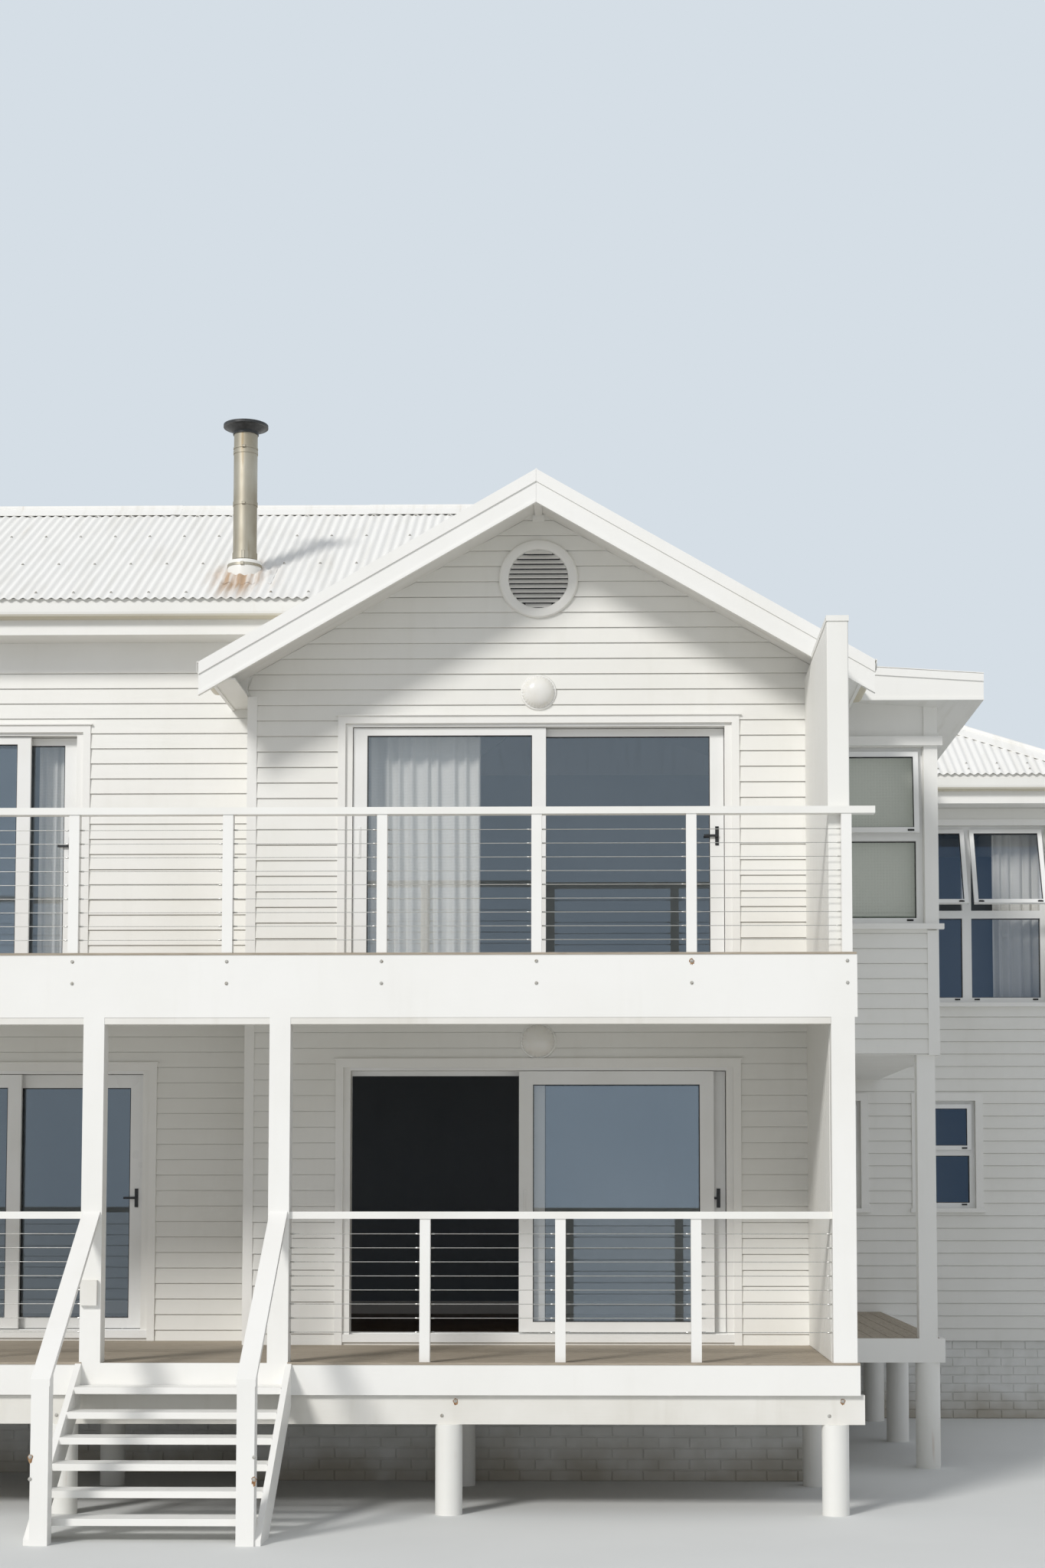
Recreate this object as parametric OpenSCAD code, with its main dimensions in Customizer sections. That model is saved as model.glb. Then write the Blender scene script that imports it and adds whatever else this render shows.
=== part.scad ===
// Beach house in white timber: a projecting gable block, a left block, a rear wing and a side
// bay on two storeys, with a raised porch, a balcony over it and an entrance stair.
// Lengths are in millimetres. X runs along the front, Y from the front into the house, Z up.
// While it is drawn, the porch's front is y = 0, the middle of the gable is x = 0 and the ground
// is z = 0. placed() then moves everything so that the origin is the middle of the footprint.

/* [Levels] */
// Height of the porch deck above the ground
deck_h = 1050; // [850:10:1400]
// Rise from the porch deck to the balcony
storey_h = 2867; // [2600:1:3500]
// How far the weatherboards run down below the deck
skirt_drop = 284; // [150:1:400]
// Roof surface above the balcony at the gable block's side walls
gable_wall_h = 2533; // [2450:1:3100]
// Roof surface above the balcony at the left block's front wall
left_wall_h = 3285; // [2900:1:3900]
// Roof surface above the balcony at the wing's front wall
wing_wall_h = 2660; // [2560:1:3200]

/* [Plan] */
// Depth of the porch in front of the gable wall
porch_d = 2000; // [1500:10:2600]
// Width of the gable block
gable_w = 4622; // [4100:2:5600]
// Depth of the gable block, to the wing's front wall
gable_d = 5200; // [5000:10:6500]
// How far the left block's front wall stands behind the gable wall
left_setback = 500; // [250:10:900]
// Length of the left block beside the gable block
left_w = 4189; // [3600:1:5200]
// Depth of the left block
left_d = 4300; // [3600:10:4600]
// Depth of the wing
wing_d = 4600; // [3800:10:5600]
// How far the wing runs past the gable block
wing_ext = 2799; // [2600:1:3800]
// How far the side bay stands out
bay_w = 939; // [800:1:1200]
// How far the bay's front wall stands behind the gable wall
bay_setback = 850; // [650:10:1200]
// Thickness of the timber walls
wall_t = 150; // [140:1:200]

/* [Roofs] */
// Pitch of the gable block's roof in degrees
gable_pitch = 30; // [25:0.1:36]
// Pitch of the left block's roof in degrees
left_pitch = 29.6; // [25:0.1:36]
// Pitch of the wing's hipped roof in degrees
wing_pitch = 28.75; // [24:0.05:34]
// Fall of the bay's flat roof in degrees
bay_pitch = 3.6; // [2:0.1:6]
// Plumb depth of sheeting and rafters together
roof_t = 130; // [100:5:180]
// How far the gable roof stands out in front of its wall
gable_reach = 690; // [400:10:900]
// How far the rafters run past the side walls of the gable block
gable_eave = 179; // [120:1:300]
// How far the rafters run past the long walls of the left block and the wing
long_eave = 325; // [200:5:500]
// How far the left block's roof stands out past its end wall
verge = 400; // [200:10:600]

/* [Doors] */
// Clear width between the jambs of the centre doors
centre_door_w = 2950; // [2400:10:3400]
// Clear width between the jambs of the left doors
left_door_w = 2102; // [1800:2:2500]
// Height of the lower leaves' top edge above the deck
leaf_top_h = 2137; // [1980:1:2300]
// Thickness of a sliding leaf
leaf_t = 36; // [30:1:44]
// Gap between the two leaves of a pair
track_gap = 30; // [26:1:40]
// Width of a leaf's stiles
stile_w = 110; // [80:1:140]

/* [Railings] */
// Top of the balcony handrail above the balcony
rail_h = 1040; // [900:5:1200]
// Top of the porch handrail above the deck
deck_rail_h = 1053; // [900:1:1200]
// Diameter of the railing cables
cable_d = 5; // [3:1:8]
// Width of the big porch posts
post_w = 147; // [120:1:200]

/* [Stair] */
// Number of risers from the ground to the deck
risers = 7; // [5:1:9]
// Depth of a tread from nosing to nosing
going = 212; // [190:1:260]

/* [Hidden] */
$fn = 48;

// Levels
deck_z = deck_h;
balcony_z = deck_z + storey_h;
skirt_z = deck_z - skirt_drop;
floor_rise = 20;              // inner floor above the deck outside
floor_t = 250;                // depth of a floor with its joists
ground_floor_z = deck_z + floor_rise;
upper_floor_z = balcony_z + floor_rise;

// Plan lines
half_w = gable_w / 2;
left_x = -half_w - left_w;
wing_x = half_w + wing_ext;
bay_x = half_w + bay_w;
gable_y = porch_d;
left_y = gable_y + left_setback;
left_back_y = left_y + left_d;
wing_y = gable_y + gable_d;
wing_back_y = wing_y + wing_d;
bay_y = gable_y + bay_setback;

// Roof lines: each is the top surface, and under is the same surface less the roof's depth
gable_ridge_z = balcony_z + gable_wall_h + half_w * tan(gable_pitch);
left_ridge_y = left_y + left_d / 2;
left_ridge_z = balcony_z + left_wall_h + left_d / 2 * tan(left_pitch);
wing_ridge_y = wing_y + wing_d / 2;
wing_ridge_z = balcony_z + wing_wall_h + wing_d / 2 * tan(wing_pitch);
function gable_top(x) = gable_ridge_z - abs(x) * tan(gable_pitch);
function left_top(y) = left_ridge_z - abs(y - left_ridge_y) * tan(left_pitch);
function wing_top(y) = wing_ridge_z - abs(y - wing_ridge_y) * tan(wing_pitch);
gable_front_y = gable_y - gable_reach;
cap_gap = 12;                 // slopes stop this far from a ridge or hip, under its cap
seat_gap = 0.3;               // between sloping faces that lie on each other
cheek_t = 100;                // the left roof ends in a small cheek wall over the gable's ridge
left_roof_x = left_x - verge;
cap_w = 150;
cap_t = 6;
roll_r = 32;

// Bay roof: its right edge and the height of its top there
bay_roof_reach = 345;
bay_roof_front = 390;
bay_edge_x = bay_x + bay_roof_reach;
bay_lap = 22;                 // its edge lies this far under the gable roof's line
bay_edge_z = gable_top(half_w) - bay_lap;
bay_roof_t = 213;
bay_under_z = deck_z + 2309;
function bay_top(x) = bay_edge_z + (bay_edge_x - x) * tan(bay_pitch);

// Boards, posts and trim
board_t = 28;
deck_board_w = 137;
board_gap = 6;
board_end = 10;               // boards stop this far inside the porch's right end
small_deck_boards = 7;
fascia_t = 30;
deck_fascia_h = 220;
balcony_fascia_h = 452;
edge_beam_drop = 47;          // edge beam shows this far below the balcony fascia
beam_t = 45;
bearer_h = 204;
bearer_t = 70;
joist_w = 45;
joist_count = 15;
small_joist_step = 480;
small_bearer_t = 90;
small_bearer_x = bay_x - 138;
small_fascia_h = 194;
small_deck_x1 = bay_x + 40;
small_deck_y0 = bay_y + 20;
plinth_t = 110;
plinth_in = 20;               // the plinth's face is this far behind the weatherboards
pier_d = 190;
bay_pier_d = 200;
pier_in = 66;                 // first pier's centre inside the corner post's
pier_back = 250;              // rear bearer's line before the gable wall
bearer_gap = 10;              // from the fascia to the front bearer
bearer_over = 33;             // front bearer's end past the porch
pier_pitch = 2695;
pier_count = 4;
corner_w = 166;
screen_t = 141;
screen_h = 2383;              // top of the upper screen wall above the balcony
screen_cap_h = 40;
screen_cap_over = 10;
ceiling_t = 12;

// The porch runs from the left block's end to just past the screen wall
porch_x0 = left_x - 75;
corner_x = half_w - 116;      // centre of the corner post
porch_x1 = corner_x + corner_w / 2 + 20;
joist_x1 = porch_x1 - 40;
screen_x0 = half_w - 196;
screen_x1 = screen_x0 + screen_t;
stair_in = 3954;              // from the corner post to the stair's right post
stair_post_pitch = 1314;
stair_post_r = corner_x - stair_in;
stair_post_l = stair_post_r - stair_post_pitch;
end_post_x = porch_x0 + 85;
bay_post_w = 149;
bay_post_x = bay_x - 21 - bay_post_w;
bay_post_y = bay_y + 20;

// Railings
rail_post_w = 73;
rail_t = 50;
rail_w = 90;
rail_out = 8;                 // handrails stand this far in front of their posts
rail_over = 238;              // balcony handrail's end past the corner post
balcony_bays = 8;
balcony_cable_rows = 9;
balcony_cable_z0 = 100;
deck_cable_rows = 8;
deck_cable_z0 = 211;
cable_step = 98;
rail_x0 = porch_x0 + 65;
rail_x1 = corner_x + 35;
function balcony_post_x(i) = rail_x0 + (rail_x1 - rail_x0) * i / balcony_bays;
deck_rail_y = 40;
deck_right_posts = 3;
deck_left_posts = 2;
function between(a, b, n, i) = a + (b - a) * i / (n + 1);
deck_right_x0 = stair_post_r + post_w / 2;
deck_right_x1 = corner_x - corner_w / 2;
deck_left_x0 = end_post_x + post_w / 2;
deck_left_x1 = stair_post_l - post_w / 2;
return_posts = [0.42, 0.8];   // shares of the porch's left side
side_rail_x = porch_x0 + 15;

// Stair
rise = deck_h / risers;
tread_t = 45;
stringer_t = 42;
stringer_d = 290;
newel_w = 115;
stair_run = (risers - 1) * going;
newel_y = -stair_run - 118;
string_foot = 160;            // stringers run this far past the last riser
nosing = 15;
tread_gap = 3;
stair_rail_z = deck_z + 1010; // underside of the sloping rails at the porch
rail_steeper = 1.03;          // the rails fall a little faster than the stair
stair_inner_r = stair_post_r + newel_w / 2;
stair_inner_l = stair_post_l - newel_w / 2;
stair_slope = rise / going;
stair_rail_w = 124;
stair_rail_t = 45;

// Doors, measured from the deck or balcony in front of them
jamb_w = 55;
casing_w = 60;
casing_t = 24;
sill_z0 = 22;
sill_z1 = 82;
head_gap = 5;
head_t = 24;
head_stop = 32;               // rear stop's reach below a leaf's top
track_h = 7;
leaf_lift = 12;               // leaf's bottom edge above the sill
roller_gap = 0.3;
roller_r = 14;
side_clear = 5;
outer_leaf_y = 22;
inner_leaf_y = outer_leaf_y + leaf_t + track_gap;
bottom_rail = 83;
top_rail = 105;
upper_top_rail = 61;
glass_t = 10;
overlap_w = stile_w + 8;      // the meeting stiles lie behind each other
upper_drop = 135;             // upper leaves are lower than the lower ones
upper_left_drop = 101;
lever_reach = 22;
lever_h = 1060;               // above the sill
lever_l = 104;
lever_grip = 10;
lever_plate_t = 7;
lever_plate_h = 150;
roller_in = 160;              // rollers' place from a leaf's edges

centre_leaf_w = (centre_door_w + overlap_w) / 2 - side_clear;
left_leaf_w = (left_door_w + overlap_w) / 2 - side_clear;
// The centre left leaf stands open by this much, behind it the right leaf is closed
centre_open = 1319;
left_door_x = left_x + 2241;          // middle of the left block's lower doors
upper_left_door_x = left_x + 1665;    // middle of its upper doors
upper_left_open = 610;

// A pair of doors: centre x, wall face y, floor z, clear width, leaf top height
CENTRE_LOW = [0, gable_y, deck_z, centre_door_w, leaf_top_h];
CENTRE_UP = [0, gable_y, balcony_z, centre_door_w, leaf_top_h - upper_drop];
LEFT_LOW = [left_door_x, left_y, deck_z, left_door_w, leaf_top_h];
LEFT_UP = [upper_left_door_x, left_y, balcony_z, left_door_w, leaf_top_h - upper_left_drop];
DOORS = [CENTRE_LOW, CENTRE_UP, LEFT_LOW, LEFT_UP];
function rough_half(d) = d[3] / 2 + jamb_w;
function rough_top(d) = d[2] + d[4] + head_gap + head_t;

// A window: [x, y, z] of its opening's bottom middle on the wall's face, the way it faces
// (0 front, 90 right, 180 back, -90 left), width, height, columns, top-hung sash angle
low_win_w = 560;
low_win_h = 1072;
low_win_z = deck_z + 1026;
up_win_w = 1580;
up_win_h = 1790;
up_win_z = deck_z + 3080;
frame_w = 55;
mullion_w = 92;
transom_w = 78;
frame_y = 40;
frame_d = 80;
sash_w = 42;
sash_t = 36;
sash_clear = 2;               // between the sash and each side of its light
sash_lap = 20;                // a sash covers the frame by this much all round
pane_t = 8;
up_lower_light = 800;         // glass height below the transom of an upper window
low_lower_light = 470;
FRONT = 0;
RIGHT = 90;
BACK = 180;
LEFT = -90;
bay_win_x0 = half_w + 50;
bay_win_x1 = bay_x - 100;
bay_win_z = deck_z + 3387;
bay_win_h = 1470;
bay_lower_light = 640;
upper_high = 1200;            // windows higher than this have a taller lower light
WINDOWS = [
    [[wing_x - 1172, wing_y, low_win_z], FRONT, low_win_w, low_win_h, 1, 0],
    [[wing_x - 2314, wing_y, low_win_z], FRONT, low_win_w, low_win_h, 1, 0],
    [[wing_x - 947, wing_y, up_win_z], FRONT, up_win_w, up_win_h, 2, 22],
    [[(bay_win_x0 + bay_win_x1) / 2, bay_y, bay_win_z], FRONT,
        bay_win_x1 - bay_win_x0, bay_win_h, 1, 5],
    [[left_x, left_y + left_d * 0.28, low_win_z], LEFT, low_win_w, low_win_h, 1, 0],
    [[left_x, left_y + left_d * 0.72, low_win_z], LEFT, low_win_w, low_win_h, 1, 0],
    [[left_x, left_ridge_y, up_win_z], LEFT, up_win_w, up_win_h, 2, 0],
    [[wing_x, wing_y + wing_d * 0.28, low_win_z], RIGHT, low_win_w, low_win_h, 1, 0],
    [[wing_x, wing_y + wing_d * 0.72, low_win_z], RIGHT, low_win_w, low_win_h, 1, 0],
    [[wing_x, wing_ridge_y, up_win_z], RIGHT, up_win_w, up_win_h, 2, 0],
    [[-half_w + gable_w * 0.15, wing_back_y, low_win_z], BACK, low_win_w, low_win_h, 1, 0],
    [[wing_x - 1172, wing_back_y, low_win_z], BACK, low_win_w, low_win_h, 1, 0],
    [[half_w - 600, wing_back_y, low_win_z], BACK, low_win_w, low_win_h, 1, 0],
    [[wing_x - 1400, wing_back_y, up_win_z], BACK, up_win_w, up_win_h, 2, 0],
    [[-half_w + 1500, wing_back_y, up_win_z], BACK, up_win_w, up_win_h, 2, 0],
    [[left_x + left_w / 2, left_back_y, low_win_z], BACK, low_win_w, low_win_h, 1, 0],
    [[left_x + left_w / 2, left_back_y, up_win_z], BACK, up_win_w, up_win_h, 2, 0]];
function w_at(w) = w[0];
function w_dir(w) = w[1];
function w_wide(w) = w[2];
function w_high(w) = w[3];
function w_cols(w) = w[4];
function w_sash(w) = w[5];
function lower_light(w) = w_cols(w) == 2 ? up_lower_light
    : w_high(w) > upper_high ? bay_lower_light : low_lower_light;

// Gutters and eaves
gutter_w = 95;
gutter_h = 115;
gutter_t = 4;
gutter_r = 45;                // rounding of its foot
gutter_bead = 10;             // rolled lip
gutter_up = 20;               // its back rises this far above the lip
gutter_drop = 72;             // gutter's lip below the roof's edge
eave_fascia_t = 25;
eave_fascia_h = 308;
eave_lap = 10;                // sheets lap this far over a fascia's top
side_fascia_h = 190;
soffit_t = 12;
mitre_gap = 1;
left_soffit_z = left_top(left_y - long_eave) - eave_fascia_h + eave_lap;
wing_soffit_z = wing_top(wing_y - long_eave) - eave_fascia_h + eave_lap;
gable_edge_x = half_w + gable_eave;
gable_edge_z = gable_top(gable_edge_x);
side_soffit_z = gable_edge_z - side_fascia_h + eave_lap;
bay_front_y = bay_y - bay_roof_front;
ceiling_z = balcony_z - deck_fascia_h - ceiling_t;

// Trim
corner_board_w = 76;
corner_board_t = 20;
casing_ear = 14;
casing_cap = 10;
window_casing_w = 75;
wide_casing_w = 62;           // round windows of two columns
sill_ear = 16;
sill_out = 26;
sill_h = 40;
bay_sill_z = deck_z + 3343;
bay_sill_h = 44;
bay_hood_z = deck_z + 4863;
bay_hood_h = 76;
bay_trim_out = 58;

// Trim on the gable
barge_t = 35;
barge_h = 258;
barge_up = 8;                 // barge boards stand this far above the roof's line
strip_t = 11;                 // strip along a barge board's top
strip_h = 96;
bead_t = 7;                   // bead along its foot
bead_h = 22;
bay_strip_h = 60;
// Layers of a barge board: how far each stands forward, its top and its foot
BARGE_LAYERS = [[0, 0, barge_h], [strip_t, 0, strip_h], [bead_t, barge_h - bead_h, barge_h]];
eave_clear = 10;
gable_end_x = half_w + 279;
vent_z = deck_z + 6057;
vent_r = 315;
vent_inner_r = 250;
vent_slats = 11;
upper_light_z = deck_z + 5144;
lower_light_z = deck_z + 2372;
lamp_r = 130;

// Curtains: x0, x1, inner wall face y, bottom z, top z
curtain_d = 80;
curtain_in = 60;
curtain_foot_z = upper_floor_z + 15;
curtain_rail_t = 20;
CURTAINS = [
    [-1380, -465, gable_y + wall_t, curtain_foot_z, balcony_z + 2050],
    [left_x + 2350, left_x + 2650, left_y + wall_t, curtain_foot_z, balcony_z + 2080],
    [wing_x - 660, wing_x - 170, wing_y + wall_t, curtain_foot_z, up_win_z + up_win_h + 40]];

// Flue
flue_x = left_x + 4040;
flue_y = left_y + 230;
flue_r = 98;
flue_top_z = deck_z + 7475;
cowl_r = 185;
cowl_h = 111;
collar_w = 30;
collar_h = 110;
flashing_r = 215;             // half the width of the flashing plate
flashing_t = 5;
flue_bands = [0.12, 0.5, 0.86];   // shares of the pipe's height above the roof
band_t = 4;
band_h = 26;

// The whole box, which sets the origin
box_x0 = left_roof_x - barge_t;
box_x1 = wing_x + long_eave + eave_fascia_t + gutter_w;
box_y0 = newel_y - newel_w / 2;
box_y1 = wing_back_y + long_eave + eave_fascia_t + gutter_w;

far = 20000;

// Helpers
module placed() {
    translate([-(box_x0 + box_x1) / 2, -(box_y0 + box_y1) / 2, 0]) children();
}

module block(x0, x1, y0, y1, z0, z1) {
    translate([x0, y0, z0]) cube([x1 - x0, y1 - y0, z1 - z0]);
}

// Extrudes an outline drawn in X and Z from y0 to y1
module along_y(y0, y1) {
    translate([0, y1, 0]) rotate([90, 0, 0]) linear_extrude(y1 - y0) children();
}

// Extrudes an outline drawn in Y and Z from x0 to x1
module along_x(x0, x1) {
    translate([x0, 0, 0]) rotate([90, 0, 90]) linear_extrude(x1 - x0) children();
}

// Everything under the gable roof's surface, less drop
module under_gable(y0, y1, drop = 0, x0 = -gable_end_x, x1 = gable_end_x) {
    along_y(y0, y1)
        polygon([[x0, 0], [x0, gable_top(x0) - drop], [0, gable_top(0) - drop],
            [x1, gable_top(x1) - drop], [x1, 0]]);
}

// Everything under the left roof's surface, less drop
module under_left(x0, x1, drop, y0, y1) {
    along_x(x0, x1)
        polygon([[y0, 0], [y0, left_top(y0) - drop], [left_ridge_y, left_ridge_z - drop],
            [y1, left_top(y1) - drop], [y1, 0]]);
}

// What the walls under the gable roof and the left roof may fill
module gable_wall_space() {
    under_gable(gable_y, gable_y + wall_t, roof_t + seat_gap);
}

module left_wall_space() {
    under_left(left_x, 0, roof_t + seat_gap, left_y, left_back_y);
}

// Everything under the wing's hipped surface, less drop, within its eaves
wing_eave_x0 = -half_w - long_eave;
wing_eave_x1 = wing_x + long_eave;
wing_eave_y0 = wing_y - long_eave;
wing_eave_y1 = wing_back_y + long_eave;
wing_eave_z = wing_top(wing_eave_y0);
wing_half_d = wing_ridge_y - wing_eave_y0;
module under_wing(drop) {
    intersection() {
        along_x(wing_eave_x0, wing_eave_x1)
            polygon([[wing_eave_y0, 0], [wing_eave_y0, wing_eave_z - drop],
                [wing_ridge_y, wing_ridge_z - drop],
                [wing_eave_y1, wing_eave_z - drop], [wing_eave_y1, 0]]);
        along_y(wing_eave_y0, wing_eave_y1)
            polygon([[wing_eave_x0, 0], [wing_eave_x0, wing_eave_z - drop],
                [wing_eave_x0 + wing_half_d, wing_ridge_z - drop],
                [wing_eave_x1 - wing_half_d, wing_ridge_z - drop],
                [wing_eave_x1, wing_eave_z - drop], [wing_eave_x1, 0]]);
    }
}

// Supports
module piers() {
    color("white") {
        for (i = [0:pier_count - 1])
            for (y = [pier_d / 2, porch_d - pier_back])
                translate([corner_x - pier_in - i * pier_pitch, y, 0])
                    cylinder(d = pier_d, h = deck_z - deck_fascia_h - bearer_h);
        for (y = [bay_y + 120, (bay_y + wing_y) / 2, wing_y - 250])
            translate([small_bearer_x + small_bearer_t / 2, y, 0])
                cylinder(d = bay_pier_d, h = deck_z - small_fascia_h);
    }
}
module plinth_walls() {
    color("gainsboro") {
        block(left_x + plinth_in, -half_w + plinth_in, left_y + plinth_in,
            left_y + plinth_in + plinth_t, 0, skirt_z);
        block(-half_w + plinth_in, half_w - plinth_in, gable_y + plinth_in,
            gable_y + plinth_in + plinth_t, 0, skirt_z);
        block(left_x + plinth_in, -half_w + plinth_in, left_back_y - plinth_in - plinth_t,
            left_back_y - plinth_in, 0, skirt_z);
        block(half_w - plinth_in, wing_x - plinth_in, wing_y + plinth_in,
            wing_y + plinth_in + plinth_t, 0, skirt_z);
        block(-half_w + plinth_in, wing_x - plinth_in, wing_back_y - plinth_in - plinth_t,
            wing_back_y - plinth_in, 0, skirt_z);
    }
}

module plinth_returns() {
    front = plinth_in + plinth_t;
    color("gainsboro") {
        block(left_x + plinth_in, left_x + front, left_y + front, left_back_y - front,
            0, skirt_z);
        block(-half_w + plinth_in, -half_w + front, gable_y + front, left_y + front,
            0, skirt_z);
        block(-half_w + plinth_in, -half_w + front, left_back_y - front,
            wing_back_y - front, 0, skirt_z);
        block(half_w - front, half_w - plinth_in, gable_y + front, wing_y + front,
            0, skirt_z);
        block(wing_x - front, wing_x - plinth_in, wing_y + front, wing_back_y - front,
            0, skirt_z);
    }
}

module bearers() {
    z1 = deck_z - deck_fascia_h;
    color("white") {
        for (b = [[fascia_t + bearer_gap, bearer_over], [porch_d - pier_back - bearer_t / 2, 0]])
            block(porch_x0, porch_x1 + b[1], b[0], b[0] + bearer_t, z1 - bearer_h, z1);
        block(porch_x0 + fascia_t, joist_x1, fascia_t, fascia_t + beam_t,
            balcony_z - balcony_fascia_h - edge_beam_drop, balcony_z - board_t);
        block(small_bearer_x, small_bearer_x + small_bearer_t, small_deck_y0 + fascia_t, wing_y,
            deck_z - small_fascia_h, deck_z - board_t);
    }
}

function porch_back_y(x) = x < -half_w ? left_y : gable_y;
module joists() {
    x0 = porch_x0 + fascia_t;
    step = (joist_x1 - joist_w - x0) / (joist_count - 1);
    color("white") {
        for (i = [0:joist_count - 1]) {
            x = x0 + i * step;
            y1 = porch_back_y(x + joist_w);
            block(x, x + joist_w, fascia_t, y1, deck_z - deck_fascia_h, deck_z - board_t);
            block(x, x + joist_w, fascia_t + beam_t, y1,
                balcony_z - deck_fascia_h, balcony_z - board_t);
        }
        for (y = [small_deck_y0 + fascia_t : small_joist_step : wing_y - joist_w])
            block(half_w, small_bearer_x, y, y + joist_w, deck_z - small_fascia_h,
                deck_z - board_t);
    }
}

// Boards along the front, each as long as the porch is there
module boards_along_front(top_z) {
    step = deck_board_w + board_gap;
    n_full = floor((gable_y - fascia_t) / step);
    n_all = floor((left_y - fascia_t) / step);
    for (i = [0:n_all - 1]) {
        y0 = fascia_t + i * step;
        full = y0 + deck_board_w <= gable_y;
        x1 = full ? porch_x1 - board_end : -half_w;
        block(porch_x0 + fascia_t, x1, y0, y0 + deck_board_w, top_z - board_t, top_z);
    }
    block(-half_w, porch_x1 - board_end, fascia_t + n_full * step, gable_y,
        top_z - board_t, top_z);
    block(porch_x0 + fascia_t, -half_w - board_gap, fascia_t + n_all * step, left_y,
        top_z - board_t, top_z);
}

module deck_boards() {
    step = (small_deck_x1 - fascia_t - half_w) / small_deck_boards;
    color("rosybrown") {
        boards_along_front(deck_z);
        boards_along_front(balcony_z);
        for (i = [0:small_deck_boards - 1])
            block(half_w + i * step, half_w + (i + 1) * step - board_gap,
                small_deck_y0 + fascia_t, wing_y, deck_z - board_t, deck_z);
    }
}

// Fascia boards that run along the front or the back
module fascias() {
    color("white") {
        block(porch_x0, porch_x1, 0, fascia_t, deck_z - deck_fascia_h, deck_z);
        block(porch_x0, porch_x1, 0, fascia_t, balcony_z - balcony_fascia_h, balcony_z);
        block(half_w, small_deck_x1, small_deck_y0, small_deck_y0 + fascia_t,
            deck_z - small_fascia_h, deck_z);
        difference() {
            union() {
                long_fascia(left_roof_x, 0, left_y - long_eave, -1, left_top(left_y - long_eave));
                long_fascia(left_roof_x, -half_w - long_eave, left_back_y + long_eave, 1,
                    left_top(left_y - long_eave));
            }
            under_gable(gable_front_y, left_y);
        }
        difference() {
            long_fascia(wing_eave_x0 - eave_fascia_t, wing_eave_x1 + eave_fascia_t,
                wing_eave_y0, -1, wing_eave_z);
            block(-far, bay_x, 0, wing_y, 0, far);
            bay_slab();
        }
        long_fascia(wing_eave_x0 - eave_fascia_t, wing_eave_x1 + eave_fascia_t,
            wing_eave_y1, 1, wing_eave_z);
        bay_fascia();
    }
}

// One fascia outside the rafter ends at y, facing front (-1) or back (1)
module long_fascia(x0, x1, y, side, edge_z) {
    y0 = side < 0 ? y - eave_fascia_t : y;
    block(x0, x1, y0, y0 + eave_fascia_t, edge_z - eave_fascia_h, edge_z - eave_lap);
}

// Front board of the bay roof, with a strip along its top and a bead along its foot
module bay_fascia() {
    x0 = gable_end_x - 60;
    y0 = bay_front_y - eave_fascia_t;
    foot = bay_edge_z - bay_roof_t;
    along_y(y0, bay_front_y)
        polygon([[x0, bay_top(x0)], [bay_edge_x, bay_edge_z], [bay_edge_x, foot], [x0, foot]]);
    along_y(y0 - strip_t, y0 + 1)
        polygon([[x0, bay_top(x0)], [bay_edge_x, bay_edge_z], [bay_edge_x, bay_edge_z - bay_strip_h],
            [x0, bay_top(x0) - bay_strip_h]]);
    block(x0, bay_edge_x, y0 - bead_t, y0 + 1, foot, foot + bead_h);
}

// Fascia boards that run from front to back
module end_fascias() {
    color("white") {
        block(porch_x0, porch_x0 + fascia_t, fascia_t, left_y, deck_z - deck_fascia_h, deck_z);
        block(porch_x0, porch_x0 + fascia_t, fascia_t, left_y,
            balcony_z - balcony_fascia_h, balcony_z);
        block(small_deck_x1 - fascia_t, small_deck_x1, small_deck_y0 + fascia_t, wing_y,
            deck_z - small_fascia_h, deck_z);
        block(wing_eave_x1, wing_eave_x1 + eave_fascia_t, wing_eave_y0, wing_eave_y1,
            wing_eave_z - eave_fascia_h, wing_eave_z - eave_lap);
        block(wing_eave_x0 - eave_fascia_t, wing_eave_x0, left_back_y + long_eave + 130,
            wing_eave_y1, wing_eave_z - eave_fascia_h, wing_eave_z - eave_lap);
        eave_side_fascia(-1, gable_front_y + barge_t, left_y);
        eave_side_fascia(1, gable_front_y + barge_t, bay_front_y - eave_fascia_t);
    }
}

// Fascia under the gable roof's side eave
module eave_side_fascia(side, y0, y1) {
    x = side < 0 ? -gable_edge_x - eave_fascia_t : gable_edge_x;
    block(x, x + eave_fascia_t, y0, y1, gable_edge_z - side_fascia_h, gable_edge_z - eave_lap);
}

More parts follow.
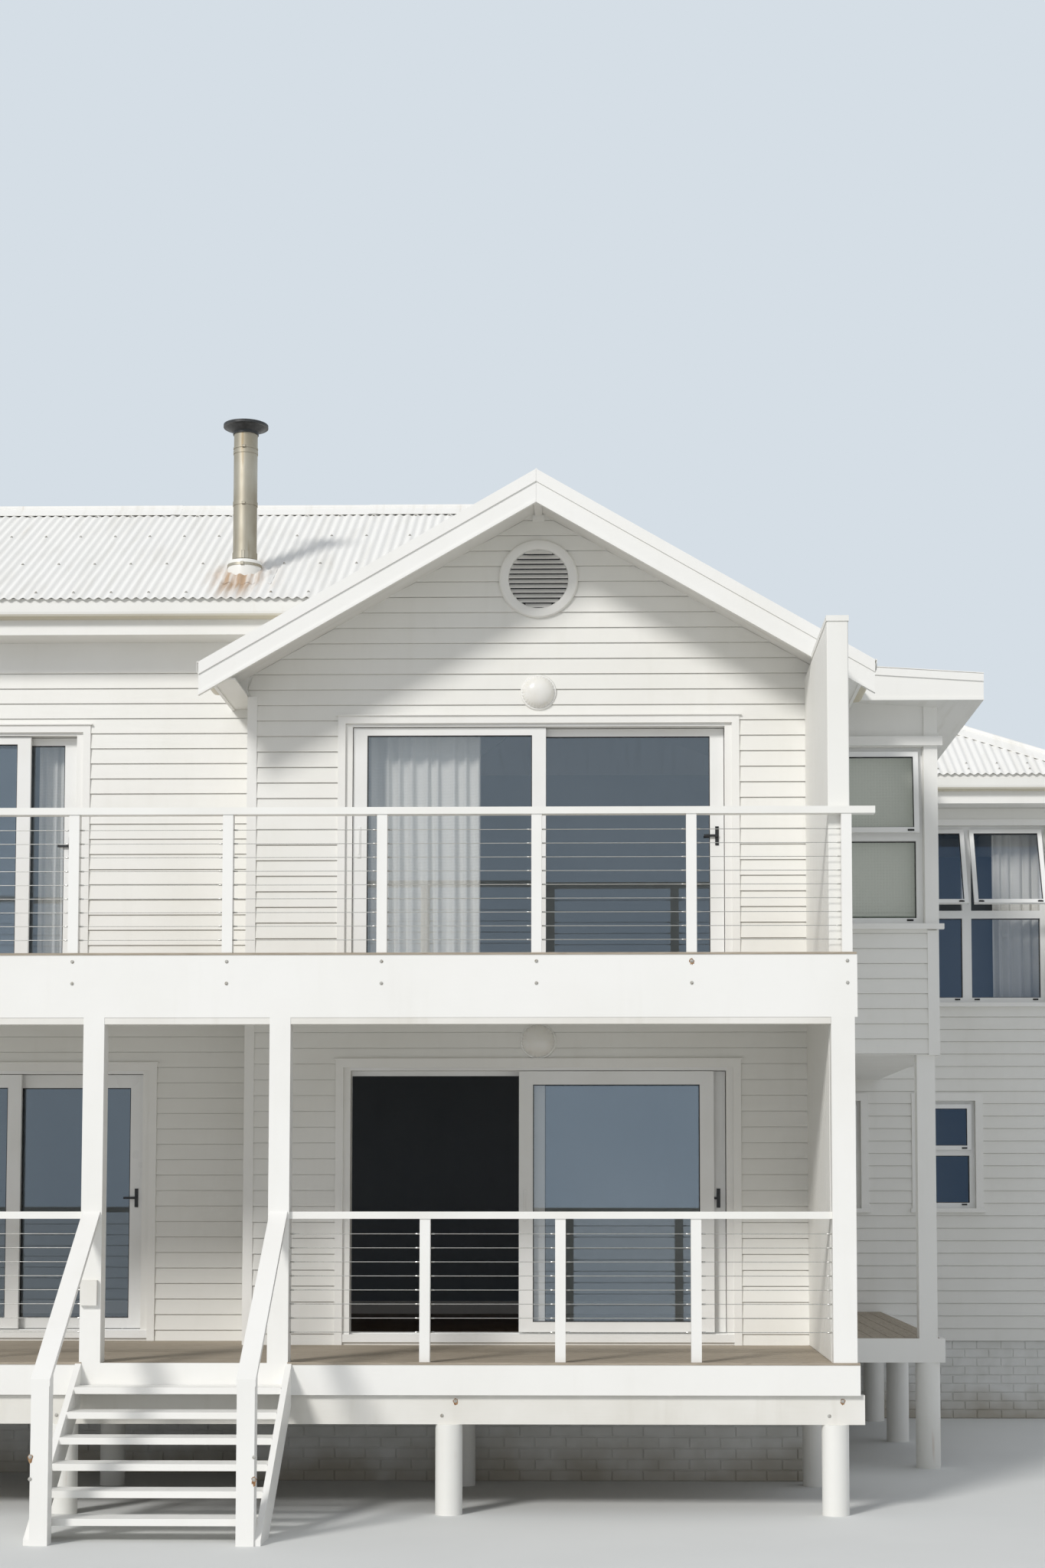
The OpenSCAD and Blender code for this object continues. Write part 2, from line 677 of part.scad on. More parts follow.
module soffits() {
    color("white") {
        block(-half_w + mitre_gap, screen_x0, fascia_t + beam_t, gable_y,
            ceiling_z, ceiling_z + ceiling_t);
        block(porch_x0 + fascia_t, -half_w, fascia_t + beam_t, left_y,
            ceiling_z, ceiling_z + ceiling_t);
        difference() {
            block(left_roof_x, 0, left_y - long_eave, left_y, left_soffit_z,
                left_soffit_z + soffit_t);
            under_gable(gable_front_y, left_y + 1);
        }
        block(left_roof_x, -half_w, left_back_y, left_back_y + long_eave,
            left_soffit_z, left_soffit_z + soffit_t);
        block(bay_x, wing_eave_x1, wing_eave_y0, wing_y, wing_soffit_z,
            wing_soffit_z + soffit_t);
        block(wing_eave_x0, wing_eave_x1, wing_back_y, wing_eave_y1, wing_soffit_z,
            wing_soffit_z + soffit_t);
        block(wing_x, wing_eave_x1, wing_y + mitre_gap, wing_back_y - mitre_gap,
            wing_soffit_z, wing_soffit_z + soffit_t);
        block(wing_eave_x0, -half_w, left_back_y + long_eave + 150, wing_back_y - mitre_gap,
            wing_soffit_z, wing_soffit_z + soffit_t);
        block(half_w, bay_x, bay_y, wing_y, bay_under_z, bay_under_z + ceiling_t);
        block(-gable_edge_x, -half_w, gable_front_y + barge_t, left_y, side_soffit_z,
            side_soffit_z + soffit_t);
        block(half_w, gable_edge_x, gable_front_y + barge_t, bay_front_y, side_soffit_z,
            side_soffit_z + soffit_t);
    }
}

// Both floors lie in three bays between the walls' inner faces
module floor_bays(top_z) {
    t = wall_t;
    z0 = top_z - floor_t;
    block(-half_w + t, half_w - t, gable_y + t, wing_back_y - t, z0, top_z);
    block(left_x + t, -half_w + t - mitre_gap, left_y + t, left_back_y - t, z0, top_z);
    block(half_w - t + mitre_gap, wing_x - t, wing_y + t, wing_back_y - t, z0, top_z);
}

module floors() {
    color("tan") {
        floor_bays(ground_floor_z);
        floor_bays(upper_floor_z);
        block(half_w, bay_x - wall_t, bay_y + wall_t, wing_y,
            upper_floor_z - floor_t, upper_floor_z);
    }
}

module porch_posts() {
    top = balcony_z - balcony_fascia_h - edge_beam_drop;
    color("white") {
        for (c = [[end_post_x, post_w], [stair_post_l, post_w], [stair_post_r, post_w],
                [corner_x, corner_w]]) {
            block(c[0] - c[1] / 2, c[0] + c[1] / 2, 0, post_w, deck_z, top);
            block(c[0] - c[1] / 2, c[0] + c[1] / 2, 0, fascia_t, top - 1,
                top + edge_beam_drop);
        }
        block(bay_post_x, bay_post_x + bay_post_w, bay_post_y, bay_post_y + bay_post_w, deck_z,
            bay_under_z);
    }
}

module rail_post(x, y, z0, height) {
    block(x - rail_post_w / 2, x + rail_post_w / 2, y, y + rail_post_w, z0, z0 + height);
}

function return_y(s) = s * left_y;

module rail_posts() {
    color("white") {
        for (i = [0:balcony_bays])
            rail_post(balcony_post_x(i), 0, balcony_z, rail_h - rail_t);
        for (i = [1:deck_right_posts])
            rail_post(between(deck_right_x0, deck_right_x1, deck_right_posts, i),
                deck_rail_y, deck_z, deck_rail_h - rail_t);
        for (i = [1:deck_left_posts])
            rail_post(between(deck_left_x0, deck_left_x1, deck_left_posts, i),
                deck_rail_y, deck_z, deck_rail_h - rail_t);
        for (s = return_posts) {
            rail_post(rail_x0, return_y(s), balcony_z, rail_h - rail_t);
            rail_post(rail_x0, return_y(s), deck_z, deck_rail_h - rail_t);
        }
    }
}

// A handrail over x0 to x1 and y0 to y1, with its top at z
module handrail(x0, x1, y0, y1, z) {
    block(x0, x1, y0, y1, z - rail_t, z);
}

module handrails() {
    back = rail_w - rail_out;
    deck_top = deck_z + deck_rail_h;
    color("white") {
        handrail(side_rail_x, corner_x + rail_over, -rail_out, back, balcony_z + rail_h);
        handrail(side_rail_x, side_rail_x + rail_w, back + mitre_gap, left_y,
            balcony_z + rail_h);
        for (x = [[deck_right_x0, deck_right_x1], [deck_left_x0, deck_left_x1]])
            handrail(x[0], x[1], deck_rail_y - rail_out, deck_rail_y + back, deck_top);
        handrail(side_rail_x, side_rail_x + rail_w, post_w, left_y, deck_top);
    }
}

module cable_x(x0, x1, y, z) {
    translate([x0, y, z]) rotate([0, 90, 0]) cylinder(d = cable_d, h = x1 - x0, $fn = 16);
}

module cable_y(x, y0, y1, z) {
    translate([x, y1, z]) rotate([90, 0, 0]) cylinder(d = cable_d, h = y1 - y0, $fn = 16);
}

// Cables from x0 to x1 through n posts that stand evenly between them
module deck_cable_run(x0, x1, n) {
    r = rail_post_w / 2;
    for (row = [0:deck_cable_rows - 1]) for (i = [0:n])
        cable_x(between(x0, x1, n, i) + (i > 0 ? r : 0),
            between(x0, x1, n, i + 1) - (i < n ? r : 0),
            deck_rail_y + r, deck_z + deck_cable_z0 + row * cable_step);
}

module cables() {
    r = rail_post_w / 2;
    color("gray") {
        for (row = [0:balcony_cable_rows - 1]) {
            z = balcony_z + balcony_cable_z0 + row * cable_step;
            for (i = [0:balcony_bays - 1])
                cable_x(balcony_post_x(i) + r, balcony_post_x(i + 1) - r, r, z);
            return_cables(z, rail_post_w);
        }
        deck_cable_run(deck_right_x0, deck_right_x1, deck_right_posts);
        deck_cable_run(deck_left_x0, deck_left_x1, deck_left_posts);
        for (row = [0:deck_cable_rows - 1])
            return_cables(deck_z + deck_cable_z0 + row * cable_step, post_w);
    }
}

// One row of cable along the left side, from the front post to the wall
module return_cables(z, y_start) {
    a = return_y(return_posts[0]);
    b = return_y(return_posts[1]);
    cable_y(rail_x0, y_start, a, z);
    cable_y(rail_x0, a + rail_post_w, b, z);
    cable_y(rail_x0, b + rail_post_w, left_y, z);
}

// Stair
module stair_stringers() {
    color("white")
        for (x = [stair_inner_l - stringer_t, stair_inner_r])
            along_x(x, x + stringer_t)
                intersection() {
                    polygon([[0, deck_z], [0, deck_z - stringer_d],
                        [-far, deck_z - stringer_d - far * stair_slope],
                        [-far, deck_z - far * stair_slope]]);
                    polygon([[-stair_run - string_foot, 0], [0, 0], [0, deck_z],
                        [-stair_run - string_foot, deck_z]]);
                }
}

module stair_treads() {
    color("whitesmoke")
        for (k = [1:risers - 1])
            block(stair_inner_l, stair_inner_r, -k * going - nosing,
                -(k - 1) * going - tread_gap,
                deck_z - k * rise - tread_t, deck_z - k * rise);
}

// Underside of the sloping handrail boards
function stair_rail_under(y) = stair_rail_z + y * stair_slope * rail_steeper;
module stair_newels() {
    y0 = newel_y - newel_w / 2;
    y1 = newel_y + newel_w / 2;
    color("white")
        for (x = [stair_post_l, stair_post_r])
            along_x(x - newel_w / 2, x + newel_w / 2)
                polygon([[y0, 0], [y1, 0], [y1, stair_rail_under(y1)],
                    [y0, stair_rail_under(y0)]]);
}

module stair_rails() {
    y0 = newel_y - newel_w / 2;
    color("white")
        for (x = [stair_post_l, stair_post_r])
            along_x(x - stair_rail_w / 2, x + stair_rail_w / 2)
                polygon([[y0, stair_rail_under(y0)], [0, stair_rail_under(0)],
                    [0, stair_rail_under(0) + stair_rail_t],
                    [y0, stair_rail_under(y0) + stair_rail_t]]);
}

// Walls
module screen_walls() {
    color("white") {
        block(screen_x0, screen_x1, post_w, gable_y, deck_z, ceiling_z);
        difference() {
            block(screen_x0, screen_x1, rail_w - rail_out, gable_y, balcony_z,
                balcony_z + screen_h);
            along_y(gable_front_y - strip_t - seat_gap, gable_y)
                polygon([[0, far], [0, gable_top(0) - barge_h],
                    [gable_end_x, gable_top(gable_end_x) - barge_h], [gable_end_x, far]]);
        }
        block(screen_x0 - screen_cap_over, screen_x1 + screen_cap_over, rail_post_w,
            gable_front_y - screen_cap_over, balcony_z + screen_h,
            balcony_z + screen_h + screen_cap_h);
    }
}

// The lengths of front wall that stand beside the doors from skirt to roof
left_return_x = -half_w + wall_t;
module front_walls() {
    color("white") {
        intersection() {
            union() {
                block(-half_w, -rough_half(CENTRE_LOW), gable_y, gable_y + wall_t, skirt_z, far);
                block(rough_half(CENTRE_LOW), half_w, gable_y, gable_y + wall_t, skirt_z, far);
            }
            gable_wall_space();
        }
        intersection() {
            union() {
                block(left_x + wall_t, left_door_edge(LEFT_UP, -1), left_y, left_y + wall_t,
                    skirt_z, far);
                block(left_door_edge(LEFT_LOW, 1), left_return_x, left_y, left_y + wall_t,
                    skirt_z, far);
            }
            left_wall_space();
        }
    }
}
function left_door_edge(d, side) = d[0] + side * rough_half(d);

// What spans between them: the sill, the band between the storeys and the top
module front_wall_bands() {
    cw = rough_half(CENTRE_LOW);
    color("white") {
        block(-cw, cw, gable_y, gable_y + wall_t, skirt_z, deck_z + sill_z0);
        block(-cw, cw, gable_y, gable_y + wall_t, rough_top(CENTRE_LOW), balcony_z + sill_z0);
        intersection() {
            block(-cw, cw, gable_y, gable_y + wall_t, rough_top(CENTRE_UP), far);
            gable_wall_space();
        }
        block(left_door_edge(LEFT_LOW, -1), left_door_edge(LEFT_LOW, 1), left_y,
            left_y + wall_t, skirt_z, deck_z + sill_z0);
        block(left_door_edge(LEFT_UP, -1), left_door_edge(LEFT_LOW, 1), left_y,
            left_y + wall_t, rough_top(LEFT_LOW), balcony_z + sill_z0);
        intersection() {
            block(left_door_edge(LEFT_UP, -1), left_door_edge(LEFT_LOW, 1), left_y,
                left_y + wall_t, rough_top(LEFT_UP), far);
            left_wall_space();
        }
    }
}

// Short lengths left of the lower and right of the upper doors, and the wall that rises
// above the gable roof, front and back
module front_wall_infill() {
    color("white") {
        block(left_door_edge(LEFT_UP, -1), left_door_edge(LEFT_LOW, -1), left_y,
            left_y + wall_t, skirt_z, rough_top(LEFT_LOW));
        block(left_door_edge(LEFT_UP, 1), left_door_edge(LEFT_LOW, 1), left_y,
            left_y + wall_t, balcony_z + sill_z0, rough_top(LEFT_UP));
        for (y = [left_y, left_back_y - wall_t])
            difference() {
                intersection() {
                    block(left_return_x, 0, y, y + wall_t, 0, far);
                    left_wall_space();
                }
                under_gable(gable_front_y, wing_y);
            }
    }
}

// Cuts a window's opening through the wall that it is in
module window_holes(dir) {
    for (w = WINDOWS) if (w_dir(w) == dir)
        translate(w_at(w)) rotate([0, 0, dir])
            block(-w_wide(w) / 2, w_wide(w) / 2, -50, wall_t + 50, 0, w_high(w));
}

module side_walls() {
    color("white") {
        difference() {
            intersection() {
                block(left_x, left_x + wall_t, left_y, left_back_y, skirt_z, far);
                left_wall_space();
            }
            window_holes(LEFT);
        }
        block(-half_w, left_return_x, gable_y + wall_t, left_y, skirt_z,
            gable_top(half_w) - roof_t);
        block(half_w - wall_t, half_w, gable_y + wall_t, wing_y + wall_t, skirt_z,
            gable_top(half_w) - roof_t);
        block(-half_w, left_return_x, left_back_y, wing_y, skirt_z,
            gable_top(half_w) - roof_t);
        block(-half_w, left_return_x, wing_y, wing_back_y, skirt_z,
            wing_top(wing_y) - roof_t);
        difference() {
            block(wing_x - wall_t, wing_x, wing_y, wing_back_y, skirt_z,
                wing_top(wing_y) - roof_t);
            window_holes(RIGHT);
        }
        difference() {
            intersection() {
                block(-cheek_t, 0, left_y, left_back_y, 0, far);
                left_wall_space();
            }
            under_gable(gable_y, far);
        }
    }
}

module back_walls() {
    color("white")
        difference() {
            union() {
                block(left_x + wall_t, left_return_x, left_back_y - wall_t, left_back_y,
                    skirt_z, left_top(left_back_y) - roof_t);
                block(left_return_x, wing_x - wall_t, wing_back_y - wall_t, wing_back_y,
                    skirt_z, wing_top(wing_back_y) - roof_t);
            }
            window_holes(BACK);
        }
}

module wing_front_wall() {
    color("white")
        difference() {
            block(half_w, wing_x - wall_t, wing_y, wing_y + wall_t, skirt_z,
                wing_top(wing_y) - roof_t);
            window_holes(FRONT);
        }
}

module bay_walls() {
    color("white")
        difference() {
            intersection() {
                union() {
                    block(half_w, bay_x, bay_y, bay_y + wall_t, bay_under_z + ceiling_t, far);
                    block(bay_x - wall_t, bay_x, bay_y + wall_t + mitre_gap, wing_y,
                        bay_under_z + ceiling_t, far);
                }
                along_y(bay_y, wing_y)
                    polygon([[half_w, 0], [half_w, bay_top(half_w) - bay_roof_t - seat_gap],
                        [bay_x, bay_top(bay_x) - bay_roof_t - seat_gap], [bay_x, 0]]);
            }
            window_holes(FRONT);
        }
}

// Roofs
// A sloping slab between two distances from the ridge, drawn as an outline
module slope_outline(ridge_at, ridge_z, pitch, side, reach) {
    s = side;
    t = tan(pitch);
    polygon([[ridge_at + s * cap_gap, ridge_z - cap_gap * t],
        [ridge_at + s * reach, ridge_z - reach * t],
        [ridge_at + s * reach, ridge_z - reach * t - roof_t],
        [ridge_at + s * cap_gap, ridge_z - cap_gap * t - roof_t]]);
}

module left_roof() {
    color("whitesmoke")
        difference() {
            along_x(left_roof_x, 0) {
                slope_outline(left_ridge_y, left_ridge_z, left_pitch, -1,
                    left_d / 2 + long_eave);
                slope_outline(left_ridge_y, left_ridge_z, left_pitch, 1,
                    left_d / 2 + long_eave);
            }
            under_gable(gable_front_y, far);
        }
}

module gable_roof() {
    color("whitesmoke")
        difference() {
            along_y(gable_front_y + barge_t, wing_ridge_y) {
                slope_outline(0, gable_ridge_z, gable_pitch, -1, gable_edge_x);
                slope_outline(0, gable_ridge_z, gable_pitch, 1, gable_edge_x);
            }
            under_left(left_x, left_return_x, roof_t, left_y, left_back_y);
            under_left(left_x, 0, roof_t, left_y + wall_t, left_back_y - wall_t);
            under_wing(roof_t);
            block(half_w, far, bay_y, far, 0, far);
        }
}

module wing_roof() {
    g = cap_gap;
    e0 = [wing_eave_x0, wing_eave_y0];
    e1 = [wing_eave_x1, wing_eave_y1];
    r0 = wing_eave_x0 + wing_half_d;
    r1 = wing_eave_x1 - wing_half_d;
    y = wing_ridge_y;
    color("whitesmoke")
        difference() {
            intersection() {
                difference() {
                    under_wing(0);
                    under_wing(roof_t);
                }
                linear_extrude(far) {
                    polygon([[e0[0] + 2 * g, e0[1]], [e1[0] - 2 * g, e0[1]], [r1, y - g],
                        [r0, y - g]]);
                    polygon([[e0[0] + 2 * g, e1[1]], [e1[0] - 2 * g, e1[1]], [r1, y + g],
                        [r0, y + g]]);
                    polygon([[e0[0], e0[1] + 2 * g], [r0 - g, y], [e0[0], e1[1] - 2 * g]]);
                    polygon([[e1[0], e0[1] + 2 * g], [r1 + g, y], [e1[0], e1[1] - 2 * g]]);
                }
            }
            under_gable(gable_y, wing_ridge_y);
        }
}

// The bay roof's slab, which laps onto the gable roof
module bay_slab() {
    inner_x = half_w - wall_t;
    along_y(bay_y - bay_roof_front, wing_y)
        polygon([[inner_x, bay_top(inner_x)], [bay_edge_x, bay_edge_z],
            [bay_edge_x, bay_edge_z - bay_roof_t], [inner_x, bay_top(inner_x) - bay_roof_t]]);
}

module bay_roof() {
    color("white")
        difference() {
            bay_slab();
            under_gable(gable_y, bay_y);
            under_gable(bay_y - 1, wing_y, 0, -half_w, half_w);
            under_wing(0);
        }
}

// Folded caps over the ridges and rolls over the hips
module cap_outline(at, ridge_z, pitch) {
    t = tan(pitch);
    z = ridge_z + seat_gap;
    polygon([[at - cap_w, z - cap_w * t], [at, z], [at + cap_w, z - cap_w * t],
        [at + cap_w, z - cap_w * t + cap_t], [at, z + cap_t], [at - cap_w, z - cap_w * t + cap_t]]);
}

module hip_roll(corner_x, corner_y, end_x) {
    dx = end_x - corner_x;
    dy = wing_ridge_y - corner_y;
    run = sqrt(dx * dx + dy * dy);
    up = wing_ridge_z - wing_eave_z;
    translate([corner_x, corner_y, wing_eave_z])
        rotate([0, 90 - atan2(up, run), atan2(dy, dx)])
            translate([0, 0, 2 * roll_r])
                cylinder(r = roll_r, h = sqrt(run * run + up * up) - 4 * roll_r, $fn = 8);
}

// Half the length of the cheek wall, where the left roof stands over the gable's ridge
cheek_half = (left_ridge_z - gable_ridge_z) / tan(left_pitch);
module ridge_caps() {
    r0 = wing_eave_x0 + wing_half_d;
    r1 = wing_eave_x1 - wing_half_d;
    gable_end_y = wing_ridge_y - (wing_ridge_z - gable_ridge_z) / tan(wing_pitch);
    color("whitesmoke") {
        along_x(left_roof_x, 0) cap_outline(left_ridge_y, left_ridge_z, left_pitch);
        difference() {
            union() {
                along_y(gable_front_y + barge_t, left_ridge_y - cheek_half)
                    cap_outline(0, gable_ridge_z, gable_pitch);
                along_y(left_ridge_y + cheek_half, gable_end_y)
                    cap_outline(0, gable_ridge_z, gable_pitch);
            }
            under_left(left_x, 0, 0, left_y, left_back_y);
            under_wing(0);
        }
        difference() {
            along_x(r0 + 4, r1 - 4) cap_outline(wing_ridge_y, wing_ridge_z, wing_pitch);
            under_gable(gable_y, wing_ridge_y - 1);
        }
        difference() {
            union() {
                hip_roll(wing_eave_x1, wing_eave_y0, r1);
                hip_roll(wing_eave_x1, wing_eave_y1, r1);
                hip_roll(wing_eave_x0, wing_eave_y1, r0);
                hip_roll(wing_eave_x0, wing_eave_y0, r0);
            }
            under_wing(-seat_gap);
            under_gable(gable_y, wing_ridge_y);
        }
    }
}

// A board from the apex down one slope, between two depths below the roof's line
module barge_outline(side, reach, at, ridge_z, pitch, z0, z1) {
    t = tan(pitch);
    a = at + side * mitre_gap / 2;
    b = at + side * reach;
    za = ridge_z + barge_up - mitre_gap / 2 * t;
    zb = ridge_z + barge_up - reach * t;
    polygon([[a, za - z0], [b, zb - z0], [b, zb - z1], [a, za - z1]]);
}

module barge_boards() {
    left_reach = left_d / 2 + long_eave + eave_fascia_t + gutter_w;
    color("white") {
        for (side = [-1, 1]) {
            for (b = BARGE_LAYERS)
                along_y(gable_front_y - b[0], gable_front_y + barge_t)
                    barge_outline(side, gable_end_x, 0, gable_ridge_z, gable_pitch, b[1], b[2]);
            for (b = BARGE_LAYERS)
                along_x(left_roof_x - barge_t + strip_t - b[0], left_roof_x)
                    barge_outline(side, left_reach, left_ridge_y, left_ridge_z, left_pitch,
                        b[1], b[2]);
        }
    }
}

// The rounded foot of a gutter, r from the centre of its rounding
function gutter_foot(r, angles) = [for (a = angles)
    [gutter_w - gutter_r + r * cos(a), gutter_r - gutter_h + r * sin(a)]];

// A quad gutter with open top, drawn in cross-section; side says which way it faces
module gutter_outline(at, lip_z, side) {
    w = gutter_w;
    t = gutter_t;
    shape = concat([[t, gutter_up], [0, gutter_up], [0, -gutter_h]],
        gutter_foot(gutter_r, [-90:22.5:0]),
        [[w, 0], [w - gutter_bead, 0], [w - gutter_bead, -gutter_bead], [w - t, -gutter_bead]],
        gutter_foot(gutter_r - t, [0:-22.5:-90]), [[t, t - gutter_h]]);
    polygon([for (p = shape) [at + side * p[0], lip_z + p[1]]]);
}

module gutters() {
    left_lip = left_top(left_y - long_eave) - gutter_drop;
    wing_lip = wing_eave_z - gutter_drop;
    g = mitre_gap;
    out = eave_fascia_t;
    color("white") {
        difference() {
            along_x(left_roof_x, 0)
                gutter_outline(left_y - long_eave - out, left_lip, -1);
            under_gable(gable_front_y, left_y);
        }
        along_x(left_roof_x, -half_w - long_eave)
            gutter_outline(left_back_y + long_eave + out, left_lip, 1);
        along_x(bay_edge_x + g, wing_eave_x1 + out)
            gutter_outline(wing_eave_y0 - out, wing_lip, -1);
        along_x(wing_eave_x0 - out, wing_eave_x1 + out)
            gutter_outline(wing_eave_y1 + out, wing_lip, 1);
        along_y(wing_eave_y0 - out + g, wing_eave_y1 + out - g)
            gutter_outline(wing_eave_x1 + out, wing_lip, 1);
        along_y(left_back_y + long_eave + out + gutter_w + eave_clear, wing_eave_y1 + out - g)
            gutter_outline(wing_eave_x0 - out, wing_lip, -1);
        along_y(gable_front_y + barge_t, left_y - long_eave - out - gutter_w)
            gutter_outline(-gable_edge_x - out, gable_edge_z - gutter_drop / 2, -1);
        along_y(gable_front_y + barge_t, bay_front_y - out - strip_t)
            gutter_outline(gable_edge_x + out, gable_edge_z - gutter_drop / 2, 1);
    }
}

// The round louvre in the gable
module gable_vent() {
    slat_step = 2 * vent_inner_r / vent_slats;
    color("white")
        translate([0, gable_y, vent_z]) rotate([90, 0, 0]) {
            rotate_extrude()
                polygon([[vent_inner_r - 12, 0], [vent_r, 0], [vent_r, 30], [vent_r - 14, 42],
                    [vent_inner_r + 12, 42], [vent_inner_r - 12, 34]]);
            cylinder(r = vent_inner_r - 10, h = 4);
            intersection() {
                cylinder(r = vent_inner_r - 10, h = 30);
                for (i = [0:vent_slats - 1])
                    translate([0, -vent_inner_r + (i + 0.5) * slat_step, 14])
                        rotate([35, 0, 0])
                            cube([2 * vent_inner_r, slat_step * 0.75, 5], center = true);
            }
        }
}

// Round bulkhead lamps: a shallow dome on a ring
module wall_lamp(z, r) {
    translate([0, gable_y, z]) rotate([90, 0, 0]) {
        cylinder(r = r, h = 22);
        intersection() {
            translate([0, 0, 22 - r * 0.35]) sphere(r = r * 1.02);
            translate([0, 0, 22]) cylinder(r = r * 0.93, h = r);
        }
    }
}

module wall_lights() {
    color("ivory") {
        wall_lamp(upper_light_z, lamp_r);
        wall_lamp(lower_light_z, lamp_r);
    }
}

// Flue: a turned pipe with three joint bands and a collar, standing on a flashing plate
module flue_pipe() {
    foot = left_top(flue_y - flashing_r) - flue_r;
    top = left_top(flue_y);
    bore = flashing_t + seat_gap;
    color("silver") {
        difference() {
            translate([flue_x, flue_y, 0]) rotate_extrude()
                polygon([[0, foot], [flue_r + collar_w, foot], [flue_r + collar_w, top + collar_h],
                    [flue_r, top + collar_h],
                    for (s = flue_bands) let (z = top + s * (flue_top_z - top))
                        each [[flue_r, z], [flue_r + band_t, z], [flue_r + band_t, z + band_h],
                            [flue_r, z + band_h]],
                    [flue_r, flue_top_z], [0, flue_top_z]]);
            under_left(left_x, 0, -bore, left_y - long_eave, left_back_y);
        }
        along_x(flue_x - flashing_r, flue_x + flashing_r)
            polygon([for (c = [[-1, seat_gap], [-1, flashing_t], [1, flashing_t], [1, seat_gap]])
                let (y = flue_y + c[0] * flashing_r) [y, left_top(y) + c[1]]]);
    }
}

module flue_cowl() {
    color("black")
        translate([flue_x, flue_y, flue_top_z])
            rotate_extrude()
                polygon([[0, 0], [flue_r + 8, 0], [flue_r + 8, 22], [cowl_r - 20, 60],
                    [cowl_r, 62], [cowl_r, 84], [cowl_r - 60, 100], [40, cowl_h],
                    [0, cowl_h]]);
}

// Vertical boards on the outer corners, from the skirt to the soffit
module corner_board(x, y, side_x, side_y, z0, z1) {
    w = corner_board_w;
    t = corner_board_t;
    block(side_x > 0 ? x - w : x, side_x > 0 ? x : x + w, side_y < 0 ? y - t : y,
        side_y < 0 ? y : y + t, z0, z1);
}

module corner_boards() {
    color("white") {
        corner_board(-half_w, gable_y, -1, -1, deck_z, ceiling_z);
        corner_board(-half_w, gable_y, -1, -1, balcony_z, side_soffit_z);
        corner_board(bay_x, bay_y, 1, -1, bay_under_z, bay_sill_z - 10);
        corner_board(wing_x, wing_y, 1, -1, skirt_z, wing_soffit_z);
        corner_board(wing_x, wing_back_y, 1, 1, skirt_z, wing_soffit_z);
        corner_board(-half_w, wing_back_y, -1, 1, skirt_z, wing_soffit_z);
        corner_board(left_x, left_back_y, -1, 1, skirt_z, left_soffit_z);
    }
}

// Trim round a door, on the wall's face
module door_casing(d) {
    r = rough_half(d);
    z1 = rough_top(d);
    for (s = [-1, 1])
        block(d[0] + (s < 0 ? -r - casing_w : r), d[0] + (s < 0 ? -r : r + casing_w),
            d[1] - casing_t, d[1], d[2], z1);
    block(d[0] - r - casing_w, d[0] + r + casing_w, d[1] - casing_t, d[1], z1,
        z1 + casing_w);
    block(d[0] - r - casing_w - casing_ear, d[0] + r + casing_w + casing_ear,
        d[1] - casing_t - casing_ear, d[1], z1 + casing_w, z1 + casing_w + casing_cap);
}

// Trim round a window, and its sill
module window_casing(w) {
    hw = w_wide(w) / 2;
    c = w_cols(w) == 2 ? wide_casing_w : window_casing_w;
    h = w_high(w);
    translate(w_at(w)) rotate([0, 0, w_dir(w)]) {
        for (s = [-1, 1])
            block(s < 0 ? -hw - c : hw, s < 0 ? -hw : hw + c, -casing_t, 0, 0, h);
        block(-hw - c, hw + c, -casing_t, 0, h, h + c);
        block(-hw - c - sill_ear, hw + c + sill_ear, -casing_t - sill_out, 0, -sill_h, 0);
    }
}

module casings() {
    color("white") {
        for (d = DOORS) door_casing(d);
        for (w = WINDOWS) if (w_at(w)[1] != bay_y) window_casing(w);
        for (z = [[bay_sill_z, bay_sill_h], [bay_hood_z, bay_hood_h]])
            block(half_w, bay_x + bay_trim_out, bay_y - bay_trim_out, bay_y, z[0], z[0] + z[1]);
    }
}

module door_jambs() {
    color("white")
        for (d = DOORS) for (s = [-1, 1])
            block(d[0] + (s < 0 ? -rough_half(d) : d[3] / 2),
                d[0] + (s < 0 ? -d[3] / 2 : rough_half(d)),
                d[1], d[1] + wall_t, d[2] + sill_z1, rough_top(d));
}

// The sill with its two rails, and the head above with its rear stop
module door_tracks() {
    color("white")
        for (d = DOORS) {
            block(d[0] - rough_half(d), d[0] + rough_half(d), d[1] - 18, d[1] + wall_t,
                d[2] + sill_z0, d[2] + sill_z1);
            for (y = [outer_leaf_y, inner_leaf_y])
                block(d[0] - d[3] / 2, d[0] + d[3] / 2, d[1] + y + leaf_t / 2 - 3,
                    d[1] + y + leaf_t / 2 + 3, d[2] + sill_z1 - 1, d[2] + sill_z1 + track_h);
            block(d[0] - d[3] / 2, d[0] + d[3] / 2, d[1], d[1] + wall_t,
                d[2] + d[4] + head_gap, rough_top(d));
            block(d[0] - d[3] / 2, d[0] + d[3] / 2, d[1] + wall_t - 18, d[1] + wall_t,
                d[2] + d[4] - head_stop, d[2] + d[4] + head_gap + 1);
        }
}

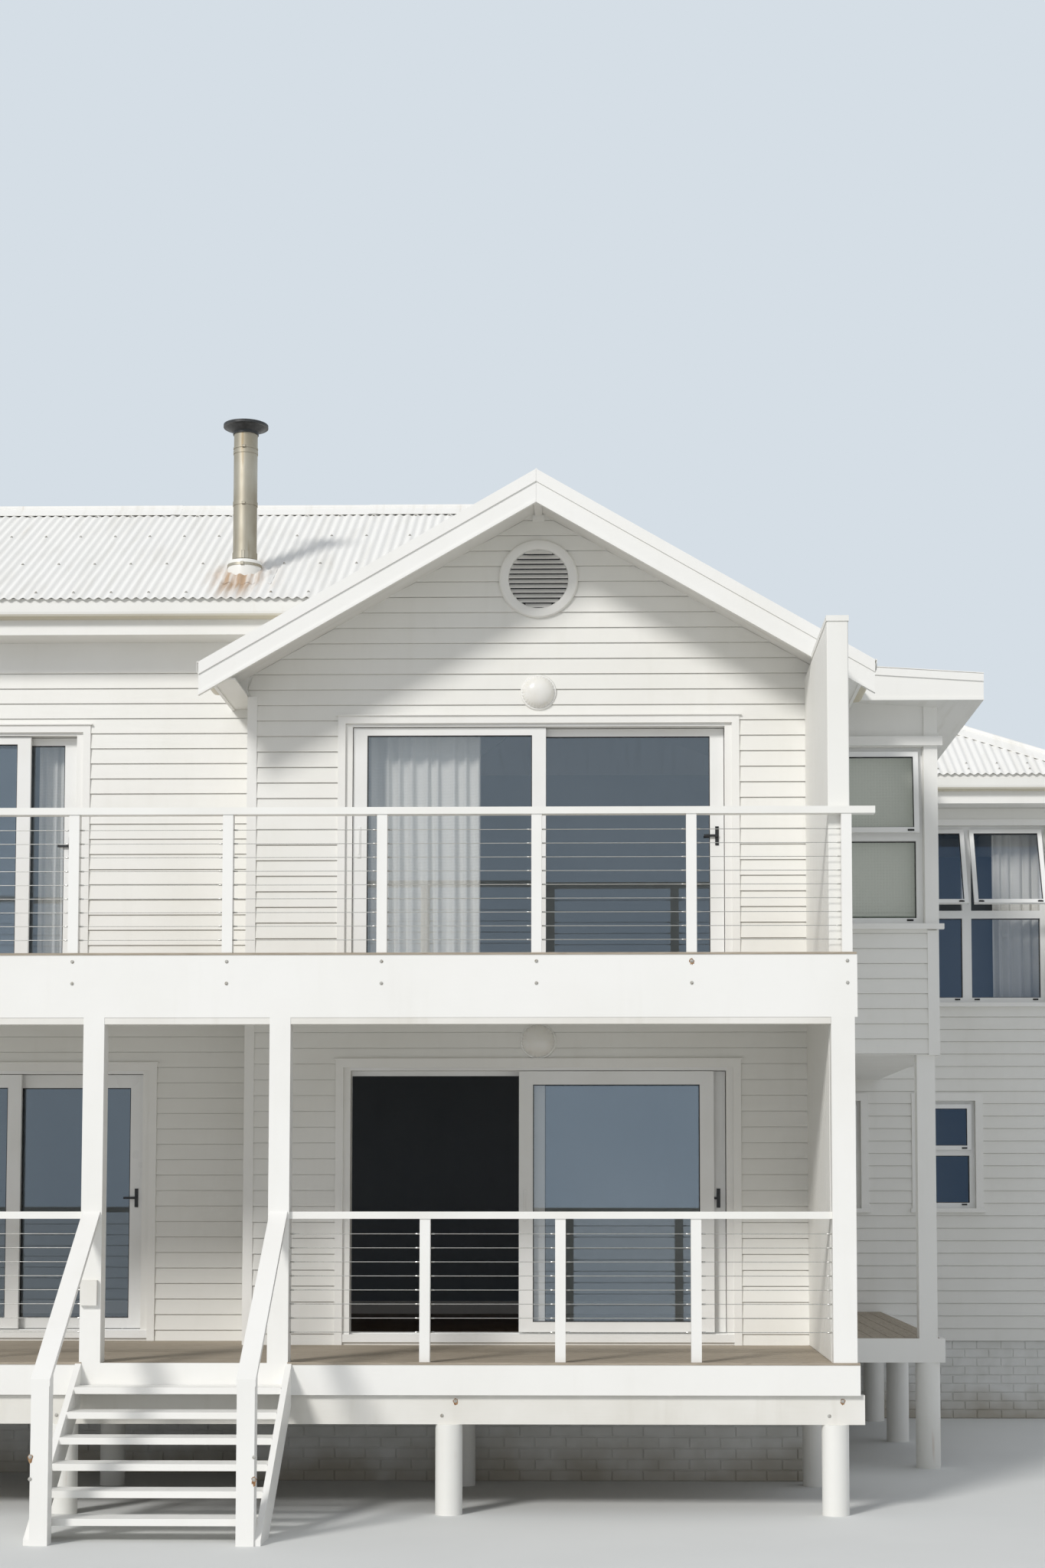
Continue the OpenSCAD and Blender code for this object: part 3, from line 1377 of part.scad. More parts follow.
// A leaf's frame with its left edge at x0, on rollers that ride the rail
module leaf_frame(d, x0, w, y, rail) {
    z0 = d[2] + sill_z1 + leaf_lift;
    z1 = d[2] + d[4];
    difference() {
        block(x0, x0 + w, d[1] + y, d[1] + y + leaf_t, z0, z1);
        block(x0 + stile_w, x0 + w - stile_w, d[1] + y - 1, d[1] + y + leaf_t + 1,
            z0 + bottom_rail, z1 - rail);
    }
    for (x = [x0 + roller_in, x0 + w - roller_in])
        intersection() {
            translate([x, d[1] + y + leaf_t / 2 + 4,
                    d[2] + sill_z1 + track_h + roller_gap + roller_r])
                rotate([90, 0, 0]) cylinder(r = roller_r, h = 8);
            block(x - 50, x + 50, d[1], d[1] + wall_t, 0, z0 + 1);
        }
}

module leaf_glass(d, x0, w, y, rail) {
    z0 = d[2] + sill_z1 + leaf_lift + bottom_rail;
    yc = d[1] + y + leaf_t / 2;
    block(x0 + stile_w, x0 + w - stile_w, yc - glass_t / 2, yc + glass_t / 2, z0,
        d[2] + d[4] - rail);
}

// A slim lever with its back plate on the right stile of the inner leaf
module lever(d, x) {
    z = d[2] + sill_z1 + lever_h;
    y = d[1] + inner_leaf_y;
    r = lever_grip;
    block(x - 14, x + 14, y - lever_plate_t, y, z - lever_plate_h / 2, z + lever_plate_h / 2);
    block(x - r, x + r, y - lever_reach, y - lever_plate_t + 1, z - r, z + r);
    block(x - lever_l, x + r, y - lever_reach, y - lever_reach + r, z - r + 1, z + r - 1);
}

function leaf_left_x(d) = d[0] - d[3] / 2 + side_clear;
function leaf_right_x(d, w) = d[0] + d[3] / 2 - side_clear - w;

module upper_door_leaves() {
    color("white") {
        leaf_frame(CENTRE_UP, leaf_left_x(CENTRE_UP), centre_leaf_w, outer_leaf_y,
            upper_top_rail);
        leaf_frame(CENTRE_UP, leaf_right_x(CENTRE_UP, centre_leaf_w), centre_leaf_w,
            inner_leaf_y, upper_top_rail);
        leaf_frame(LEFT_UP, leaf_left_x(LEFT_UP) + upper_left_open, left_leaf_w,
            outer_leaf_y, upper_top_rail);
        leaf_frame(LEFT_UP, leaf_right_x(LEFT_UP, left_leaf_w), left_leaf_w, inner_leaf_y,
            upper_top_rail);
    }
}

module upper_levers() {
    color("black") {
        lever(CENTRE_UP, CENTRE_UP[3] / 2 - side_clear - stile_w / 2);
        lever(LEFT_UP, LEFT_UP[0] + LEFT_UP[3] / 2 - side_clear - stile_w / 2);
    }
}

// Windows, drawn in their own frame: x along the wall, y into it, z up from the opening
module window_local(w) {
    translate(w_at(w)) rotate([0, 0, w_dir(w)]) children();
}
function light_w(w) = (w_wide(w) - 2 * frame_w - (w_cols(w) - 1) * mullion_w) / w_cols(w);
function light_x(w, c) = -w_wide(w) / 2 + frame_w + c * (light_w(w) + mullion_w);
function transom_z(w) = frame_w + lower_light(w);
function upper_light_h(w) = w_high(w) - frame_w - transom_z(w) - transom_w;

module window_frames() {
    color("white")
        for (w = WINDOWS) window_local(w)
            difference() {
                block(-w_wide(w) / 2, w_wide(w) / 2, frame_y, frame_y + frame_d, 0, w_high(w));
                for (c = [0:w_cols(w) - 1]) {
                    block(light_x(w, c), light_x(w, c) + light_w(w), 0, wall_t,
                        frame_w, transom_z(w));
                    block(light_x(w, c), light_x(w, c) + light_w(w), 0, wall_t,
                        transom_z(w) + transom_w, w_high(w) - frame_w);
                }
            }
}

// Places a child at the top edge of an upper light, turned out by the sash's angle about
// the edge where the sash's inner face meets the frame
module sash_place(w, c) {
    a = w_sash(w);
    translate([light_x(w, c) + sash_clear, frame_y - sash_t * cos(a) - sash_lap * sin(a),
            w_high(w) - frame_w])
        rotate([-a, 0, 0]) children();
}

module window_sashes() {
    color("white")
        for (w = WINDOWS) for (c = [0:w_cols(w) - 1]) window_local(w) sash_place(w, c) {
            x1 = light_w(w) - 2 * sash_clear + sash_lap;
            z0 = -upper_light_h(w) - sash_lap;
            difference() {
                block(-sash_lap, x1, 0, sash_t, z0, sash_lap);
                block(sash_w - sash_lap, x1 - sash_w, -1, sash_t + 1, z0 + sash_w,
                    sash_lap - sash_w);
            }
        }
}

module window_glass() {
    color("lightblue") {
        for (w = WINDOWS) for (c = [0:w_cols(w) - 1]) window_local(w) {
            block(light_x(w, c), light_x(w, c) + light_w(w), frame_y + frame_d / 2,
                frame_y + frame_d / 2 + pane_t, frame_w, transom_z(w));
            sash_place(w, c)
                block(sash_w - sash_lap, light_w(w) - 2 * sash_clear + sash_lap - sash_w,
                    sash_t / 2, sash_t / 2 + pane_t, -upper_light_h(w) - sash_lap + sash_w,
                    sash_lap - sash_w);
        }
        leaf_glass(CENTRE_UP, leaf_left_x(CENTRE_UP), centre_leaf_w, outer_leaf_y,
            upper_top_rail);
        leaf_glass(CENTRE_UP, leaf_right_x(CENTRE_UP, centre_leaf_w), centre_leaf_w,
            inner_leaf_y, upper_top_rail);
        leaf_glass(LEFT_UP, leaf_left_x(LEFT_UP) + upper_left_open, left_leaf_w,
            outer_leaf_y, upper_top_rail);
        leaf_glass(LEFT_UP, leaf_right_x(LEFT_UP, left_leaf_w), left_leaf_w, inner_leaf_y,
            upper_top_rail);
    }
}

module curtains() {
    color("linen")
        for (c = CURTAINS)
            block(c[0], c[1], c[2] + curtain_in, c[2] + curtain_in + curtain_d, c[3], c[4]);
}

module curtain_rails() {
    color("white")
        for (c = CURTAINS)
            block(c[0] - 60, c[1] + 20, c[2], c[2] + curtain_in + curtain_d / 2 + 10,
                c[4], c[4] + curtain_rail_t);
}

// The doors that slide
module centre_left_leaf() {
    color("white")
        leaf_frame(CENTRE_LOW, leaf_left_x(CENTRE_LOW) + centre_open, centre_leaf_w,
            outer_leaf_y, top_rail);
}

module centre_left_glass() {
    color("lightblue")
        leaf_glass(CENTRE_LOW, leaf_left_x(CENTRE_LOW) + centre_open, centre_leaf_w,
            outer_leaf_y, top_rail);
}

module centre_right_leaf() {
    color("white")
        leaf_frame(CENTRE_LOW, leaf_right_x(CENTRE_LOW, centre_leaf_w), centre_leaf_w,
            inner_leaf_y, top_rail);
}

module centre_right_glass() {
    color("lightblue")
        leaf_glass(CENTRE_LOW, leaf_right_x(CENTRE_LOW, centre_leaf_w), centre_leaf_w,
            inner_leaf_y, top_rail);
}

module centre_lever() {
    color("black") lever(CENTRE_LOW, CENTRE_LOW[3] / 2 - side_clear - stile_w / 2);
}

module left_left_leaf() {
    color("white")
        leaf_frame(LEFT_LOW, leaf_left_x(LEFT_LOW), left_leaf_w, outer_leaf_y, top_rail);
}

module left_left_glass() {
    color("lightblue")
        leaf_glass(LEFT_LOW, leaf_left_x(LEFT_LOW), left_leaf_w, outer_leaf_y, top_rail);
}

module left_right_leaf() {
    color("white")
        leaf_frame(LEFT_LOW, leaf_right_x(LEFT_LOW, left_leaf_w), left_leaf_w, inner_leaf_y,
            top_rail);
}

module left_right_glass() {
    color("lightblue")
        leaf_glass(LEFT_LOW, leaf_right_x(LEFT_LOW, left_leaf_w), left_leaf_w, inner_leaf_y,
            top_rail);
}

module left_lever() {
    color("black")
        lever(LEFT_LOW, LEFT_LOW[0] + LEFT_LOW[3] / 2 - side_clear - stile_w / 2);
}

placed() piers();
placed() plinth_walls();
placed() plinth_returns();
placed() bearers();
placed() joists();
placed() deck_boards();
placed() fascias();
placed() end_fascias();
placed() soffits();
placed() floors();
placed() porch_posts();
placed() rail_posts();
placed() handrails();
placed() cables();
placed() stair_stringers();
placed() stair_treads();
placed() stair_newels();
placed() stair_rails();
placed() screen_walls();
placed() front_walls();
placed() front_wall_bands();
placed() front_wall_infill();
placed() side_walls();
placed() back_walls();
placed() wing_front_wall();
placed() bay_walls();
placed() left_roof();
placed() gable_roof();
placed() wing_roof();
placed() bay_roof();
placed() ridge_caps();
placed() barge_boards();
placed() gutters();
placed() gable_vent();
placed() wall_lights();
placed() flue_pipe();
placed() flue_cowl();
placed() corner_boards();
placed() casings();
placed() door_jambs();
placed() door_tracks();
placed() upper_door_leaves();
placed() upper_levers();
placed() window_frames();
placed() window_sashes();
placed() window_glass();
placed() curtains();
placed() curtain_rails();
placed() centre_left_leaf();
placed() centre_left_glass();
placed() centre_right_leaf();
placed() centre_right_glass();
placed() centre_lever();
placed() left_left_leaf();
placed() left_left_glass();
placed() left_right_leaf();
placed() left_right_glass();
placed() left_lever();
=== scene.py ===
# %% [markdown]
# # A white timber beach house
#
# The house stands on a brick plinth and timber piers. Lapped boards cover its walls and
# corrugated sheets its roofs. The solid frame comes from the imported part, and this file
# gives it what a visitor sees: boards, sheets, caps, bricks, cloth, glass and paint.
#
# Every length below is in millimetres in the plan the house was drawn in, with x along
# the front, y going back from the porch's edge and z up from its foot. One function
# moves a whole array of such points into the frame's metres.

# %% Load the frame
import math

import bpy
import numpy as np
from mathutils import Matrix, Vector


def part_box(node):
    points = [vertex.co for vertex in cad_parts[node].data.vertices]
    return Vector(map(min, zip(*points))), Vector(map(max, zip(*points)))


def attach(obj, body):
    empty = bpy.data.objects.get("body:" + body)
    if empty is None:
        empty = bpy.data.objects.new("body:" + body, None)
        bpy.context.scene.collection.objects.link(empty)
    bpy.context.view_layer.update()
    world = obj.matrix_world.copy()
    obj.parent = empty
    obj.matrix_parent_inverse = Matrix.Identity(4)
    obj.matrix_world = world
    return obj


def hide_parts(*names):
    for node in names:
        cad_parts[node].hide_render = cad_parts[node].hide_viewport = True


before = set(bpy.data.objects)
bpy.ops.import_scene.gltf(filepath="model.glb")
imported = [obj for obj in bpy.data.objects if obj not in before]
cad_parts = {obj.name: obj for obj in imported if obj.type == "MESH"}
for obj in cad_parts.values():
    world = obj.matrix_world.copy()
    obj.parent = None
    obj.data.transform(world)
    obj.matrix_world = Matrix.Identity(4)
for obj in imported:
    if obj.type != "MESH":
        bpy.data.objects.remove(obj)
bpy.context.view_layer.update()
PLAN_SHIFT = np.array([690.0, -5398.75, 0.0])


def metres(points):
    """A point of the drawn plan, in millimetres, plus the shift, over a thousand."""
    return (np.asarray(points, float) + PLAN_SHIFT) / 1000.0


# %% [markdown]
# ## Meshes from whole arrays
#
# A long table of vertices is slow to write one by one, so each shape is worked out as
# numpy arrays and handed to the mesh in one go with foreach_set. A shape here is three
# arrays: the points, the corner numbers of all faces one after another, and how many
# corners each face has. Shapes like these can be joined by adding an offset.

# %% Shapes, joined, moved and repeated


def quads(points, faces):
    """A shape whose faces all have four corners."""
    faces = np.asarray(faces, int).reshape(-1, 4)
    return np.asarray(points, float).reshape(-1, 3), faces.ravel(), np.full(len(faces), 4)


def joined(*shapes):
    """One shape from several: the points follow each other, and each shape's corner
    numbers grow by the number of points before it."""
    starts = np.cumsum([0] + [len(s[0]) for s in shapes[:-1]])
    return (np.concatenate([s[0] for s in shapes]),
            np.concatenate([s[1] + n for s, n in zip(shapes, starts)]),
            np.concatenate([s[2] for s in shapes]))


def flipped(shape):
    """The order of each face's corners turned round, so that it looks the other way."""
    points, corners, sizes = shape
    ends = np.cumsum(sizes)
    face = np.repeat(np.arange(len(sizes)), sizes)
    return points, corners[(2 * ends - sizes - 1)[face] - np.arange(len(corners))], sizes


def moved(shape, matrix=((1, 0, 0), (0, 1, 0), (0, 0, 1)), shift=(0, 0, 0)):
    """Every point times the matrix, plus the shift. A matrix that mirrors flips faces."""
    points, corners, sizes = shape
    matrix = np.asarray(matrix, float)
    shape = (points @ matrix.T + np.asarray(shift, float), corners, sizes)
    return flipped(shape) if np.linalg.det(matrix) < 0 else shape


def repeated(shape, places):
    """The same shape at many places, as one shape."""
    places = np.atleast_2d(np.asarray(places, float))
    points, corners, sizes = shape
    n = len(places)
    return ((points[None] + places[:, None]).reshape(-1, 3),
            (corners[None] + len(points) * np.arange(n)[:, None]).ravel(),
            np.tile(sizes, n))


tile = quads([[0, 0, 0], [1, 0, 0], [1, 1, 0], [0, 1, 0]], [[0, 1, 2, 3]])
print("three tiles make", len(repeated(tile, np.eye(3))[0]), "points")

# %% [markdown]
# ### Which way faces look
#
# Light and exported files need every face to look outwards. On a closed shape the sum of
# small volumes, one for each triangle seen from the middle, is positive when they do. So
# the faces need no care while a shape is drawn: its volume says whether to flip them.

# %% Volume


def volume(shape):
    """A sixth of the sum, over each face's fan of triangles, of its first corner dotted
    with the cross product of its second and third, measured from the middle."""
    points, corners, sizes = shape
    starts, fans = np.cumsum(sizes) - sizes, sizes - 2
    face = np.repeat(np.arange(len(sizes)), fans)
    step = np.arange(len(face)) - np.repeat(np.cumsum(fans) - fans, fans)
    centred = points - points.mean(axis=0)
    a, b, c = (centred[corners[starts[face] + k]] for k in (0, step + 1, step + 2))
    return np.sum(a * np.cross(b, c)) / 6


def outward(shape):
    """A closed shape whose volume comes out negative is flipped."""
    return flipped(shape) if volume(shape) < 0 else shape


cube_corner = (np.array([[0, 0, 0], [1, 0, 0], [0, 1, 0], [0, 0, 1]], float),
               np.array([0, 2, 1, 0, 1, 3, 0, 3, 2, 1, 2, 3]), np.full(4, 3))
print("the corner cut off a unit cube holds", round(volume(cube_corner), 3))

# %% [markdown]
# ### Blocks
#
# Boards, bricks and trim are blocks. Plain ones are a unit box stretched between two
# corners. One that is seen close by has a worn edge, or arris, which catches the light,
# and a bevel drawn into the shape costs fewer faces than a modifier on each block.

# %% Blocks
UNIT_BOX = np.array([[0, 0, 0], [1, 0, 0], [1, 1, 0], [0, 1, 0],
                     [0, 0, 1], [1, 0, 1], [1, 1, 1], [0, 1, 1]], float)
BOX_FACES = np.array([[0, 3, 2, 1], [4, 5, 6, 7], [0, 1, 5, 4],
                      [1, 2, 6, 5], [2, 3, 7, 6], [3, 0, 4, 7]])
SOFT_FACES = np.array([[0, 1, 2, 3], [11, 10, 9, 8],
                       [0, 4, 5, 1], [1, 5, 6, 2], [2, 6, 7, 3], [3, 7, 4, 0],
                       [4, 8, 9, 5], [5, 9, 10, 6], [6, 10, 11, 7], [7, 11, 8, 4]])


def six_sided(bottoms, tops):
    """Many six-sided blocks at once. bottoms and tops are n by 4 by 3, each going round
    its block the same way, anticlockwise seen from above."""
    points = np.concatenate([bottoms, tops], axis=1)
    return quads(points, BOX_FACES[None] + 8 * np.arange(len(points))[:, None, None])


def corner_rows(lows, highs):
    """Both as arrays with a row for each box."""
    return [np.atleast_2d(np.asarray(corners, float)) for corners in (lows, highs)]


def boxes(lows, highs):
    """Upright boxes: the unit box times the size, plus the lower corner."""
    lows, highs = corner_rows(lows, highs)
    points = lows[:, None] + UNIT_BOX[None] * (highs - lows)[:, None]
    return six_sided(points[:, :4], points[:, 4:])


def soft_boxes(lows, highs, edge):
    """Boxes whose far y side is smaller by edge all round, as a brick's or a board's worn
    arris makes it: twelve points and ten faces each."""
    lows, highs = corner_rows(lows, highs)
    size = highs - lows
    ring = UNIT_BOX[:4, :2]
    rings = []
    for y, inset in ((lows[:, 1], 0), (highs[:, 1] - edge, 0), (highs[:, 1], edge)):
        xz = lows[:, None, ::2] + ring * size[:, None, ::2] + (0.5 - ring) * 2 * inset
        rings.append(np.stack([xz[..., 0], np.repeat(y[:, None], 4, 1), xz[..., 1]], -1))
    faces = SOFT_FACES[None] + 12 * np.arange(len(lows))[:, None, None]
    return outward(quads(np.concatenate(rings, axis=1), faces))


print("a brick holds", round(volume(soft_boxes([0, 0, 0], [230, 110, 76], 3)) / 1000), "cm3")

# %% [markdown]
# ### Skins through rings
#
# Pipes, caps, seals, washers and roof sheets are one idea: a row of rings with a skin
# through them. The rings come from a profile carried along a path, or turned round an
# axis, where an open profile has its ends closed flat and a hoop closes on itself.

# %% Skins


def swept(rings, loop=False):
    """A skin through rings of points (rows, around, 3). Row i's points join row i+1's. The
    last row joins the first in a loop, and otherwise both end rings are closed flat."""
    rows, around = rings.shape[:2]
    i, j = np.meshgrid(np.arange(rows if loop else rows - 1), np.arange(around), indexing="ij")
    here, after = i * around, (i + 1) % rows * around
    k = (j + 1) % around
    faces = np.stack([here + j, here + k, after + k, after + j], -1).reshape(-1, 4)
    points, corners, sizes = quads(rings.reshape(-1, 3), faces)
    if not loop:
        first, final = np.arange(around)[::-1], np.arange(around) + (rows - 1) * around
        corners = np.concatenate([corners, first, final])
        sizes = np.concatenate([sizes, [around, around]])
    return outward((points, corners, sizes))


def carried(profile, path, up=(0, 0, 1)):
    """A closed outline (k by 2) carried along a path (n by 3). At each path point the
    outline's first axis is sideways, which is forward times up, and its second is up made
    square to both."""
    path, profile = np.asarray(path, float), np.asarray(profile, float)
    ahead = np.gradient(path, axis=0)
    ahead /= np.linalg.norm(ahead, axis=1, keepdims=True)
    side = np.cross(ahead, np.asarray(up, float))
    side /= np.linalg.norm(side, axis=1, keepdims=True)
    top = np.cross(side, ahead)
    return swept(path[:, None] + side[:, None] * profile[None, :, :1]
                 + top[:, None] * profile[None, :, 1:])


rod = carried([[0, 0], [1, 0], [1, 1], [0, 1]], [[0, 0, 0], [5, 0, 0], [9, 0, 0]])
print("a unit square carried 9 mm holds", round(volume(rod), 3), "mm3")

# %% Turned shapes and hoops


def circle(radius, count):
    """count points evenly round a circle, anticlockwise."""
    turn = np.arange(count) * 2 * np.pi / count
    return np.stack([np.cos(turn), np.sin(turn)], -1) * radius


def facing_front(shape):
    """Heights along z laid down so that they grow towards the viewer, along -y."""
    return moved(shape, [[1, 0, 0], [0, 0, -1], [0, 1, 0]])


def turned(profile, count, centre=(0, 0, 0), axis="z"):
    """(radius, height) pairs turned round an axis through centre: the radius times the
    cosine and sine of each step's angle, with the height along the axis."""
    profile = np.asarray(profile, float)
    ring = circle(1.0, count)
    shape = swept(np.concatenate([profile[:, None, :1] * ring[None],
                                  np.repeat(profile[:, None, 1:], count, 1)], -1))
    return moved(facing_front(shape) if axis == "front" else shape, shift=centre)


def hoop(outline, count, axis="z"):
    """A closed outline of (radius, height) pairs turned the same way, as a loop of
    outlines, so that the middle stays open."""
    outline = np.asarray(outline, float)
    ring = circle(1.0, count)
    shape = swept(np.concatenate([ring[:, None] * outline[None, :, :1],
                                  np.repeat(outline[None, :, 1:], count, 0)], -1), loop=True)
    return facing_front(shape) if axis == "front" else shape


washer = turned([(13, 0), (13, 2)], 12)
print("a washer holds", round(volume(washer)), "mm3 and has", len(washer[2]), "faces")

# %% [markdown]
# ### A piece on its body
#
# A finished shape becomes an object in one place only. Its mesh is filled, it gets its finish
# in a material slot, and it rides on a body of the frame, so that the fittings of a sliding
# door move with the door.

# %% Pieces


def piece(name, shape, material, body="house", smooth=None, replaces=()):
    """Puts a shape into a mesh, gives it its finish, and lets it ride on a body. smooth is
    the angle in degrees under which two faces shade as one curve."""
    points, corners, sizes = shape
    mesh = bpy.data.meshes.new(name)
    mesh.vertices.add(len(points))
    mesh.vertices.foreach_set("co", metres(points).astype(np.float32).ravel())
    mesh.loops.add(len(corners))
    mesh.loops.foreach_set("vertex_index", corners.astype(np.int32))
    mesh.polygons.add(len(sizes))
    mesh.polygons.foreach_set("loop_start", (np.cumsum(sizes) - sizes).astype(np.int32))
    mesh.polygons.foreach_set("loop_total", sizes.astype(np.int32))
    mesh.update(calc_edges=True)
    mesh.validate()
    mesh.shade_flat()
    if smooth is not None:
        mesh.shade_smooth()
        mesh.set_sharp_from_angle(angle=math.radians(smooth))
    made = bpy.data.objects.new(name, mesh)
    bpy.context.scene.collection.objects.link(made)
    mesh.materials.append(material)
    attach(made, body)
    if replaces:
        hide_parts(*replaces)
    print(f"{name}: {len(points)} points, {len(sizes)} faces")
    return made


# %% [markdown]
# ## Camera
#
# The camera stands well in front of the house with a normal lens, a little above eye
# height, and the frame shows more sky than floor. A lens shift gives that framing while
# the upright edges stay upright.

# %% Camera
LENS_MM, SENSOR_MM = 54.79, 36.0
CAMERA_AT = (1.230, -22.11375, 2.245)
YAW, PITCH = math.radians(0.947), math.radians(3.923)

lens = bpy.data.cameras.new("camera")
lens.lens, lens.sensor_width, lens.sensor_fit = LENS_MM, SENSOR_MM, "AUTO"
lens.shift_x, lens.shift_y = -0.0287, 0.1554
lens.clip_end = 1000.0
camera = bpy.data.objects.new("camera", lens)
camera.location = CAMERA_AT
camera.rotation_euler = (math.pi / 2 + PITCH, 0.0, YAW)
bpy.context.scene.collection.objects.link(camera)
bpy.context.scene.camera = camera
print("camera", CAMERA_AT, "lens", LENS_MM)

# %% [markdown]
# ## Finishes
#
# A colour is written as a painter's hex code, which is in sRGB, while shaders count in
# linear light, so one function turns one into the other. One more function adds a node
# with its settings and its links. Patterns read Object coordinates, which are metres
# here, so a noise that repeats every 900 mm has a scale of 1000 over 900. A Map Range
# turns the part of a noise between two levels into an amount from none to its most.

# %% Colour


def linear(code):
    """Each pair of hex digits over 255, then the sRGB curve undone."""
    part = np.array([int(code[i:i + 2], 16) for i in (1, 3, 5)]) / 255.0
    part = np.where(part <= 0.04045, part / 12.92, ((part + 0.055) / 1.055) ** 2.4)
    return (*part.tolist(), 1.0)


print("mid grey #808080 in linear light", round(linear("#808080")[0], 3))

# %% Nodes


def wire(tree, node, inputs):
    """Sets each named or numbered input to a value, or links it to another node."""
    for socket, value in inputs.items():
        if isinstance(value, bpy.types.NodeSocket):
            tree.links.new(value, node.inputs[socket])
        else:
            even = linear(value) if isinstance(value, str) else value
            node.inputs[socket].default_value = even


def add(tree, kind, inputs=None, out=0, **settings):
    """Adds one node with its settings and links, and gives back one of its outputs."""
    made = tree.nodes.new("ShaderNode" + kind)
    for key, value in settings.items():
        setattr(made, key, value)
    wire(tree, made, inputs or {})
    return made.outputs[out]


def finish_of(name, roughness, metallic=0.0, **sockets):
    """An empty recipe: a Principled shader with its even values set on its own sockets."""
    material = bpy.data.materials.new(name)
    material.use_nodes = True
    tree = material.node_tree
    shader = tree.nodes["Principled BSDF"]
    wire(tree, shader, {"Roughness": roughness, "Metallic": metallic})
    wire(tree, shader, {k.replace("_", " "): v for k, v in sockets.items()})
    return material, tree, shader, add(tree, "TexCoord", out="Object")


def per_metre(size_mm):
    """How many repeats of a pattern of that size lie in one metre."""
    return 1000.0 / size_mm


print("a grain of 14 mm has a scale of", round(per_metre(14), 1))

# %% [markdown]
# ### Paint on timber
#
# House paint on planed boards is a water-based acrylic, brushed on. It gives a soft
# sheen, faint brush drag along the board, and after some years by the sea a slight chalky
# bloom with greyer patches where rain runs. One recipe serves boards, posts and trim with
# other sheens, because only the timber under it differs.

# %% Brushed paint


def brushed_paint(name, colour, tone, sheen, drag, grain_mm=14.0, depth_mm=0.5, dirt=0.35):
    """Colour drifts to a greyer tone in metre-wide clouds and in runs drawn out downwards.
    Brush drag is noise drawn out along the board, as bump and as a change of sheen."""
    material, tree, shader, place = finish_of(name, sheen)
    patches = add(tree, "TexNoise", {"Vector": place, "Scale": per_metre(900), "Detail": 5.0})
    down = add(tree, "Mapping", {"Vector": place, "Scale": (1.0, 1.0, 0.12)})
    runs = add(tree, "TexNoise", {"Vector": down, "Scale": per_metre(120), "Detail": 3.0})
    worn = add(tree, "MapRange", {0: patches, 1: 0.42, 2: 0.75, 4: dirt})
    streak = add(tree, "MapRange", {0: runs, 1: 0.55, 2: 0.8, 4: dirt * 0.5})
    amount = add(tree, "Math", {0: worn, 1: streak}, operation="ADD")
    along = add(tree, "Mapping", {"Vector": place, "Scale": drag})
    brush = add(tree, "TexNoise", {"Vector": along, "Scale": per_metre(grain_mm),
                                   "Detail": 4.0})
    wire(tree, shader, {
        "Base Color": add(tree, "Mix", {0: amount, 6: colour, 7: tone}, out=2,
                          data_type="RGBA"),
        "Roughness": add(tree, "MapRange", {0: brush, 1: 0.3, 2: 0.7, 3: sheen - 0.07,
                                            4: sheen + 0.08}),
        "Normal": add(tree, "Bump", {"Height": brush, "Distance": depth_mm / 1000,
                                     "Strength": 0.5})})
    return material


ALONG_FLAT, ALONG_UPRIGHT = (0.06, 0.06, 1.0), (1.0, 1.0, 0.06)
board_paint = brushed_paint("acrylic_paint_on_lapped_boards", "#EEEDE8", "#DDDBD2", 0.55,
                            ALONG_FLAT)
trim_paint = brushed_paint("satin_paint_on_planed_trim", "#F2F1ED", "#E2E0D8", 0.42,
                           ALONG_FLAT, grain_mm=10.0, dirt=0.3)
post_paint = brushed_paint("satin_paint_on_squared_posts", "#F2F1ED", "#DEDCD3", 0.42,
                           ALONG_UPRIGHT, grain_mm=10.0, dirt=0.3)
rough_paint = brushed_paint("thin_paint_on_rough_sawn_beams", "#E9E7E1", "#CFCBC0", 0.66,
                            ALONG_FLAT, grain_mm=22.0, depth_mm=1.6, dirt=0.6)
screen_paint = brushed_paint("paint_on_upright_boards", "#EEEDE8", "#E0DED6", 0.5,
                             ALONG_UPRIGHT)
# The room lining's grey-blue is painted shade: darker than wall paint, so the rooms look dim.
room_lining_painted_shade = brushed_paint("flat_paint_on_room_lining_darkened_as_shade", "#8A929A", "#7C848D", 0.8,
                             (1.0, 1.0, 1.0), grain_mm=30.0, depth_mm=0.2, dirt=0.4)
print("paints on timber", 6)
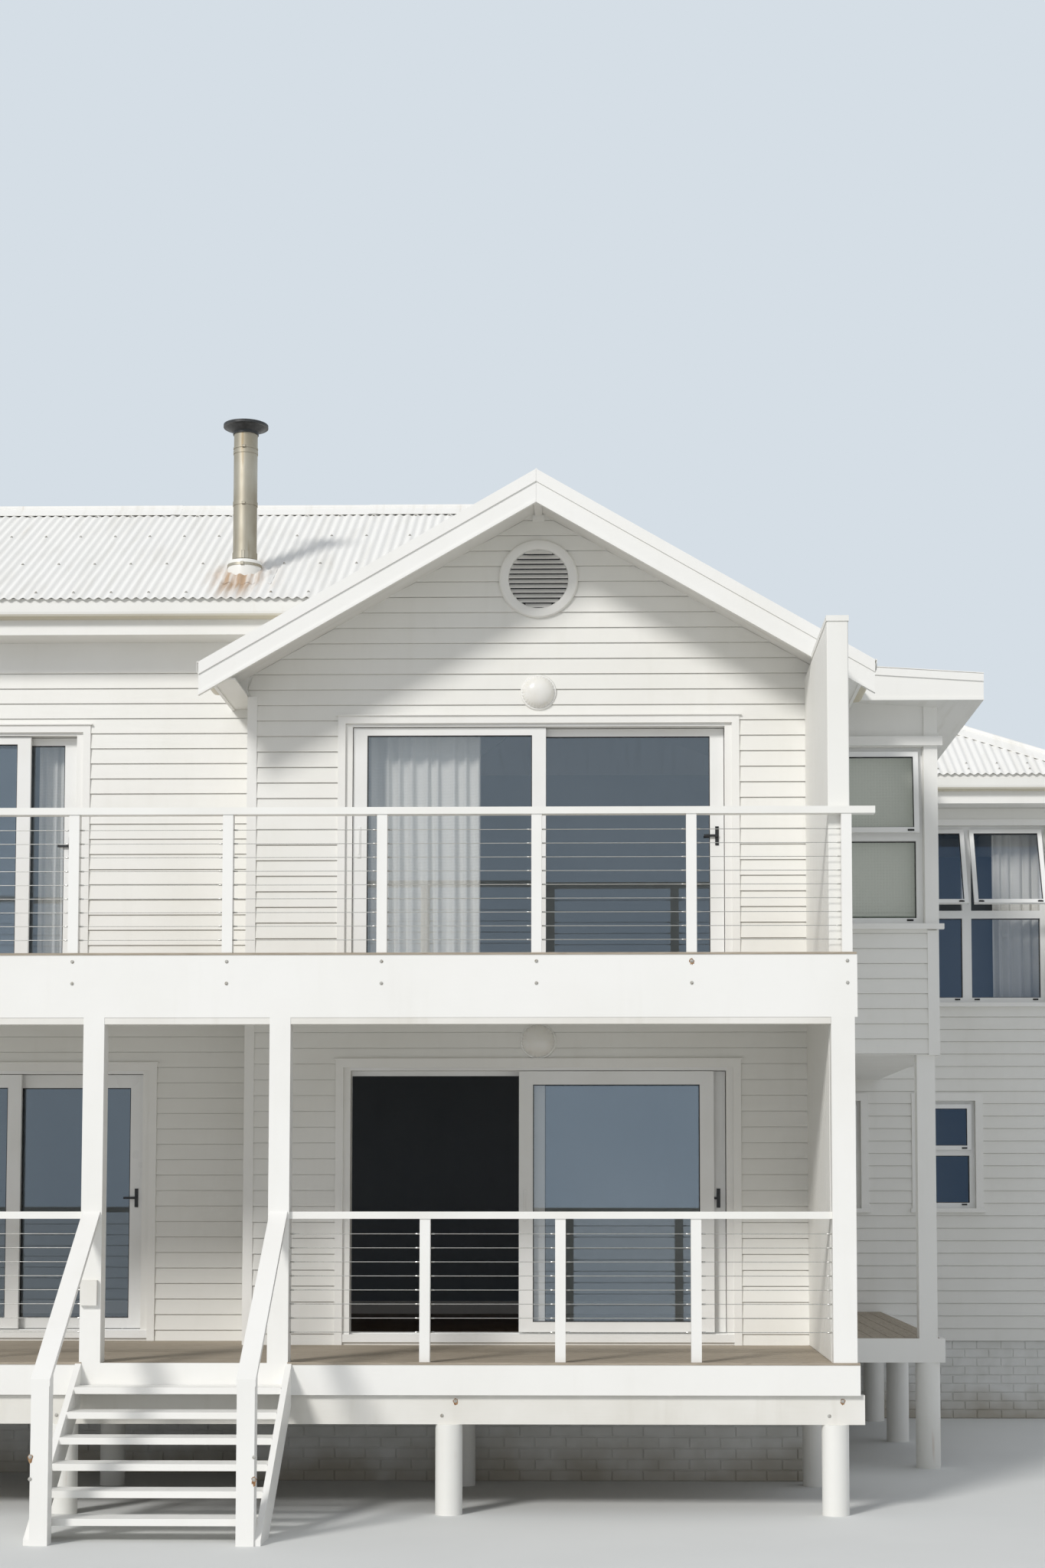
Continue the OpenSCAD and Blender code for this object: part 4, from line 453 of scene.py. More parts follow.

# %% [markdown]
# ### Paint on metal
#
# Gutters, window frames and vents are sheet metal with a factory coat, powder coat or
# enamel: harder and glossier than brushed paint, with no drag, only a fine orange peel.
# Salt air finds cut edges and screws, so faint rust runs start there. Faces that look down are
# painted a darker yellow-beige, which is painted shade under things, with grime where drips
# dry. The peel, near 1 mm on the real coat, is drawn at 2.5 mm so that it shows. A thin clear
# coat on the shader gives the gloss without hiding the peel.

# %% Coated metal


def coated_metal(name, colour, sheen, rust=0.0, underside_shade_and_grime=0.0):
    """Orange peel is fine noise. Rust shows where both a noise drawn out downwards and a wide
    cloud are high. Faces that look down turn a darker yellow-beige: painted shade under
    things, with grime where drips dry."""
    material, tree, shader, place = finish_of(name, sheen, Coat_Weight=0.15,
                                              Coat_Roughness=0.3)
    clouds = add(tree, "TexNoise", {"Vector": place, "Scale": per_metre(700), "Detail": 4.0})
    down = add(tree, "Mapping", {"Vector": place, "Scale": (1.0, 1.0, 0.08)})
    runs = add(tree, "TexNoise", {"Vector": down, "Scale": per_metre(60), "Detail": 5.0})
    peel = add(tree, "TexNoise", {"Vector": place, "Scale": per_metre(2.5)})
    grey = add(tree, "MapRange", {0: clouds, 1: 0.4, 2: 0.75, 4: 0.4})
    base = add(tree, "Mix", {0: grey, 6: colour, 7: "#DAD8CF"}, out=2, data_type="RGBA")
    near = add(tree, "MapRange", {0: clouds, 1: 0.52, 2: 0.64, 4: rust})
    lines = add(tree, "MapRange", {0: runs, 1: 0.62, 2: 0.8})
    amount = add(tree, "Math", {0: near, 1: lines}, operation="MULTIPLY")
    # Painted shade: faces that look down are mixed towards a darker yellow-beige, with drip
    # grime.
    facing = add(tree, "SeparateXYZ", {0: add(tree, "NewGeometry", {}, out="Normal")}, out="Z")
    under = add(tree, "MapRange", {0: facing, 1: -0.25, 2: -0.75, 4: underside_shade_and_grime})
    base = add(tree, "Mix", {0: under, 6: base, 7: "#C3B58C"}, out=2, data_type="RGBA")
    wire(tree, shader, {
        "Base Color": add(tree, "Mix", {0: amount, 6: base, 7: "#A8794B"}, out=2,
                          data_type="RGBA"),
        "Roughness": add(tree, "MapRange", {0: clouds, 1: 0.3, 2: 0.7, 3: sheen - 0.06,
                                            4: sheen + 0.1}),
        "Normal": add(tree, "Bump", {"Height": peel, "Distance": 0.0001, "Strength": 0.4})})
    return material


frame_coat = coated_metal("powder_coat_on_aluminium_frames", "#F2F2F0", 0.32)
gutter_enamel = coated_metal("enamel_on_rolled_gutter", "#EFEEE9", 0.35, rust=0.4, underside_shade_and_grime=0.6)
vent_enamel = coated_metal("enamel_on_pressed_vent", "#F1F0EC", 0.4)
rail_enamel = coated_metal("enamel_on_handrail_tube", "#F2F1EC", 0.36, rust=0.1)
pier_paint = coated_metal("paint_on_round_piers", "#ECEBE6", 0.5, rust=0.5)
print("coated metals", 5)

# %% [markdown]
# ### Painted corrugated sheet
#
# Roof sheets are hot-dip galvanised steel, rolled to a 76 mm wave and painted white. Sun and
# salt turn the gloss to chalk: it scatters light almost evenly, goes grey in runs down the
# slope where dirt settles, and rusts a little below the flue. Runs follow the fall of the
# roof, so the two directions of fall have a material each.

# %% Roof sheet
STAIN_AT, STAIN_SQUEEZE = (-1.77, -2.7742), 0.62


def roof_sheet(name, downhill, stain=0.0):
    """Chalk is a wide cloud. Runs are noise drawn out along the fall of the roof. A stain
    fades with distance from a point 0.1 m below the flue, counted for less downhill."""
    material, tree, shader, place = finish_of(name, 0.6)
    clouds = add(tree, "TexNoise", {"Vector": place, "Scale": per_metre(1300), "Detail": 6.0})
    drawn = add(tree, "Mapping", {"Vector": place, "Scale": downhill})
    runs = add(tree, "TexNoise", {"Vector": drawn, "Scale": per_metre(70), "Detail": 4.0})
    pits = add(tree, "TexNoise", {"Vector": place, "Scale": per_metre(5), "Detail": 3.0})
    grey = add(tree, "MapRange", {0: runs, 1: 0.5, 2: 0.85, 4: 0.5})
    base = add(tree, "Mix", {0: grey, 6: "#EFEEEA", 7: "#D3D0C6"}, out=2, data_type="RGBA")
    lines = add(tree, "MapRange", {0: runs, 1: 0.66, 2: 0.78})
    spread = add(tree, "MapRange", {0: clouds, 1: 0.56, 2: 0.7, 4: 0.55})
    rust = add(tree, "Math", {0: lines, 1: spread}, operation="MULTIPLY")
    base = add(tree, "Mix", {0: rust, 6: base, 7: "#B5906A"}, out=2, data_type="RGBA")
    local = add(tree, "Mapping", {
        "Vector": place, "Scale": (1.0, STAIN_SQUEEZE, 0.0),
        "Location": (-STAIN_AT[0], -STAIN_AT[1] * STAIN_SQUEEZE, 0)})
    away = add(tree, "VectorMath", {0: local}, out="Value", operation="LENGTH")
    near = add(tree, "MapRange", {0: away, 1: 0.36, 2: 0.12, 4: stain})
    ragged = add(tree, "MapRange", {0: runs, 1: 0.38, 2: 0.6})
    brown = add(tree, "Math", {0: near, 1: ragged}, operation="MULTIPLY")
    wire(tree, shader, {
        "Base Color": add(tree, "Mix", {0: brown, 6: base, 7: "#A98358"}, out=2,
                          data_type="RGBA"),
        "Roughness": add(tree, "MapRange", {0: clouds, 1: 0.3, 2: 0.7, 3: 0.5, 4: 0.72}),
        "Normal": add(tree, "Bump", {"Height": pits, "Distance": 0.0002, "Strength": 0.5})})
    return material


sheet_front_fall = roof_sheet("chalky_paint_on_sheet_falling_front", (1.0, 0.08, 0.08),
                              stain=0.85)
sheet_side_fall = roof_sheet("chalky_paint_on_sheet_falling_sideways", (0.08, 1.0, 0.08))
print("roof sheets", 2)

# %% [markdown]
# ### Brick and timber
#
# The plinth is common brick under masonry paint: matt, pitted, and stained by splashes
# near its foot. Deck boards are softwood with their stain worn off, grey-brown with the
# grain along the board. Indoors the floor is oiled pine, seen only through glass. Growth
# rings, 2 to 4 mm apart, are drawn at 9 mm so that they show.

# %% Masonry paint


def masonry_paint():
    """Pits and brush marks are two noises. A ragged ramp on height is the splash line."""
    material, tree, shader, place = finish_of("masonry_paint_on_brick", 0.85)
    height = add(tree, "SeparateXYZ", {0: place}, out="Z")
    edge = add(tree, "TexNoise", {"Vector": place, "Scale": per_metre(400)})
    ragged = add(tree, "MapRange", {0: edge, 1: 0.3, 2: 0.7, 3: -0.12, 4: 0.12})
    level = add(tree, "Math", {0: height, 1: ragged}, operation="ADD")
    splash = add(tree, "MapRange", {0: level, 1: 0.32, 2: 0.02, 4: 0.75})
    drift = add(tree, "TexNoise", {"Vector": place, "Scale": per_metre(160)})
    tone = add(tree, "MapRange", {0: drift, 1: 0.4, 2: 0.7, 4: 0.5})
    base = add(tree, "Mix", {0: tone, 6: "#E6E6E3", 7: "#D2D2CC"}, out=2, data_type="RGBA")
    pits = add(tree, "TexNoise", {"Vector": place, "Scale": per_metre(9), "Detail": 6.0,
                                  "Roughness": 0.7})
    wire(tree, shader, {
        "Base Color": add(tree, "Mix", {0: splash, 6: base, 7: "#A9A08E"}, out=2,
                          data_type="RGBA"),
        "Normal": add(tree, "Bump", {"Height": pits, "Distance": 0.0016})})
    return material


brick_paint = masonry_paint()
print("masonry paint, splashed up to 0.32 m")

# %% Grained timber


def grained_timber(name, fresh, worn, sheen, turn_at=99.0, depth_mm=1.0, ring_mm=9.0):
    """Grain is distorted noise drawn out along the board, over hand-sized patches. Boards
    run along x, and past turn_at, in metres, along y."""
    material, tree, shader, place = finish_of(name, sheen)
    across = add(tree, "Math", {0: add(tree, "SeparateXYZ", {0: place}, out="X"),
                                1: turn_at}, operation="GREATER_THAN")
    drawn = add(tree, "Mix", {
        0: across, 4: add(tree, "Mapping", {"Vector": place, "Scale": (0.05, 1.0, 1.0)}),
        5: add(tree, "Mapping", {"Vector": place, "Scale": (1.0, 0.05, 1.0)})},
        out=1, data_type="VECTOR")
    grain = add(tree, "TexNoise", {"Vector": drawn, "Scale": per_metre(ring_mm),
                                   "Detail": 6.0, "Distortion": 1.2})
    patches = add(tree, "TexNoise", {"Vector": drawn, "Scale": per_metre(260), "Detail": 3.0})
    dark = add(tree, "MapRange", {0: grain, 1: 0.35, 2: 0.7, 4: 0.75})
    wide = add(tree, "MapRange", {0: patches, 1: 0.3, 2: 0.7, 4: 0.35})
    amount = add(tree, "Math", {0: dark, 1: wide}, operation="ADD")
    wire(tree, shader, {
        "Base Color": add(tree, "Mix", {0: amount, 6: fresh, 7: worn}, out=2,
                          data_type="RGBA"),
        "Roughness": add(tree, "MapRange", {0: grain, 1: 0.3, 2: 0.7, 3: sheen - 0.1,
                                            4: min(sheen + 0.1, 1.0)}),
        "Normal": add(tree, "Bump", {"Height": grain, "Distance": depth_mm / 1000,
                                     "Strength": 0.8})})
    return material


deck_timber = grained_timber("weathered_softwood_decking", "#B6AA99", "#948979", 0.75, 3.0)
floor_timber = grained_timber("oiled_pine_floor", "#8A6F52", "#5F4A35", 0.45, depth_mm=0.3)
print("timbers", 2)

# %% [markdown]
# ### Steel and black enamel
#
# The flue is stainless steel: hot gas has tinted it straw and brown, and rain has drawn
# the tint down from each joint. Metals keep the shader's own refractive index and take
# their look from colour and roughness. The cowl is black stove enamel with a pale bloom
# of salt, and bolts are galvanised steel that has begun to rust. Wire strands, 1 mm on
# the real cable, are drawn at 6 mm.

# %% Flue steel


def heat_tinted_steel():
    """Runs are noise drawn out downwards. Brush lines are noise drawn round the pipe."""
    material, tree, shader, place = finish_of("heat_tinted_stainless_steel", 0.45, 0.7)
    down = add(tree, "Mapping", {"Vector": place, "Scale": (1.0, 1.0, 0.07)})
    runs = add(tree, "TexNoise", {"Vector": down, "Scale": per_metre(45), "Detail": 4.0})
    half = add(tree, "Mapping", {"Vector": place, "Scale": (1.0, 1.0, 0.5)})
    patches = add(tree, "TexNoise", {"Vector": half, "Scale": per_metre(260), "Detail": 3.0})
    round_it = add(tree, "Mapping", {"Vector": place, "Scale": (0.1, 0.1, 1.0)})
    lines = add(tree, "TexNoise", {"Vector": round_it, "Scale": per_metre(4)})
    straw = add(tree, "MapRange", {0: patches, 1: 0.35, 2: 0.7})
    tint = add(tree, "Mix", {0: straw, 6: "#BEB8A9", 7: "#9D9481"}, out=2, data_type="RGBA")
    brown = add(tree, "MapRange", {0: runs, 1: 0.6, 2: 0.78, 4: 0.8})
    wire(tree, shader, {
        "Base Color": add(tree, "Mix", {0: brown, 6: tint, 7: "#86714F"}, out=2,
                          data_type="RGBA"),
        "Roughness": add(tree, "MapRange", {0: patches, 1: 0.3, 2: 0.7, 3: 0.38, 4: 0.58}),
        "Normal": add(tree, "Bump", {"Height": lines, "Distance": 0.0001,
                                     "Strength": 0.5})})
    return material


flue_steel = heat_tinted_steel()
print("flue steel")

# %% Spotted finishes


def spotted(name, first, second, spot_mm, sheen, metallic=0.0, low=0.4, high=0.7,
            most=1.0, depth_mm=0.1):
    """Two tones parted by one noise, which also roughens and lifts the second tone."""
    material, tree, shader, place = finish_of(name, sheen, metallic)
    spots = add(tree, "TexNoise", {"Vector": place, "Scale": per_metre(spot_mm),
                                   "Detail": 6.0})
    amount = add(tree, "MapRange", {0: spots, 1: low, 2: high, 4: most})
    wire(tree, shader, {
        "Base Color": add(tree, "Mix", {0: amount, 6: first, 7: second}, out=2,
                          data_type="RGBA"),
        "Roughness": add(tree, "MapRange", {0: amount, 3: sheen, 4: min(sheen + 0.2, 1.0)}),
        "Normal": add(tree, "Bump", {"Height": spots, "Distance": depth_mm / 1000})})
    return material


cable_steel = spotted("stainless_wire_rope", "#C9C8C4", "#A6A39B", 6.0, 0.3, 1.0,
                      depth_mm=0.3)
cowl_black = spotted("black_stove_enamel", "#1A1B1D", "#5A5B5A", 60.0, 0.42, most=0.35)
lever_black = spotted("black_coated_lever", "#151516", "#3C3C3D", 20.0, 0.35, most=0.35)
# Black rubber for the seals. The same black also serves as painted shade in the foam closures
# and behind the louvre's blades.
black_rubber_and_shade = spotted("black_rubber_seal_and_painted_shade", "#222325", "#4C4D4E", 30.0, 0.6, most=0.5)
rust_steel = spotted("rust_on_galvanised_steel", "#A98A66", "#7A4B2A", 14.0, 0.7, 0.1,
                     0.4, 0.65, depth_mm=0.6)
bolt_steel = spotted("galvanised_steel_dulled", "#B7B5AF", "#8F8574", 16.0, 0.5, 0.4,
                     0.5, 0.7, depth_mm=0.3)
print("spotted finishes", 6)

# %% [markdown]
# ### Glass, opal glass and cloth
#
# Window glass is clear float glass. By day it shows a thin picture of the sky over a dark
# room, so the finish is a nearly clear film, a sixth of which is a blue-grey mirror. A
# pane bows by less than a millimetre, which bends what it mirrors. The lamp covers are
# opal glass, cast white. Curtains are a plain linen weave whose threads, near 1 mm, are
# drawn 25 mm apart, because finer ones would be lost between two pixels.

# %% Window glass
WING_FROM_Y, BAY_BEFORE_Y, BAY_FROM_X = 1.5, -2.2, 2.95


def float_glass():
    """A smooth mirror film whose tone and shape drift over the width of a pane. Its blue-grey
    is a painted tint of the sky's reflection. The side bay's panes get a greener tone and the
    wing's a darker blue: painted shade and reflection of how those panes look, not tints of
    their glass. Comparing a pane's place with three limits in metres tells which it is."""
    material, tree, shader, place = finish_of("clear_float_glass", 0.02, 1.0, Alpha=0.17)
    drift = add(tree, "TexNoise", {"Vector": place, "Scale": per_metre(1500), "Detail": 1.0})
    bow = add(tree, "TexNoise", {"Vector": place, "Scale": per_metre(900), "Detail": 0.0})
    plain = add(tree, "Mix", {0: drift, 6: "#C6D0D8", 7: "#AEBCC8"}, out=2, data_type="RGBA")
    bay_painted_shade_tint = add(tree, "Mix", {0: drift, 6: "#BBC0AE", 7: "#A3A996"}, out=2, data_type="RGBA")
    wing_painted_shade_tint = add(tree, "Mix", {0: drift, 6: "#6F859E", 7: "#566C87"}, out=2, data_type="RGBA")
    apart = add(tree, "SeparateXYZ", {0: place}, out="X")
    depth = add(tree, "SeparateXYZ", {0: place}, out="Y")
    in_wing = add(tree, "Math", {0: depth, 1: WING_FROM_Y}, operation="GREATER_THAN")
    in_front = add(tree, "Math", {0: depth, 1: BAY_BEFORE_Y}, operation="LESS_THAN")
    at_side = add(tree, "Math", {0: apart, 1: BAY_FROM_X}, operation="GREATER_THAN")
    in_bay = add(tree, "Math", {0: in_front, 1: at_side}, operation="MULTIPLY")
    # The wing's darker blue and the bay's green are painted shade and reflection, chosen by
    # place.
    tone = add(tree, "Mix", {0: in_wing, 6: plain, 7: wing_painted_shade_tint}, out=2, data_type="RGBA")
    wire(tree, shader, {
        "Base Color": add(tree, "Mix", {0: in_bay, 6: tone, 7: bay_painted_shade_tint}, out=2,
                          data_type="RGBA"),
        "Normal": add(tree, "Bump", {"Height": bow, "Distance": 0.001, "Strength": 0.3})})
    return material


window_glass = float_glass()
print("window glass in three tones")

# %% Opal glass and linen


def opal_glass():
    """Cast white glass: light sinks in a little and comes back soft, under a clear gloss."""
    material, tree, shader, place = finish_of(
        "cast_opal_glass", 0.16, Subsurface_Weight=0.25, Subsurface_Scale=0.03,
        Subsurface_Radius=(1.0, 0.95, 0.85), Coat_Weight=0.5, Coat_Roughness=0.08)
    drift = add(tree, "TexNoise", {"Vector": place, "Scale": per_metre(80)})
    wire(tree, shader, {
        "Base Color": add(tree, "Mix", {0: drift, 6: "#F3F2EE", 7: "#E9E6DE"}, out=2,
                          data_type="RGBA"),
        "Normal": add(tree, "Bump", {"Height": drift, "Distance": 0.0005,
                                     "Strength": 0.3})})
    return material


def linen():
    """Threads are two sets of bands crossed on the cloth's own map, which is in metres.
    Bands run through 20 radians in a unit, so that threads lie 25 mm apart in 80 mm."""
    material, tree, shader, place = finish_of("plain_woven_linen", 0.9, Sheen_Weight=0.2)
    cloth_map = add(tree, "UVMap", uv_map="cloth")
    threads = [add(tree, "TexWave", {"Vector": cloth_map, "Scale": per_metre(80),
                                     "Distortion": 0.6, "Detail": 2.0}, out="Fac",
                   wave_type="BANDS", bands_direction=way) for way in "XY"]
    weave = add(tree, "Math", {0: threads[0], 1: threads[1]}, operation="MULTIPLY")
    cloud = add(tree, "TexNoise", {"Vector": place, "Scale": per_metre(300)})
    amount = add(tree, "Math", {0: weave, 1: cloud}, operation="MULTIPLY")
    wire(tree, shader, {
        "Base Color": add(tree, "Mix", {0: amount, 6: "#EDECE7", 7: "#D9D8D2"}, out=2,
                          data_type="RGBA"),
        "Normal": add(tree, "Bump", {"Height": weave, "Distance": 0.0004,
                                     "Strength": 0.6})})
    return material


opal, linen_cloth = opal_glass(), linen()
print("opal glass and linen")

# %% [markdown]
# ### Dressing the frame's own nodes
#
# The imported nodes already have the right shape, so they stay and only get a finish. The
# outdoor faces of the walls disappear behind the lapped boards below.

# %% Finishes for the nodes
NODE_FINISH = [
    (pier_paint, "piers"),
    (brick_paint, "plinth_walls plinth_returns"),
    (rough_paint, "bearers joists"),
    (deck_timber, "deck_boards"),
    (floor_timber, "floors"),
    (trim_paint, "fascias end_fascias soffits stair_stringers stair_treads stair_rails "
                 "barge_boards casings"),
    (post_paint, "porch_posts rail_posts stair_newels corner_boards door_jambs"),
    (rail_enamel, "handrails curtain_rails"),
    (cable_steel, "cables"),
    (screen_paint, "screen_walls"),
    (board_paint, "front_walls front_wall_bands front_wall_infill side_walls back_walls "
                  "wing_front_wall bay_walls"),
    (sheet_front_fall, "left_roof wing_roof bay_roof ridge_caps"),
    (sheet_side_fall, "gable_roof"),
    (gutter_enamel, "gutters"),
    (vent_enamel, "gable_vent"),
    (opal, "wall_lights"),
    (flue_steel, "flue_pipe"),
    (cowl_black, "flue_cowl"),
    (frame_coat, "door_tracks upper_door_leaves window_frames window_sashes "
                 "centre_left_leaf centre_right_leaf left_left_leaf left_right_leaf"),
    (lever_black, "upper_levers centre_lever left_lever"),
    (window_glass, "window_glass centre_left_glass centre_right_glass left_left_glass "
                   "left_right_glass"),
    (linen_cloth, "curtains"),
]
dressed = set()
for finish, names in NODE_FINISH:
    for name in names.split():
        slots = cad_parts[name].data.materials
        slots.clear()
        slots.append(finish)
        dressed.add(name)
assert dressed == set(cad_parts), set(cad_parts) ^ dressed
print("dressed nodes", len(dressed))

# %% [markdown]
# ## The plan
#
# The frame's own plan is repeated here in a few levels, faces, doors and windows, so that
# boards, bricks and seals can all be laid out from the same numbers. A window is a face,
# where that face stands, its centre along it, its sill's height, a size and the angle in
# degrees by which its sash stands open. A size is a width, a height and lights abreast.

# %% Levels and faces
DECK_Z, BALCONY_Z, SKIRT_Z, CEILING_Z = 1050.0, 3917.0, 766.0, 3685.0
GABLE_Y, LEFT_Y, BAY_Y, WING_Y = 2000, 2500, 2850, 7200
LEFT_BACK_Y, WING_BACK_Y = 6800, 11800
HALF_W, LEFT_X, WING_X, BAY_X, BAY_UNDER_Z = 2311.0, -6500.0, 5110.0, 3250.0, 3359.0
POST_W, SOFFIT_Z, LEFT_SOFFIT_Z = 76, 6100, 6479
LEFT_RIDGE_Y, WING_RIDGE_Y = 4650.0, 9500.0
GABLE_FALL, LEFT_FALL, WING_FALL, BAY_FALL = (
    math.tan(math.radians(angle)) for angle in (30, 29.6, 28.75, 3.6))
print("deck at", DECK_Z, "balcony at", BALCONY_Z)

# %% Doors and windows
SMALL, WIDE, BAY_SIZE = (560, 1072, 1), (1580, 1790, 2), (789, 1470, 1)
LOW_SILL, HIGH_SILL = 2076, 4130
DOORS = ((GABLE_Y, 0, DECK_Z, 1530, 3216), (GABLE_Y, 0, BALCONY_Z, 1530, 5948),
         (LEFT_Y, -4259, DECK_Z, 1106, 3216), (LEFT_Y, -4835, BALCONY_Z, 1106, 5982))
WINDOWS = [("front", WING_Y, 3938, LOW_SILL, SMALL, 0),
           ("front", WING_Y, 2796, LOW_SILL, SMALL, 0),
           ("front", WING_Y, 4163, HIGH_SILL, WIDE, 22),
           ("front", BAY_Y, 2755.5, 4437, BAY_SIZE, 5)]
for sill, size, rows in (
        (LOW_SILL, SMALL, (("left", LEFT_X, (3704, 5596)), ("right", WING_X, (8488, 10512)),
                           ("back", WING_BACK_Y, (-1617.7, 3938, 1711)))),
        (HIGH_SILL, WIDE, (("back", WING_BACK_Y, (3710, -811)), ("left", LEFT_X, (4650,)),
                           ("right", WING_X, (9500,)))),
        (LOW_SILL, SMALL, (("back", LEFT_BACK_Y, (-4405.5,)),)),
        (HIGH_SILL, WIDE, (("back", LEFT_BACK_Y, (-4405.5,)),))):
    WINDOWS += [(face, plane, u, sill, size, 0) for face, plane, us in rows for u in us]


def holes_on(face, plane):
    """Outlines (left, right, foot, head) of what interrupts the boards on one face: a door
    or a window with its casing, and the window's sill."""
    holes = [(x - half - 60, x + half + 60, z, top + 70)
             for own_plane, x, z, half, top in DOORS if (face, plane) == ("front", own_plane)]
    for own_face, own_plane, centre, sill, (wide, high, lights), _ in WINDOWS:
        case = 62 if lights == 2 else 75
        if (own_face, own_plane) == (face, plane):
            holes.append((centre - wide / 2 - case, centre + wide / 2 + case, sill - 40,
                          sill + high + case))
    return holes


print("windows", len(WINDOWS), "doors", len(DOORS))

# %% [markdown]
# ## Lapped boards
#
# Each wall is clad in bevelled boards, laid from the bottom up, each lapping over the one
# below. A board is a wedge: thick at its foot, thin at its head. A plane with a bump could
# only draw the lines. Real wedges catch the sun on their feet and throw a thin shadow on
# the board below, from any side, so each board is its own closed block.
#
# A face of the house is drawn flat, in three numbers: u along the wall, how far out from
# it, and z. A small matrix for each of the four directions then stands it up.

# %% Faces of the house
FACES = {"front": [[1, 0, 0], [0, -1, 0], [0, 0, 1]],
         "back": [[1, 0, 0], [0, 1, 0], [0, 0, 1]],
         "left": [[0, -1, 0], [1, 0, 0], [0, 0, 1]],
         "right": [[0, 1, 0], [1, 0, 0], [0, 0, 1]]}


def on_face(shape, face, plane):
    """A shape drawn as (u, out, z) stood up on the wall whose outer face is at plane."""
    shift = (0, plane, 0) if face in ("front", "back") else (plane, 0, 0)
    return moved(shape, FACES[face], shift)


print("faces", ", ".join(FACES))

# %% Strips between cuts
COURSE, LEAST_RUN = 124.0, 8


def cut_out(runs, gap):
    """Runs of board and the gap are each (left at foot, left at head, right at foot, right
    at head). A run that the gap meets becomes what lies before it and what lies after."""
    parts = []
    for la, lb, ra, rb in runs:
        if la < gap[2] and gap[0] < ra:
            parts += [(la, lb, min(ra, gap[0]), min(rb, gap[1])),
                      (max(la, gap[2]), max(lb, gap[3]), ra, rb)]
        else:
            parts.append((la, lb, ra, rb))
    return parts


def strips(low, high, left, right, holes, disc):
    """Heights are cut at each course line, at each hole's foot and head, and in steps of 15
    degrees round the disc. Each strip between two cuts is one run from the wall's left end
    to its right end, less the gaps of holes and disc. left and right give the wall's ends
    at a height. A row is two heights, the four corners and the height of the board's foot."""
    u_c, z_c, radius = disc
    cuts = {low, high, *np.arange(SKIRT_Z, high, COURSE), *(z for h in holes for z in h[2:]),
            *(z_c + radius * np.sin(np.radians(np.arange(-90, 91, 15))))}
    cuts = sorted(z for z in cuts if low <= z <= high)
    rows = []
    for z_a, z_b in zip(cuts[:-1], cuts[1:]):
        middle = (z_a + z_b) / 2
        foot = SKIRT_Z + math.floor((middle - SKIRT_Z) / COURSE) * COURSE
        gaps = [(h[0], h[0], h[1], h[1]) for h in holes if h[2] < middle < h[3]]
        if abs(middle - z_c) < radius:
            a, b = (math.sqrt(max(radius ** 2 - (z - z_c) ** 2, 0)) for z in (z_a, z_b))
            gaps.append((u_c - a, u_c - b, u_c + a, u_c + b))
        runs = [(left(z_a), left(z_b), right(z_a), right(z_b))]
        for gap in gaps:
            runs = cut_out(runs, gap)
        rows += [(z_a, z_b, la, lb, ra, rb, foot) for la, lb, ra, rb in runs
                 if ra - la + rb - lb > LEAST_RUN and ra >= la and rb >= lb]
    return np.array(rows)


plain_wall = strips(SKIRT_Z, SKIRT_Z + 2 * COURSE, lambda z: 0.0, lambda z: 900.0,
                    [(300.0, 600.0, SKIRT_Z, SKIRT_Z + COURSE)], (0, 0, 0))
print("two courses, one with a hole, make", len(plain_wall), "strips")

# %% Boards on a face
FOOT_OUT, HEAD_OUT, GROOVE = 17.0, 5.0, 5.0


def lapped(face, plane, low, high, left, right, disc=(0, 0, 0)):
    """Strips of board as blocks whose thickness falls in a straight line from the board's
    foot to its head. A strip that reaches the next foot stops a few millimetres short of
    it, where the lap leaves a dark line. An upright end is given as one number."""
    left, right = (end if callable(end) else (lambda z, u=float(end): u)
                   for end in (left, right))
    rows = strips(low, high, left, right, holes_on(face, plane), disc)
    z_a, z_b, la, lb, ra, rb, foot = rows.T
    z_b = np.where(np.isclose(z_b, foot + COURSE), z_b - GROOVE, z_b)
    levels = []
    for z, near, far in ((z_a, la, ra), (z_b, lb, rb)):
        out = FOOT_OUT - (FOOT_OUT - HEAD_OUT) * (z - foot) / COURSE
        back = np.ones_like(out)
        levels.append(np.stack([[near, far, far, near], [back, back, out, out],
                                [z, z, z, z]], -1).transpose(1, 0, 2))
    return on_face(six_sided(*levels), face, plane)


print("boards show", COURSE, "mm and stand out by", FOOT_OUT, "mm at the foot")

# %% Ends that follow the roofs
EAVE_TOP_Z, UNDER_GABLE_Z, UNDER_LEFT_Z, OVER_GABLE_Z = 6168, 7654.3, 8293.0, 7790


def under_gable(side, inset=0.0):
    """The gable's slope at 30 degrees: the half width at a height, never past the wall or,
    below the eaves, past the corner board."""
    return lambda z: side * min(HALF_W - (inset if z < EAVE_TOP_Z else 0),
                                max((UNDER_GABLE_Z - z) / GABLE_FALL, 0))


def under_left(side, lowest=2576, highest=6724):
    """The left roof's slope about its ridge, between the two corner boards."""
    return lambda z: min(max(LEFT_RIDGE_Y + side * max((UNDER_LEFT_Z - z) / LEFT_FALL, 0),
                             lowest), highest)


def beside_gable(z):
    """The left front ends at the corner of the gable block, and above that block's roof
    at the roof's own slope."""
    return float(max(-HALF_W, -(OVER_GABLE_Z - z) / GABLE_FALL))


print("7 m up the gable is", round(2 * under_gable(1)(7000.0)), "mm wide")

